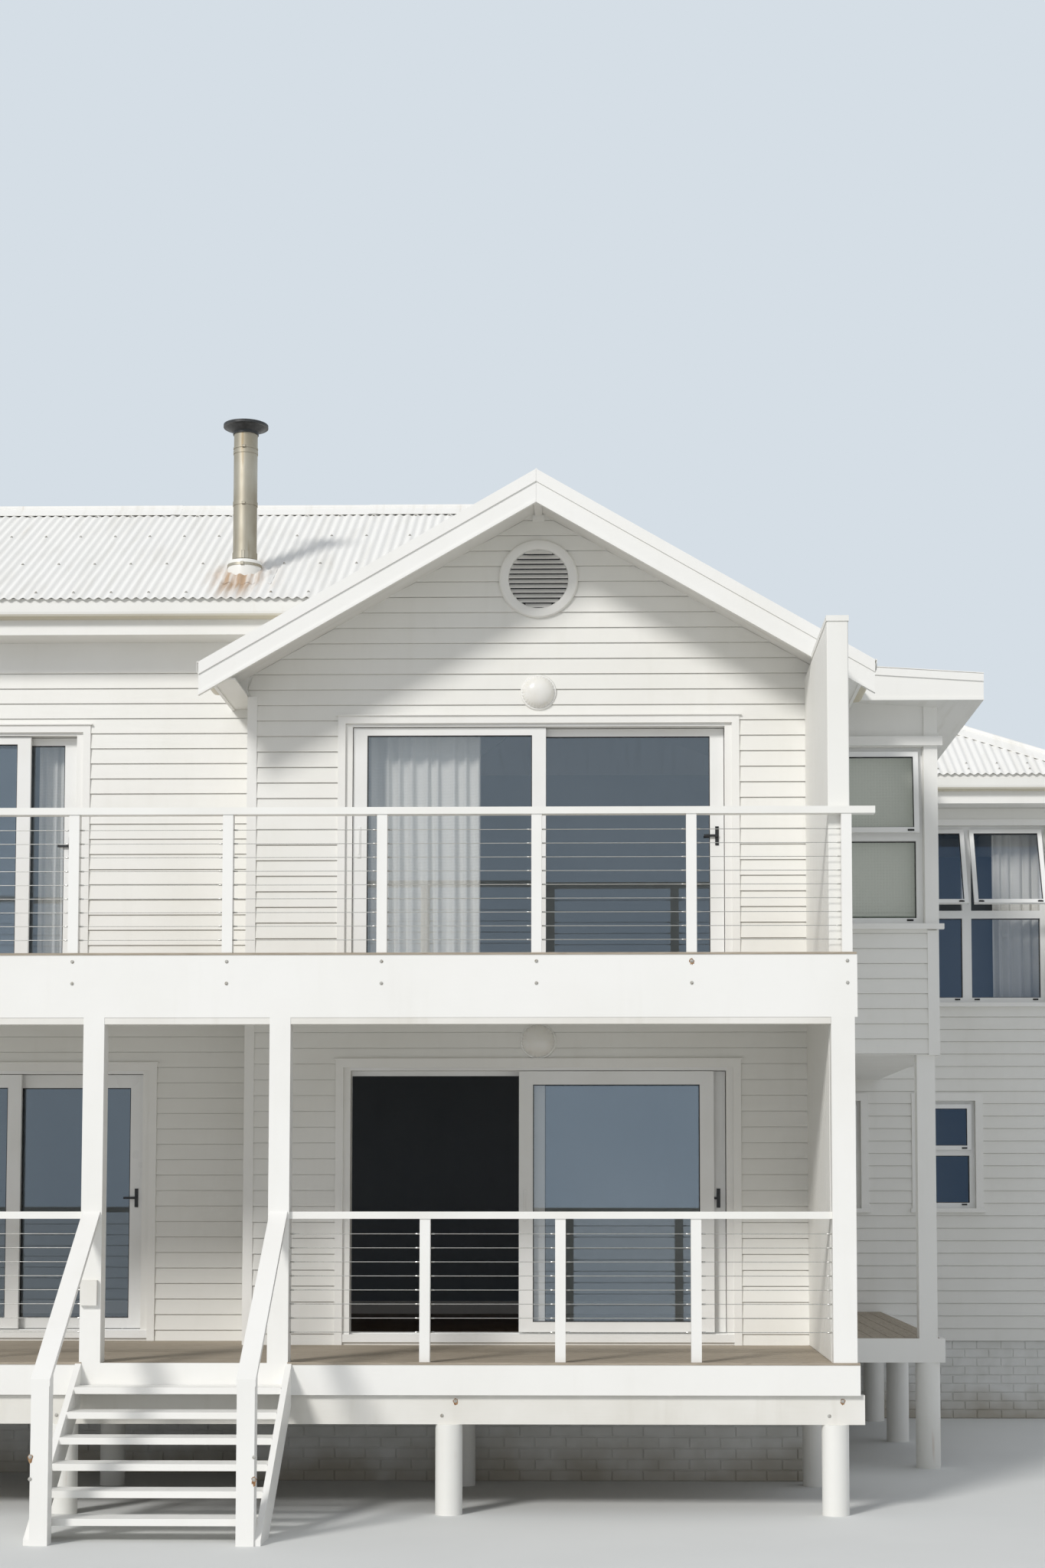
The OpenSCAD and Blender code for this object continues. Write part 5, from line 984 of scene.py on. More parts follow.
# %% Boards on all walls
VENT_Z, VENT_HOLE_R = 7107.0, 285.0
UNDER_DECK_Z, EAVE_Z, SCREEN_LEFT_X = DECK_Z - 28, 6167, 2115.0
GABLE_LEFT, LEFT_LEFT, WING_RIGHT = -HALF_W + POST_W, LEFT_X + POST_W, WING_X - POST_W
both_falls = under_left(-1), under_left(1)
walls = [lapped(*wall) for wall in (
    ("front", GABLE_Y, SKIRT_Z, UNDER_DECK_Z, GABLE_LEFT, HALF_W),
    ("front", GABLE_Y, DECK_Z, CEILING_Z, GABLE_LEFT, SCREEN_LEFT_X),
    ("front", GABLE_Y, BALCONY_Z, 7650, under_gable(-1, POST_W), under_gable(1),
     (0.0, VENT_Z, VENT_HOLE_R)),
    ("left", -HALF_W, SKIRT_Z, UNDER_DECK_Z, GABLE_Y, LEFT_Y),
    ("left", -HALF_W, DECK_Z, CEILING_Z, GABLE_Y + POST_W, LEFT_Y),
    ("left", -HALF_W, BALCONY_Z, EAVE_Z, GABLE_Y + POST_W, LEFT_Y),
    ("front", LEFT_Y, SKIRT_Z, UNDER_DECK_Z, LEFT_X, -HALF_W),
    ("front", LEFT_Y, DECK_Z, CEILING_Z, LEFT_LEFT, -HALF_W),
    ("front", LEFT_Y, BALCONY_Z, LEFT_SOFFIT_Z, LEFT_LEFT, beside_gable),
    ("left", LEFT_X, SKIRT_Z, 8280, *both_falls),
    ("back", LEFT_BACK_Y, SKIRT_Z, 6719, LEFT_LEFT, -HALF_W),
    ("left", -HALF_W, SKIRT_Z, SOFFIT_Z, LEFT_BACK_Y, WING_BACK_Y - POST_W),
    ("back", WING_BACK_Y, SKIRT_Z, SOFFIT_Z, GABLE_LEFT, WING_RIGHT),
    ("right", WING_X, SKIRT_Z, SOFFIT_Z, WING_Y + POST_W, WING_BACK_Y - POST_W),
    ("front", WING_Y, SKIRT_Z, BAY_UNDER_Z, HALF_W, WING_RIGHT),
    ("front", WING_Y, BAY_UNDER_Z, SOFFIT_Z, BAY_X, WING_RIGHT),
    ("right", HALF_W, SKIRT_Z, BAY_UNDER_Z, GABLE_Y, WING_Y),
    ("right", HALF_W, BAY_UNDER_Z, 6160, GABLE_Y, BAY_Y),
    ("front", BAY_Y, BAY_UNDER_Z, 4397, HALF_W, BAY_X - POST_W),
    ("right", BAY_X, BAY_UNDER_Z, 6215, BAY_Y + POST_W, WING_Y),
    ("right", 0.0, 7795, 8280, *both_falls))]
piece("lapped_boards", joined(*walls), board_paint)

# %% [markdown]
# ### Corner beads and the frieze
#
# Where two boarded walls meet in an inner corner, a square bead hides the ends of the
# boards. Outer corners have two flat boards. Under the left roof's soffit and round the
# bay's window the boards stop at plain frieze boards. Paint has rounded and filled their
# edges, so a box each is enough.

# %% Beads and frieze
BEAD, FLAT, GABLE_SIDE_Z, BAY_SIDE_Z = 28.0, 22.0, 6160, 6215
WINDOW_LOW, WINDOW_HIGH, WINDOW_RIGHT = 4437, 5915, 3157
inner = [((-HALF_W - BEAD, LEFT_Y - BEAD, DECK_Z), (-HALF_W, LEFT_Y, CEILING_Z)),
         ((-HALF_W - BEAD, LEFT_Y - BEAD, BALCONY_Z), (-HALF_W, LEFT_Y, EAVE_Z)),
         ((HALF_W, WING_Y - BEAD, SKIRT_Z), (HALF_W + BEAD, WING_Y, BAY_UNDER_Z)),
         ((HALF_W, BAY_Y - BEAD, BAY_UNDER_Z), (HALF_W + BEAD, BAY_Y, GABLE_SIDE_Z)),
         ((BAY_X, WING_Y - BEAD, BAY_UNDER_Z), (BAY_X + BEAD, WING_Y, BAY_SIDE_Z)),
         ((-HALF_W - BEAD, LEFT_BACK_Y, SKIRT_Z), (-HALF_W, LEFT_BACK_Y + BEAD, SOFFIT_Z))]
outer = []
for low, high in ((DECK_Z, CEILING_Z), (BALCONY_Z, LEFT_SOFFIT_Z)):
    outer += [((LEFT_X - FLAT, LEFT_Y - FLAT, low), (LEFT_LEFT, LEFT_Y, high)),
              ((LEFT_X - FLAT, LEFT_Y, low), (LEFT_X, LEFT_Y + POST_W, high))]
outer += [((2257, GABLE_Y - FLAT, DECK_Z), (HALF_W + FLAT, GABLE_Y, GABLE_SIDE_Z)),
          ((HALF_W, GABLE_Y, SKIRT_Z), (HALF_W + FLAT, GABLE_Y + POST_W, GABLE_SIDE_Z))]
frieze = [((LEFT_X - FLAT, LEFT_Y - 18, LEFT_SOFFIT_Z), (-HALF_W, LEFT_Y, 6719)),
          ((WINDOW_RIGHT, BAY_Y - FLAT, WINDOW_LOW), (BAY_X + 20, BAY_Y, WINDOW_HIGH)),
          ((WINDOW_RIGHT, BAY_Y - FLAT - 6, 5989), (BAY_X + 20, BAY_Y, 6400)),
          ((HALF_W, BAY_Y - 12, 5989), (WINDOW_RIGHT, BAY_Y, 6420)),
          ((BAY_X, BAY_Y - 14, BAY_UNDER_Z), (BAY_X + 18, BAY_Y + POST_W, BAY_SIDE_Z)),
          ((HALF_W, BAY_Y - 12, WINDOW_LOW), (2361, BAY_Y, WINDOW_HIGH))]
piece("corner_beads", boxes(*np.array(inner + outer + frieze).transpose(1, 0, 2)), post_paint)

# %% [markdown]
# ## Painted bricks
#
# The plinth is laid in stretcher bond: rows of bricks 230 by 76 mm with 10 mm joints, each
# row moved by half a brick. A brick texture would draw the joints without their depth.
# Here each brick is a block with a worn edge, standing a little proud of the wall behind
# it, which is the mortar, so low light finds every joint.

# %% Bricks
BRICK_ROWS, BRICK_PITCH, JOINT = 9, 240.0, 10


def brick_rows(face, plane, start, end):
    """Rows and columns of a half-shifted grid, cut off at both ends of the wall."""
    tall = SKIRT_Z / BRICK_ROWS
    row, column = np.meshgrid(np.arange(BRICK_ROWS),
                              np.arange(-1, (end - start) / BRICK_PITCH + 1), indexing="ij")
    left = start + (column + 0.5 * (row % 2)) * BRICK_PITCH
    low_u, high_u = np.maximum(left, start), np.minimum(left + BRICK_PITCH - JOINT, end)
    keep = high_u - low_u > 30
    proud = 7 + 3 * np.random.default_rng(int(abs(plane))).random(keep.sum())
    lows = np.stack([low_u[keep], np.zeros(keep.sum()), (row * tall)[keep] + JOINT / 2], -1)
    highs = np.stack([high_u[keep], proud, ((row + 1) * tall)[keep] - JOINT / 2], -1)
    return on_face(soft_boxes(lows, highs, 3.0), face, plane)


SET_BACK, INNER_X, CLEAR = 20, HALF_W - 20, 12
plinth = [brick_rows(*wall) for wall in (
    ("front", LEFT_Y + SET_BACK, LEFT_X + CLEAR, -INNER_X),
    ("front", GABLE_Y + SET_BACK, -HALF_W + CLEAR, HALF_W - CLEAR),
    ("back", LEFT_BACK_Y - SET_BACK, LEFT_X + CLEAR, -INNER_X),
    ("front", WING_Y + SET_BACK, INNER_X, WING_X - CLEAR),
    ("back", WING_BACK_Y - SET_BACK, -HALF_W + CLEAR, WING_X - CLEAR),
    ("left", LEFT_X + SET_BACK, LEFT_Y + CLEAR, LEFT_BACK_Y - CLEAR),
    ("left", -INNER_X, GABLE_Y + CLEAR, LEFT_Y + SET_BACK),
    ("left", -INNER_X, LEFT_BACK_Y - SET_BACK, WING_BACK_Y - CLEAR),
    ("right", INNER_X, GABLE_Y + CLEAR, WING_Y + SET_BACK),
    ("right", WING_X - SET_BACK, WING_Y + CLEAR, WING_BACK_Y - CLEAR))]
piece("plinth_bricks", joined(*plinth), brick_paint)

# %% [markdown]
# ## Corrugated roofs
#
# A roof sheet is one wave carried downhill, so a whole slope is a row of straight columns:
# each column's height follows the wave across the slope, and its two ends follow the
# ridge, hip, valley or eave. That needs only two rows of points, so the waves can be as
# smooth as the real ones, which are 76 mm wide and 17 mm deep.

# %% A slope of corrugated sheet
WAVE, DEPTH, PER_WAVE = 76.2, 17.0, 8


def wave_at(across):
    """Half the depth times one minus the cosine: zero in a valley, the depth on a crest."""
    return 6.0 + DEPTH / 2 * (1 - np.cos(across * 2 * np.pi / WAVE))


def slope(start, end, top_end, bottom_end, height, falls="y"):
    """Columns from start to end. top_end and bottom_end give where a column starts and
    stops, and height the roof's plane there. Each column is a ring of four points."""
    count = int(round((end - start) / WAVE * PER_WAVE)) + 1
    across = np.linspace(start, end, count)
    top, bottom = np.broadcast_arrays(top_end(across), bottom_end(across))
    rings = []
    for run, lift in ((top, 0), (bottom, 0), (bottom, -4), (top, -4)):
        z = height(run) + wave_at(across) + lift
        rings.append(np.stack([across, run, z] if falls == "y" else [run, across, z], -1))
    return swept(np.stack(rings, axis=1))


print("waves in 10 m of roof", round(10000 / WAVE))

# %% Planes of the roofs
GABLE_TOP_Z, LEFT_TOP_Z, WING_TOP_Z, HIP_Z = 7784.3, 8423.4, 7838.9, 6398.7
HIP_LEFT_X, HIP_RIGHT_X, HIP_FRONT_Y, HIP_BACK_Y = -2636, 5435, 6875, 12125
TOP_LEFT_X, TOP_RIGHT_X = -11, 2810


def two_sided(top, over, fall):
    """Falls both ways from a ridge: its height less the distance from it times the fall."""
    return lambda run: top - np.abs(run - over) * fall


def one_sided(foot, at, fall):
    """Rises one way from its foot: the foot's height plus the distance times the fall."""
    return lambda run: foot + (at - run) * fall


gable_z = two_sided(GABLE_TOP_Z, 0, GABLE_FALL)
left_z = two_sided(LEFT_TOP_Z, LEFT_RIDGE_Y, LEFT_FALL)
wing_z = two_sided(WING_TOP_Z, WING_RIDGE_Y, WING_FALL)
hip_right_z = one_sided(HIP_Z, HIP_RIGHT_X, WING_FALL)
hip_left_z = one_sided(HIP_Z, HIP_LEFT_X, -WING_FALL)
bay_z = one_sided(6428, 3595, BAY_FALL)
print("ridges at", GABLE_TOP_Z, LEFT_TOP_Z, WING_TOP_Z)

# %% Edges of the slopes


def edge(at, turn=0.0):
    """A straight edge seen from above: its place, plus turn times the place across."""
    return lambda across: at + turn * across


def left_valley(x):
    """Where the left roof's plane and the gable's meet, in front of the left ridge."""
    return LEFT_RIDGE_Y - (LEFT_TOP_Z - gable_z(x)) / LEFT_FALL


def wing_meets(height):
    """Where the wing's front plane and another roof's meet."""
    return lambda x: WING_RIDGE_Y - (WING_TOP_Z - height(x)) / WING_FALL


def gable_under(y):
    """How far down its slope the gable's sheet shows beside the higher roofs."""
    over = np.maximum(np.where(np.abs(y - LEFT_RIDGE_Y) < 2475, left_z(y), 0),
                      np.where(y > 6825, wing_z(y), 0))
    return np.minimum((GABLE_TOP_Z - over) / GABLE_FALL, 2490.0)


left_top, left_front, left_back = edge(LEFT_RIDGE_Y), edge(2125), edge(7175)
wing_top, wing_front, wing_back = edge(WING_RIDGE_Y), edge(6825), edge(12175)
hip_front, hip_back = edge(HIP_RIGHT_X + HIP_FRONT_Y, -1), edge(HIP_BACK_Y - HIP_RIGHT_X, 1)
wing_valley, bay_valley = wing_meets(gable_z), wing_meets(bay_z)
print("the left valley meets the eave at x", round(float(
    -(GABLE_TOP_Z - left_z(2125)) / GABLE_FALL)))

# %% Sheets that fall to the front and the back
front_falls = [slope(*sheet) for sheet in (
    (-6918, -2595, left_top, left_front, left_z),
    (-2595, -2325, left_top, left_front, left_z),
    (-2325, -1340, left_top, left_front, left_z),
    (-1340, 0, left_top, lambda x: np.maximum(left_valley(x), 2125), left_z),
    (-6918, -2490, left_top, left_back, left_z),
    (-2490, 0, left_top,
     lambda x: np.minimum(2 * LEFT_RIDGE_Y - left_valley(x), 7175), left_z),
    (HIP_LEFT_X, -2490, edge(9511, 1), wing_front, wing_z),
    (-2490, TOP_LEFT_X, edge(9511, 1), wing_valley, wing_z),
    (TOP_LEFT_X, 2197, wing_top, wing_valley, wing_z),
    (2197, TOP_RIGHT_X, wing_top, bay_valley, wing_z),
    (TOP_RIGHT_X, 3620, hip_front,
     lambda x: np.where(x < 3595, bay_valley(x), 6825.0), wing_z),
    (3620, HIP_RIGHT_X, hip_front, wing_front, wing_z),
    (HIP_LEFT_X, TOP_LEFT_X, edge(9489, -1), wing_back, wing_z),
    (TOP_LEFT_X, TOP_RIGHT_X, wing_top, wing_back, wing_z),
    (TOP_RIGHT_X, HIP_RIGHT_X, hip_back, wing_back, wing_z))]
piece("roof_sheets_front_and_back", joined(*front_falls), sheet_front_fall,
      smooth=50)

# %% Sheets that fall to the sides
ridge, bay_back = edge(0), 6928
side_falls = [slope(*sheet, "x") for sheet in (
    (1345, 2500, ridge, edge(-2530), gable_z),
    (2500, 3520, ridge, lambda y: -gable_under(y), gable_z),
    (5780, 6830, ridge, lambda y: -gable_under(y), gable_z),
    (6830, 9400, ridge, lambda y: -gable_under(y), gable_z),
    (1345, 2460, ridge, edge(2530), gable_z),
    (2460, 7088, ridge, edge(2190), gable_z),
    (7088, 9400, ridge, lambda y: (GABLE_TOP_Z - wing_z(y)) / GABLE_FALL, gable_z),
    (2462, bay_back, edge(2190), edge(3604), bay_z),
    (HIP_FRONT_Y, 9500, edge(12310, -1), edge(5485), hip_right_z),
    (9500, HIP_BACK_Y, edge(-6690, 1), edge(5485), hip_right_z),
    (HIP_FRONT_Y, 9500, edge(-9511, 1), edge(-2686), hip_left_z),
    (9500, HIP_BACK_Y, edge(9489, -1), edge(-2686), hip_left_z))]
piece("roof_sheets_sideways", joined(*side_falls), sheet_side_fall, smooth=50)

# %% [markdown]
# ### Caps on ridges and hips
#
# A cap is a strip of sheet with a half-round roll in its middle and two wings that lie on
# the crests. Under its edges the valleys stay open, which draws the dashed dark line that
# ridges of such roofs have. A curve with a bevel object could make it too. An outline
# carried from end to end is as short, and each length can lap the last by a hand, as real
# ones do. The new caps take the place of the frame's plain ones.

# %% Ridge caps


def cap_outline(fall, wing=150.0, roll=26.0):
    """Across the ridge: down one wing, round the roll, down the other wing, and back
    along the inner side 3 mm below."""
    turn = np.radians(np.linspace(205, -25, 9))
    over = np.stack([roll * np.cos(turn), 14 + roll * np.sin(turn)], -1)
    left = np.array([[-wing, -wing * fall - 6], [-wing, -wing * fall]])
    right = left[::-1] * [-1, 1]
    under = np.array([[wing - 4, -wing * fall - 6], [wing - 4, -wing * fall - 3.5],
                      [0, -4], [4 - wing, -wing * fall - 3.5], [4 - wing, -wing * fall - 6]])
    return np.concatenate([left, over, right, under])[::-1]


def cap(start, end, fall, lift=30.0, roll=26.0, lap=1800.0):
    """Lengths of cap laid from one end to the other, each lapping the last by a hand and
    every second one a little higher."""
    start, end = np.array(start, float), np.array(end, float)
    length = np.linalg.norm(end - start)
    ahead = (end - start) / length
    cuts = np.append(np.arange(0, length - 300, lap), length)
    made = []
    for i, (a, b) in enumerate(zip(np.maximum(cuts[:-1] - 90, 0), cuts[1:])):
        path = start + ahead * [[a], [b]] + [0, 0, lift + 2.5 * (i % 2)]
        made.append(carried(cap_outline(fall, roll=roll), path))
    return joined(*made)


wing_tops = [(x, WING_RIDGE_Y, WING_TOP_Z) for x in (TOP_LEFT_X, TOP_RIGHT_X)]
hip_fall = WING_FALL / math.sqrt(2)
ridge_line = [cap((-6924, LEFT_RIDGE_Y, LEFT_TOP_Z), (0, LEFT_RIDGE_Y, LEFT_TOP_Z), LEFT_FALL),
              cap((0, 1346, GABLE_TOP_Z), (0, 3500, GABLE_TOP_Z), GABLE_FALL, 5.0, 7.0),
              cap((0, 5800, GABLE_TOP_Z), (0, 9380, GABLE_TOP_Z), GABLE_FALL),
              cap(*wing_tops, WING_FALL)]
ridge_line += [cap((x, y, HIP_Z), top, hip_fall)
               for x, top in ((HIP_RIGHT_X, wing_tops[1]), (HIP_LEFT_X, wing_tops[0]))
               for y in (HIP_FRONT_Y, HIP_BACK_Y)]
piece("ridge_and_hip_caps", joined(*ridge_line), sheet_front_fall, smooth=40,
      replaces=("ridge_caps",))

# %% [markdown]
# ### Closures and screws
#
# Under each cap a strip of black bitumen foam fills the waves. Its black is also painted
# shade: it stands for the shade in the open valleys under the cap, so they look dark. The
# gable's short front ridge has a low cap that lies on the crests. The sheets are screwed
# through every fourth crest, in rows over the battens. A screw is a six-sided head on a domed
# washer. There are hundreds, so it is a turned shape of a few faces, and one mesh holds them
# all.

# %% Foam closures


def closure(start, end, side, fall):
    """A strip beside a ridge, 90 to 120 mm down its slope and 21 mm high: each bottom
    corner is a ridge point plus its distance times the side direction, lowered by the
    fall times that distance."""
    ends = np.array([start, end, end, start], float)
    down = np.array([90, 90, 120, 120])[:, None]
    corners = ends + np.asarray(side, float) * down + [0, 0, 3] - [0, 0, fall] * down
    return outward(six_sided(corners[None], corners[None] + [0, 0, 21]))


DIAGONAL, HIP_INSET = 1 / math.sqrt(2), 35
ridge_runs = [((-6900, LEFT_RIDGE_Y, LEFT_TOP_Z), (0, LEFT_RIDGE_Y, LEFT_TOP_Z), (0, 1, 0),
               LEFT_FALL),
              ((0, 5850, GABLE_TOP_Z), (0, 9360, GABLE_TOP_Z), (1, 0, 0), GABLE_FALL),
              ((0, WING_RIDGE_Y, WING_TOP_Z), wing_tops[1], (0, 1, 0), WING_FALL)]
for x, y, into_x, into_y, top, side in (
        (HIP_RIGHT_X, HIP_FRONT_Y, -1, 1, wing_tops[1], (1, 1, 0)),
        (HIP_RIGHT_X, HIP_BACK_Y, -1, -1, wing_tops[1], (1, -1, 0)),
        (HIP_LEFT_X, HIP_FRONT_Y, 1, 1, wing_tops[0], (-1, 1, 0)),
        (HIP_LEFT_X, HIP_BACK_Y, 1, -1, wing_tops[0], (1, 1, 0))):
    foot = (x + into_x * HIP_INSET, y + into_y * HIP_INSET, HIP_Z + HIP_INSET * WING_FALL)
    ridge_runs.append((foot, top, np.array(side) * DIAGONAL, hip_fall))
# The black strips are foam closures and also painted shade of the open valleys under the caps.
closures = [closure(start, end, np.array(side) * way, fall)
            for start, end, side, fall in ridge_runs for way in (1, -1)]
piece("foam_closures_as_painted_shade", joined(*closures), black_rubber_and_shade)

# %% Screws
screw = turned([(13, 0), (13, 2), (7, 5), (7, 11)], 6)


def screw_rows(start, end, runs, height, falls="y"):
    """Every fourth crest across, on each batten's run, at the crest's height."""
    crest = (np.arange(np.ceil(start / WAVE - 0.5), np.floor(end / WAVE - 0.5)) + 0.5) * WAVE
    crest, run = (a.ravel() for a in np.meshgrid(crest[1::4], np.asarray(runs, float)))
    z = height(run) + DEPTH + 5.0
    return np.stack([crest, run, z] if falls == "y" else [run, crest, z], -1)


front_battens, both_battens = [2240, 3015, 3830, 4460], np.array([2440, 1700, 900, 180])
spots = [screw_rows(*row) for row in (
    (-6900, -2600, front_battens, left_z),
    (-2300, -1400, front_battens, left_z),
    (-1300, -400, front_battens[2:], left_z),
    (-6900, -2600, [4840, 5700, 6400, 7080], left_z),
    (1360, 2440, [*-both_battens, *both_battens[::-1]], gable_z, "x"),
    (2500, 6900, [180, 900, 1700], gable_z, "x"),
    (3700, 5300, [6930, 7080], wing_z),
    (100, 2800, [11980, 11200, 10400, 9690], wing_z),
    (7400, 11700, [5380, 5000], hip_right_z, "x"),
    (7400, 11700, [-2580, -2200], hip_left_z, "x"),
    (2500, 6900, [2300, 2900, 3560], bay_z, "x"))]
piece("roof_screws", repeated(screw, np.concatenate(spots)), bolt_steel)

# %% [markdown]
# ### Flue boot
#
# Where the flue comes through the sheets, a soft flashing is pressed down into the waves
# and a boot of painted sheet is strapped round the pipe. A flat sheet shrink-wrapped to
# the roof would come close. The wave's formula is known, though, so the flashing is a
# square skirt that follows it 5 mm above, and it swells up to the boot.

# %% Flashing
FLUE_X, FLUE_Y, FLUE_R = -2460.0, 2730.0, 98.0
boot_z = float(left_z(FLUE_Y))


def grid_faces(rows, columns):
    """Each face joins a point of the grid to its right, lower right and lower neighbour."""
    i, j = np.meshgrid(np.arange(rows - 1), np.arange(columns - 1), indexing="ij")
    a = (i * columns + j).ravel()
    return np.stack([a, a + 1, a + columns + 1, a + columns], -1)


def flashing_skirt(half_x, up, down, rise, thick=4):
    """A grid over the sheets and a second one below it, joined round their rims. Its
    height is the roof's plane plus the wave, with a ripple of two crossed sines, and it
    swells towards the pipe as one minus the squared distance does."""
    gx, gy = np.meshgrid(np.linspace(-half_x, half_x, 65) + FLUE_X,
                         np.linspace(-down, up, 24) + FLUE_Y)
    far = np.hypot(gx - FLUE_X, gy - FLUE_Y) / 225
    swell = rise * np.clip(1 - far ** 2, 0, 1) ** 0.7
    ripple = 3.0 * np.sin(gx / 31.0) * np.sin(gy / 27.0)
    z = left_z(gy) + wave_at(gx) * (1 - 0.5 * np.clip(1 - far, 0, 1)) + 5 + swell + ripple
    top = np.stack([gx, gy, z], -1)
    rows, columns = gx.shape
    n = rows * columns
    over = grid_faces(rows, columns)
    rim = np.concatenate([np.arange(columns), np.arange(1, rows) * columns + columns - 1,
                          n - 2 - np.arange(columns - 1),
                          np.arange(rows - 2, 0, -1) * columns])
    after = np.roll(rim, -1)
    sides = np.stack([rim, rim + n, after + n, after], -1)
    return outward(quads(np.concatenate([top, top - [0, 0, thick]]),
                         np.concatenate([over, over[:, ::-1] + n, sides])))


piece("flue_flashing", flashing_skirt(250, 210, 235, 60), sheet_front_fall,
      smooth=60)

# %% Boot and straps
BOOT_R = 141
boot = turned([(BOOT_R, boot_z - 75), (BOOT_R, boot_z + 40), (138, boot_z + 108),
               (132, boot_z + 118), (101, boot_z + 124)], 40, (FLUE_X, FLUE_Y, 0))
piece("flue_boot", boot, gutter_enamel, smooth=40)


def strap(z, radius, tall=14.0, thick=4.0):
    """A hoop: an upright rectangle turned round the pipe, with a clamp box in front."""
    band = hoop([(radius, z), (radius + thick, z), (radius + thick, z + tall),
                 (radius, z + tall)], 40)
    clamp = on_face(soft_boxes([-14, 0, z - 3], [14, 12, z + tall + 3], 3), "front", -radius)
    return moved(joined(band, clamp), shift=(FLUE_X, FLUE_Y, 0))


straps = [strap(boot_z + 66, BOOT_R, 22, 2.5), strap(boot_z + 132, FLUE_R, 60, 5),
          strap(7920, FLUE_R), strap(8400, FLUE_R)]
piece("flue_straps", joined(*straps), flue_steel, smooth=40)

# %% [markdown]
# ## Curtains and a blind
#
# The curtains are unlined linen on a rail, pushed to one side, so their folds are deep
# and uneven. A fold is a sine along the width whose depth grows downwards from the
# gathered heading, and whose place drifts a little on the way down. Cloth simulation
# would give the same hanging folds more slowly, so the formula draws them. The size of
# the flat cloth is measured from the finished surface.

# %% Cloth with its own map


def cloth_piece(name, grid, flat_width, drop, thickness=1.6, replaces=()):
    """A grid of points (rows, columns, 3) as one sheet with a map in metres of the flat
    cloth, thickened by a Solidify modifier."""
    rows, columns = grid.shape[:2]
    faces = grid_faces(rows, columns)
    made = piece(name, quads(grid, faces), linen_cloth, smooth=80,
                 replaces=replaces)
    place = made.data.uv_layers.new(name="cloth")
    v, u = np.divmod(faces.ravel(), columns)
    flat = np.stack([u / (columns - 1) * flat_width, v / (rows - 1) * drop], -1)
    place.data.foreach_set("uv", flat.astype(np.float32).ravel())
    solid = made.modifiers.new("thickness", "SOLIDIFY")
    solid.thickness, solid.offset = thickness / 1000.0, 0.0
    return made


curtains_low, curtains_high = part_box("curtains")
print("the frame's curtains hang from", round(curtains_high.z, 3), "to",
      round(curtains_low.z, 3), "m")

# %% Curtains


def curtain(name, x0, x1, y, z0, z1, folds, seed, replaces=()):
    """Across: x runs evenly. Depth: a sine of the fold's phase plus a fifth of its second
    wave. The phase drifts with height, and the depth grows from 14 to 33 mm."""
    rng = np.random.default_rng(seed)
    u, v = np.meshgrid(np.linspace(0, 1, folds * 14 + 1), np.linspace(0, 1, 41))
    bends = rng.normal(0, 1, (3, 1, 1))
    knots = np.interp(u, np.linspace(0, 1, folds + 1),
                      np.arange(folds + 1) + np.pad(rng.uniform(-0.28, 0.28, folds - 1), 1))
    phase = 2 * np.pi * knots + 0.5 * bends[0] * np.sin(1.6 * v + bends[1]) * v
    tall = 14 + 19 * v ** 0.6
    deep = tall * (np.sin(phase) + 0.22 * np.sin(2 * phase + 2.2 * v + bends[2])) / 1.15
    x = x0 + (x1 - x0) * u + 9 * v * np.cos(phase) * np.sin(np.pi * u)
    grid = np.stack([x, y + deep, z1 - (z1 - z0) * v], -1)
    along = np.linalg.norm(np.diff(grid, axis=1), axis=-1).sum(axis=1).mean() / 1000.0
    return cloth_piece(name, grid, float(along), (z1 - z0) / 1000.0,
                       replaces=replaces)


HEM_Z = 3958
curtain("centre_curtain", -1430, -470, GABLE_Y + 250, HEM_Z, 5966, 9, 3, ("curtains",))
curtain("left_curtain", -4145, -3855, LEFT_Y + 250, HEM_Z, 5996, 4, 5)
curtain("wing_curtain", 4455, 4935, WING_Y + 250, HEM_Z, 5959, 5, 8)

# %% The bay's blind
u, v = np.meshgrid(np.linspace(0, 1, 33), np.linspace(0, 1, 41))
BLIND_X, BLIND_W, BLIND_TOP_Z, BLIND_DROP = 2400, 720, 5870, 1340
blind_grid = np.stack([BLIND_X + BLIND_W * u, 2992 + 3 * np.sin(7 * v + 2 * u) * v,
                       BLIND_TOP_Z - BLIND_DROP * v], -1)
ALONG_X = [[0, 0, 1], [0, 1, 0], [-1, 0, 0]]
blind_tube = moved(turned([(14, 0), (19, 1), (19, 739), (14, 740)], 20), ALONG_X,
                   (2390, 2996, 5880))
tube = piece("blind_tube", blind_tube, rail_enamel, smooth=40)
cloth_piece("bay_blind", blind_grid, BLIND_W / 1000, BLIND_DROP / 1000, 0.8)
piece("blind_bar", soft_boxes([2402, 2988, 4518], [3118, 2998, 4540], 2), rail_enamel)

# %% [markdown]
# ## Seals and latches
#
# Every pane sits in a black rubber seal, which draws the thin dark line round the glass.
# Four strips would show butt joints. Here a seal is one small outline carried round the
# pane's four corners, so that it is mitred and closed. Each light that opens has a small
# black latch at its foot.

# %% A seal and a latch
FRAME, MULLION, TRANSOM, SASH, LAP_IN = 55.0, 92.0, 78.0, 42.0, 20.0


def pane_ring(u0, u1, z0, z1, width, back, front):
    """A rectangle, width by front minus back, carried round a pane's edge. Its inner side
    lies width further in along both axes, which mitres each corner."""
    corner = np.array([[u0, z0], [u1, z0], [u1, z1], [u0, z1]], float)[:, None]
    inwards = np.array([[1, 1], [-1, 1], [-1, -1], [1, -1]])[:, None]
    flat = corner + inwards * width * np.array([0, 0, 1, 1])[:, None]
    out = np.broadcast_to([back, front, front, back], (4, 4))
    return swept(np.stack([flat[..., 0], out, flat[..., 1]], -1), loop=True)


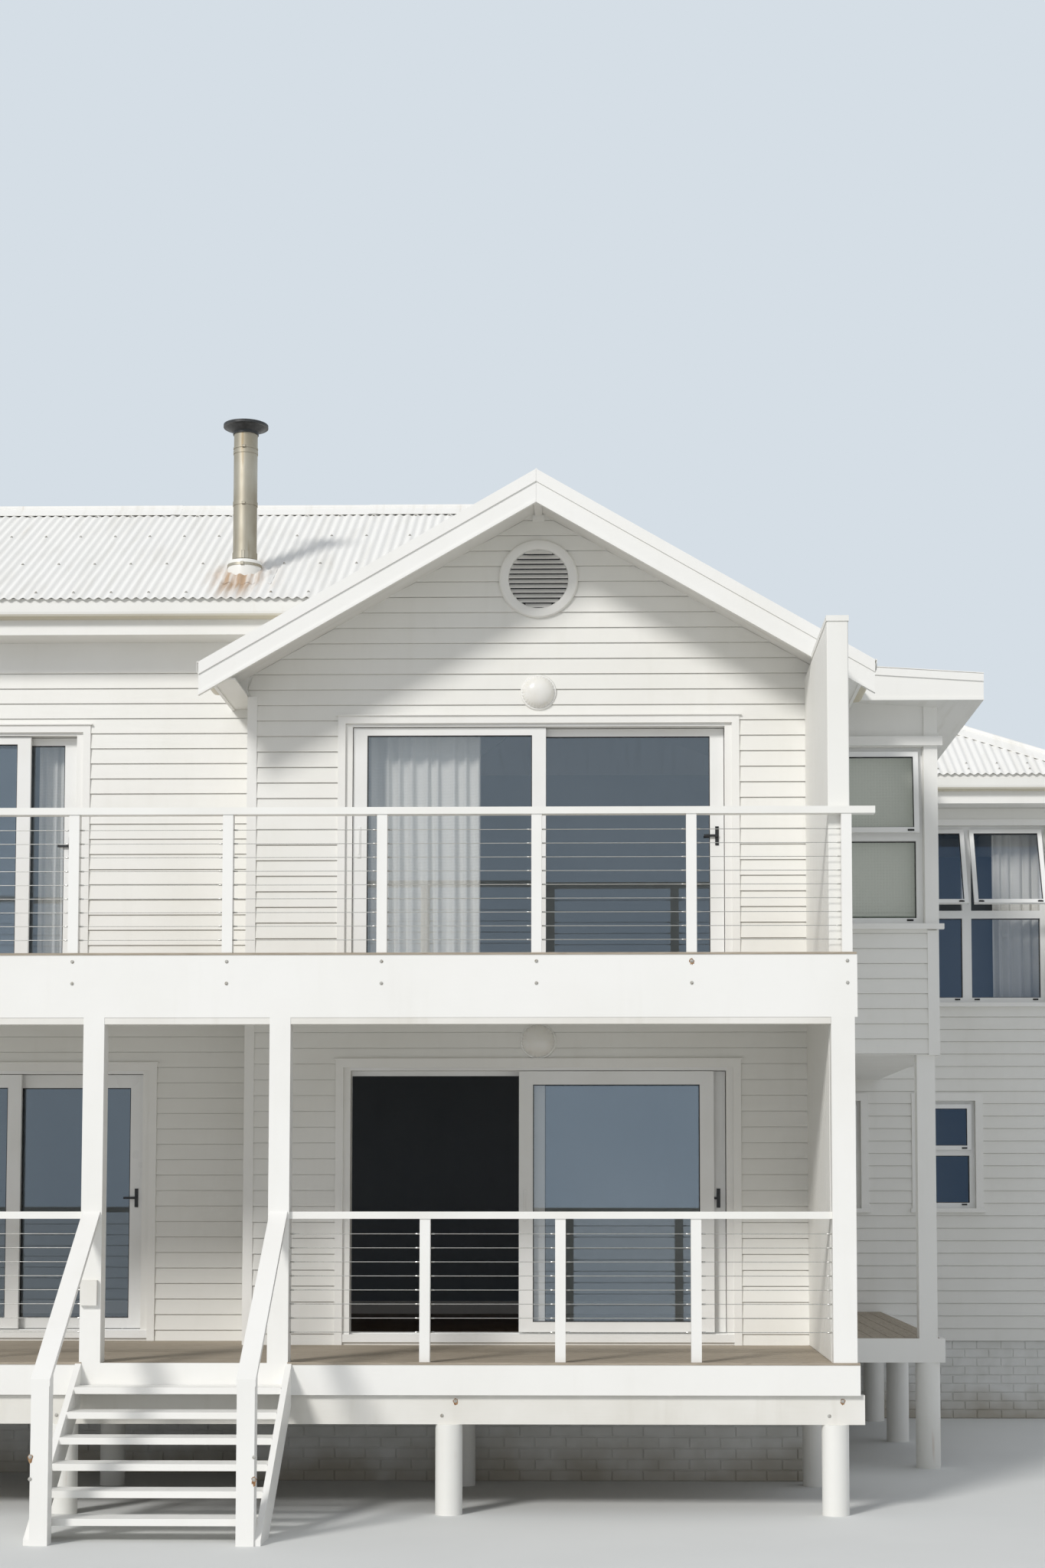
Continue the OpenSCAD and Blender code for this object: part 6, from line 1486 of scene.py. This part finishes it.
def latch(u, out, z):
    """A small lever on its back plate."""
    return joined(soft_boxes([u - 27, out, z], [u + 27, out + 7, z + 15], 3),
                  soft_boxes([u - 20, out + 7, z + 3], [u + 14, out + 17, z + 12], 3))


def turned_out(shape, angle):
    """A shape turned about its top edge, so that its foot swings outwards."""
    c, s = math.cos(math.radians(angle)), math.sin(math.radians(angle))
    return moved(shape, [[1, 0, 0], [0, c, -s], [0, s, c]])


print("a seal round a small pane holds",
      round(volume(pane_ring(0, 450, 0, 470, 7, -94, -74)) / 1000), "cm3")

# %% Seals and latches of the windows
seals, latches = [], []
for face, plane, centre, sill, (wide, high, lights), angle in WINDOWS:
    lower = {SMALL: 470, WIDE: 800, BAY_SIZE: 640}[wide, high, lights]
    upper = high - 2 * FRAME - lower - TRANSOM
    light = (wide - 2 * FRAME - (lights - 1) * MULLION) / lights
    turn = math.radians(angle)
    hinge_out = 36 * math.cos(turn) + LAP_IN * math.sin(turn) - 40
    foot, right = -upper - LAP_IN, light - 4 + LAP_IN
    for column in range(lights):
        left = -wide / 2 + FRAME + column * (light + MULLION)
        ends = [right - 70] if column == 0 else [right - 70, 50]
        hinge, at_window = (left + 2, hinge_out, high - FRAME), (centre, 0, sill)
        fixed_seal = pane_ring(left, left + light, FRAME, FRAME + lower, 7, -94, -74)
        sash_seal = pane_ring(SASH - LAP_IN, right - SASH, foot + SASH, LAP_IN - SASH, 6, -32,
                              -12)
        both = joined(fixed_seal, moved(turned_out(sash_seal, angle), shift=hinge))
        catches = turned_out(joined(*(latch(u, 0, foot + 10) for u in ends)), angle)
        low_catches = [latch(left + u, -40, 30) for u in ends]
        handles = joined(moved(catches, shift=hinge), *low_catches)
        seals.append(on_face(moved(both, shift=at_window), face, plane))
        latches.append(on_face(moved(handles, shift=at_window), face, plane))
piece("window_seals", joined(*seals), black_rubber_and_shade)
piece("window_latches", joined(*latches), lever_black)

# %% Sliding leaves, and the upper doors, which are parts of the house
STILE, RAIL_Z, OUTER_Y, INNER_Y = 110, 177, 22, 88


def leaf_seal(x0, width, floor_z, pane_top, y):
    """A seal round the pane, inside the leaf's stiles and rails."""
    return pane_ring(x0 + STILE, x0 + width - STILE, floor_z + RAIL_Z, pane_top, 7,
                     -(y + 28), -(y + 8))


def leaf_pull(x0, floor_z, y):
    """A flush pull on the leaf's left stile: a plate with a slimmer grip on it."""
    return joined(
        soft_boxes([x0 + 34, -y, floor_z + 960], [x0 + 62, 5 - y, floor_z + 1210], 2),
        soft_boxes([x0 + 42, 5 - y, floor_z + 990], [x0 + 54, 9 - y, floor_z + 1180], 2))


upper_seals, upper_pulls = [], []
for x, half, face_y, pane_top, width, open_by in ((0, 1475, GABLE_Y, 1941, 1529, 0),
                                                  (-4835, 1051, LEFT_Y, 1975, 1105, 610)):
    outer_x = x - half + 5 + open_by
    upper_pulls.append(on_face(leaf_pull(outer_x, BALCONY_Z, OUTER_Y), "front", face_y))
    for x0, y in ((outer_x, OUTER_Y), (x + half - 5 - width, INNER_Y)):
        seal = leaf_seal(x0, width, BALCONY_Z, BALCONY_Z + pane_top, y)
        upper_seals.append(on_face(seal, "front", face_y))
piece("upper_door_seals", joined(*upper_seals), black_rubber_and_shade)
piece("upper_door_pulls", joined(*upper_pulls), frame_coat)

# %% Lower doors, whose fittings ride with their leaves
for name, width, face_y, y in (("centre_left", 1529, GABLE_Y, OUTER_Y),
                               ("centre_right", 1529, GABLE_Y, INNER_Y),
                               ("left_left", 1105, LEFT_Y, OUTER_Y),
                               ("left_right", 1105, LEFT_Y, INNER_Y)):
    pane_low, pane_high = (np.array(corner) * 1000 - PLAN_SHIFT
                           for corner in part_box(name + "_glass"))
    x0, door = pane_low[0] - STILE, name + "_door"
    seal = leaf_seal(x0, width, DECK_Z, pane_high[2], y)
    piece(door + "_seal", on_face(seal, "front", face_y), black_rubber_and_shade,
          body=door)
    if y == OUTER_Y:
        piece(door + "_pull", on_face(leaf_pull(x0, DECK_Z, y), "front", face_y), frame_coat,
              body=door)

# %% [markdown]
# ## Bolts, rust and cable ends
#
# The rail posts are bolted through the balcony's edge board, two bolts a post, and the
# beams to their piers. A bolt is a round washer with a domed head, turned in one. Salt has
# run rust round the older ones. The rust could be a spot in the beam's paint, but then its
# place would have to be told to the material, so it is a thin ragged disc behind the
# washer. Each cable ends in a swaged sleeve at its posts.

# %% Bolts


def pairs(xs, y, shifts):
    """A place for each x and each shift (dx, z), at one y: all the first x's ones first."""
    xs, shifts = np.asarray(xs, float), np.asarray(shifts, float)
    x, dx = np.broadcast_arrays(xs[:, None], shifts[None, :, 0])
    z = np.broadcast_to(shifts[None, :, 1], x.shape)
    return np.stack([x + dx, np.full(x.shape, y), z], -1).reshape(-1, 3)


RAIL_LEFT_X, RAIL_LENGTH, RAIL_BAYS = -6510, 8740, 8
rail_posts = RAIL_LEFT_X + RAIL_LENGTH * np.arange(RAIL_BAYS + 1) / RAIL_BAYS
bolted = rail_posts + 60 * (rail_posts == RAIL_LEFT_X)
fascia_bolts = pairs(bolted, 0, [(0, 3861), (0, 3706)])
pier_bolts = pairs(2129 - 2695 * np.arange(4), 40, [(48, 788), (-46, 686)])
newel_bolts = pairs((-3130, -1702), -1447.5, [(0, 560), (0, 420)])
bolt = turned([(13, 0), (13, 2), (8, 2.5), (8, 5), (6, 6.5)], 12, axis="front")
all_bolts = np.concatenate([fascia_bolts, pier_bolts, newel_bolts])
piece("bolts", repeated(bolt, all_bolts), bolt_steel, smooth=30)

# %% Rust round the older bolts


def rust_run(x, y, z, seed, count=18):
    """A flat blot whose edge wanders in radius and which is drawn out downwards."""
    rng = np.random.default_rng(seed)
    turn = np.arange(count) * 2 * np.pi / count
    radius = 14 + 7 * rng.random(count)
    run = np.where(np.sin(turn) < -0.4, rng.uniform(1.2, 2.4), 1.0)
    return swept(np.stack(np.broadcast_arrays(
        x + radius * np.cos(turn), y - np.array([[0.2], [1.0]]),
        z + radius * np.sin(turn) * run), -1))


rusty = [fascia_bolts[14], *pier_bolts[::2], *newel_bolts[::3]]
piece("rust_blots", joined(*[rust_run(*place, i) for i, place in enumerate(rusty)]),
      rust_steel)

# %% Cable sleeves
POST_HALF, CABLE_STEP = 36.5, 98


def cable_ends(posts, y, lowest, count, at_walls=False):
    """Where each of count cables meets the posts: on their right faces and on their left
    ones. Cables that start and end at_walls have no post to leave out there."""
    right, left = posts[:-1] + POST_HALF, posts[1:] - POST_HALF
    if at_walls:
        right[0], left[-1] = posts[0], posts[-1]
    z, column = np.meshgrid(lowest + CABLE_STEP * np.arange(count), np.arange(len(right)),
                            indexing="ij")
    return [np.stack([side[column], np.full(z.shape, y), z], -1).reshape(-1, 3)
            for side in (right, left)]


porch_posts = np.append(-1685.5 + (2112 + 1685.5) * np.arange(4) / 4, 2112)
end_posts = np.append(-6416.5 + 3270 * np.arange(3) / 3, -3146.5)
right_ends, left_ends = (np.concatenate(ends) for ends in zip(
    cable_ends(rail_posts, 36.5, 4017, 9),
    cable_ends(porch_posts, 76.5, 1261, 8, at_walls=True),
    cable_ends(end_posts, 76.5, 1261, 8, at_walls=True)))
sleeve = moved(turned([(3.2, 0), (5.4, 3), (5.4, 26), (3.2, 32)], 8), ALONG_X)
sleeve_back = moved(sleeve, [[-1, 0, 0], [0, 1, 0], [0, 0, 1]])
piece("cable_sleeves", joined(repeated(sleeve, right_ends), repeated(sleeve_back, left_ends)),
      cable_steel, smooth=40)

# %% [markdown]
# ## Rooms behind the glass
# A house with bare shell rooms shows its back windows through the front doors, which looks
# hollow. A plain inner wall behind each front room closes the view as a real room's wall does.
# Its flat grey-blue paint is darker than the walls outside: painted shade that keeps the rooms
# dim behind the glass.

# %% Inner walls
ROOM_WALL_Y = 6380
inner_low = np.array([(-2160, ROOM_WALL_Y, 1070), (-2160, ROOM_WALL_Y, 3937),
                      (-6349, ROOM_WALL_Y, 1070), (-6349, ROOM_WALL_Y, 3937),
                      (2330, 10380, 3937)])
inner_high = np.array([(2160, 6450, 3640), (2160, 6450, 6300), (-2320, 6450, 3640),
                       (-2320, 6450, 6600), (4959, 10450, 6050)])
skirting_high = np.stack([inner_high[:, 0], inner_low[:, 1], inner_low[:, 2] + 120], -1)
piece("inner_walls", boxes(inner_low, inner_high), room_lining_painted_shade)
piece("inner_skirtings", boxes(inner_low - [0, 14, 0], skirting_high), trim_paint)

# %% [markdown]
# ## Boards with V joints
#
# The screen walls and the porch ceiling are lined with narrow boards whose edges are
# planed off, so that each joint is a small V. Each board is a block with a chamfered
# face, the same shape as a brick, only long.

# %% Upright boards on the screen walls


def side_by_side(start, end, low, high, wide, thick, across=0):
    """Boards that follow each other along one axis, 0 or 2, from start to end, the last
    one cut to fit, and run along the other axis from low to high."""
    near = np.arange(start, end - 10, wide)
    lows, highs = np.zeros((2, len(near), 3))
    lows[:, across], highs[:, across] = near, np.minimum(near + wide, end)
    lows[:, 2 - across], highs[:, 2 - across], highs[:, 1] = low, high, thick
    return soft_boxes(lows, highs, 4.0)


screens = [on_face(side_by_side(start, 1995, low, high, 135.0, 6.0), face, plane)
           for face, plane in (("left", SCREEN_LEFT_X), ("right", 2256.0))
           for start, low, high in ((150, 1052, 3672), (84, 3919, 6296))]
piece("screen_boards", joined(*screens), screen_paint)

# %% Ceiling of the porch


def overhead(shape, z):
    """A shape drawn with its face outwards, laid so that the face looks down from z."""
    return moved(shape, [[1, 0, 0], [0, 0, 1], [0, -1, 0]], (0, 0, z))


ceiling = [overhead(side_by_side(y0, y1, -6480, x1, 96.0, 8.0, across=2), CEILING_Z)
           for x1, y0, y1 in ((2108, 150, 1978), (-2345, 1978, 2478))]
piece("ceiling_boards", joined(*ceiling), screen_paint)

# %% [markdown]
# ## Gable louvre and lamps
#
# The louvre is pressed steel: a rolled ring round twelve blades that lean outwards and down,
# over an insect mesh drawn black, as painted shade that darkens the gaps between the blades.
# Stripes would look flat from below, so a blade is a thin block whose length is the chord of
# the circle at its height. Each lamp is a pressed ring and a bowl of opal glass, turned from
# an arc, with flutes as a wave in its radius.

# %% Louvre
VENT_AT, VENT_R, BORE, BLADES = (0.0, GABLE_Y, VENT_Z), 315.0, 240.0, 12
height = np.linspace(-BORE + 24, BORE - 26, BLADES)
chord = np.sqrt(BORE ** 2 - height ** 2) - 1


def blade_corners(rise):
    """Corners of each blade: near edge low and 34 mm out, far edge high and 7 mm out."""
    side, out, up = np.array([(-1, 34, -16), (1, 34, -16), (1, 7, 17), (-1, 7, 17)]).T
    return np.stack(np.broadcast_arrays(
        side * chord[:, None], -out, height[:, None] + up + rise), -1)


ring = hoop([(BORE - 4, 2), (VENT_R, 2), (VENT_R, 30), (VENT_R - 9, 40), (VENT_R - 24, 43),
             (BORE + 16, 43), (BORE, 37), (BORE - 4, 30)], 56, "front")
louvre = joined(ring, outward(six_sided(blade_corners(0), blade_corners(3.5))))
piece("gable_louvre", moved(louvre, shift=VENT_AT), vent_enamel, smooth=35,
      replaces=("gable_vent",))
# The mesh is drawn black as painted shade, so the gaps between the blades look dark.
shade_mesh_disc = turned([(BORE, 0.5), (BORE, 3.0)], 40, axis="front")
piece("louvre_mesh_painted_shade", moved(shade_mesh_disc, shift=VENT_AT), black_rubber_and_shade)

# %% Lamps
LAMP_R, FLUTES, BOWL_OUT, BOWL_DEEP, FLUTE_DEEP = 144.0, 30, 14, 74, 0.022
LAMPS_AT = np.array([(0, GABLE_Y, 6194), (0, GABLE_Y, 3422)])


def fluted_bowl():
    """A quarter circle's arc turned round the lamp's axis. Its radius swells and shrinks
    by a cosine with each flute, which fades towards a smooth middle."""
    share = np.linspace(1, 0.03, 20)[:, None]
    turn = np.arange(4 * FLUTES) * 2 * np.pi / (4 * FLUTES)
    swell = 1 + FLUTE_DEEP * np.clip(share * 1.6 - 0.5, 0, 1) * np.cos(turn * FLUTES)
    radius = (LAMP_R - 14) * np.sin(share * np.pi / 2) * swell
    out = BOWL_OUT + BOWL_DEEP * np.cos(share * np.pi / 2)
    return swept(np.stack(np.broadcast_arrays(
        radius * np.cos(turn), -out, radius * np.sin(turn)), -1)[::-1])


lamp_ring = hoop([(LAMP_R - 24, 1), (LAMP_R, 1), (LAMP_R, 15), (LAMP_R - 6, 24),
                  (LAMP_R - 16, 25), (LAMP_R - 24, 18)], 56, "front")
piece("lamp_covers", repeated(fluted_bowl(), LAMPS_AT), opal, smooth=35,
      replaces=("wall_lights",))
piece("lamp_rings", repeated(lamp_ring, LAMPS_AT), vent_enamel, smooth=35)

# %% [markdown]
# ## Edges and pipes
#
# Small pieces close the drawing: the worn upper edge of the boards round each deck, the
# face of the beam under the balcony and a cleat on a stair post, the boxed ends of the
# gable's eaves, the block at the point of the gable, and downpipes at the back and sides,
# which bend in under the soffit and end in a shoe. A bevelled curve would draw a pipe, and
# a circle carried along a path of rounded bends gives the same without a conversion.

# %% Worn edges, eave ends and the gable's point
edges_low = [(-6572, -5, 3908), (-6572, -5, 1040), (-1690, -5, 1040)]
edges_high = [(2295, 31, 3923), (-3130, 31, 1056), (2295, 31, 1056)]
piece("deck_edges", soft_boxes(edges_low, edges_high, 1.0), deck_timber)

beam_low = [(x, 3, 3419) for x in (-6416, -2999, -1685)] + [(-3140, -34, 1450)]
beam_high = [(x, 30.5, 3464) for x in (-3147, -1833, 2111)] + [(-3022, 0.5, 1626)]
piece("beam_faces", soft_boxes(beam_low, beam_high, 3.0), rough_paint)

END_X, END_Y, END_Z = [HALF_W, 2490, 2490, HALF_W], [1984, 1984, 2000, 2000], EAVE_TOP_Z
eave_ends = []
for side in (-1, 1):
    foot = np.stack([side * np.array(END_X), END_Y, np.full(4, END_Z)], -1)
    head = foot + [0, 0, 1] * (UNDER_GABLE_Z - np.abs(foot[:, :1]) * GABLE_FALL - END_Z)
    eave_ends.append(outward(six_sided(foot[None], head[None])))
ridge_strip = soft_boxes([-30, 1346, 7622], [30, 1990, 7637], 3.0)
king_block = soft_boxes([-48, 1980, 7575], [48, 1999, 7626], 4.0)
piece("eave_ends", joined(*eave_ends, ridge_strip, king_block), trim_paint)

# %% Downpipes
PIPE_R, BEND, GUTTER_Y, WALL_Y, SHOE_Z = 38, 70, 12203, 11860, 170


def downpipe(start, wall, side):
    """A tube from the gutter, bent in to the wall, down, and out at a shoe, with three
    clips. Each bend is a parabola between points up to 70 mm before and after its knot:
    (1-t)^2 of the first, 2t(1-t) of the knot and t^2 of the second."""
    start, wall = np.array(start, float), np.array(wall, float)
    out = (start - wall) * [1, 1, 0]
    out /= np.linalg.norm(out)
    foot = [wall[0], wall[1], SHOE_Z]
    knots = np.array([start, start - [0, 0, 60], wall + [0, 0, 60], wall,
                      foot + np.array([0, 0, 120]), foot + np.array([0, 0, 60]),
                      foot + out * 90])
    t = np.array([0.25, 0.5, 0.75])[:, None]
    knot = knots[1:-1, None]
    near, far = (knot + step * np.minimum(0.5, BEND / np.linalg.norm(
        step, axis=-1, keepdims=True)) for step in (knots[:-2, None] - knot,
                                                    knots[2:, None] - knot))
    bends = (1 - t) ** 2 * near + 2 * t * (1 - t) * knot + t * t * far
    path = np.concatenate([knots[:1], bends.reshape(-1, 3), knots[-1:]])
    clip = turned([(PIPE_R + 1, -14), (PIPE_R + 4, -14), (PIPE_R + 4, 14), (PIPE_R + 1, 14)],
                  16)
    heights = (SHOE_Z + 900, (SHOE_Z + wall[2]) / 2, wall[2] - 500)
    return joined(carried(circle(PIPE_R, 16), path, up=side),
                  repeated(clip, [(wall[0], wall[1], z) for z in heights]))


pipes = [downpipe((5000, GUTTER_Y, 6290), (5000, WALL_Y, 5950), (1, 0, 0)),
         downpipe((-2200, GUTTER_Y, 6290), (-2200, WALL_Y, 5950), (1, 0, 0)),
         downpipe((-6400, 7203, 6905), (-6400, 6860, 6600), (1, 0, 0)),
         downpipe((5513, 7320, 6290), (5170, 7320, 5950), (0, 1, 0))]
piece("downpipes", joined(*pipes), gutter_enamel, smooth=50)

# %% [markdown]
# ## Light, sky and floor
#
# The day is bright with a soft sun high on the left, so a wide sun lamp lights the front
# and its broad disc blurs the edge of each shadow. The world fills the shade with an even
# pale light. The camera, mirrors and glass see a pale sky instead, at a strength of one.

# %% Sun and sky
SUN_FROM_LEFT, SUN_HEIGHT, FILL = math.radians(32), math.radians(34), 0.56
sun_light = bpy.data.lights.new("soft_sun", "SUN")
sun_light.energy, sun_light.angle = 2.05, math.radians(12)
sun_light.color = linear("#FFFDFA")[:3]
sun = bpy.data.objects.new("soft_sun", sun_light)
sun.rotation_euler = (math.pi / 2 - SUN_HEIGHT, 0.0, -SUN_FROM_LEFT)
bpy.context.scene.collection.objects.link(sun)

world = bpy.data.worlds.new("pale_sky")
bpy.context.scene.world = world
world.use_nodes = True
tree = world.node_tree
ray = tree.nodes.new("ShaderNodeLightPath").outputs
seen = add(tree, "Math", {0: ray["Is Camera Ray"], 1: ray["Is Glossy Ray"]},
           operation="MAXIMUM")
seen = add(tree, "Math", {0: seen, 1: ray["Is Transmission Ray"]}, operation="MAXIMUM")
strength = add(tree, "MapRange", {0: seen, 3: FILL, 4: 1.0})
tint = add(tree, "Mix", {0: seen, 6: "#F1F5FC", 7: "#D5DEE6"}, out=2, data_type="RGBA")
wire(tree, tree.nodes["Background"], {"Color": tint, "Strength": strength})
bpy.context.scene.view_settings.view_transform = "Standard"
print("sun", round(math.degrees(SUN_FROM_LEFT)), "degrees left,",
      round(math.degrees(SUN_HEIGHT)), "high")

# %% Studio floor
FLOOR_HALF = 240.0
material, tree, shader, place = finish_of("matt_studio_floor", 0.9)
grain = add(tree, "TexNoise", {"Vector": place, "Scale": per_metre(900), "Detail": 6.0})
wire(tree, shader, {
    "Base Color": add(tree, "Mix", {0: grain, 6: "#D6D7D5", 7: "#DDDEDC"}, out=2,
                      data_type="RGBA")})
floor_mesh = bpy.data.meshes.new("studio_floor")
floor_mesh.from_pydata((UNIT_BOX[:4] * 2 - [1, 1, 0]) * FLOOR_HALF, [], [(0, 1, 2, 3)])
floor_mesh.materials.append(material)
studio_floor = bpy.data.objects.new("studio_floor", floor_mesh)
bpy.context.scene.collection.objects.link(studio_floor)
print("floor", 2 * FLOOR_HALF, "m wide")
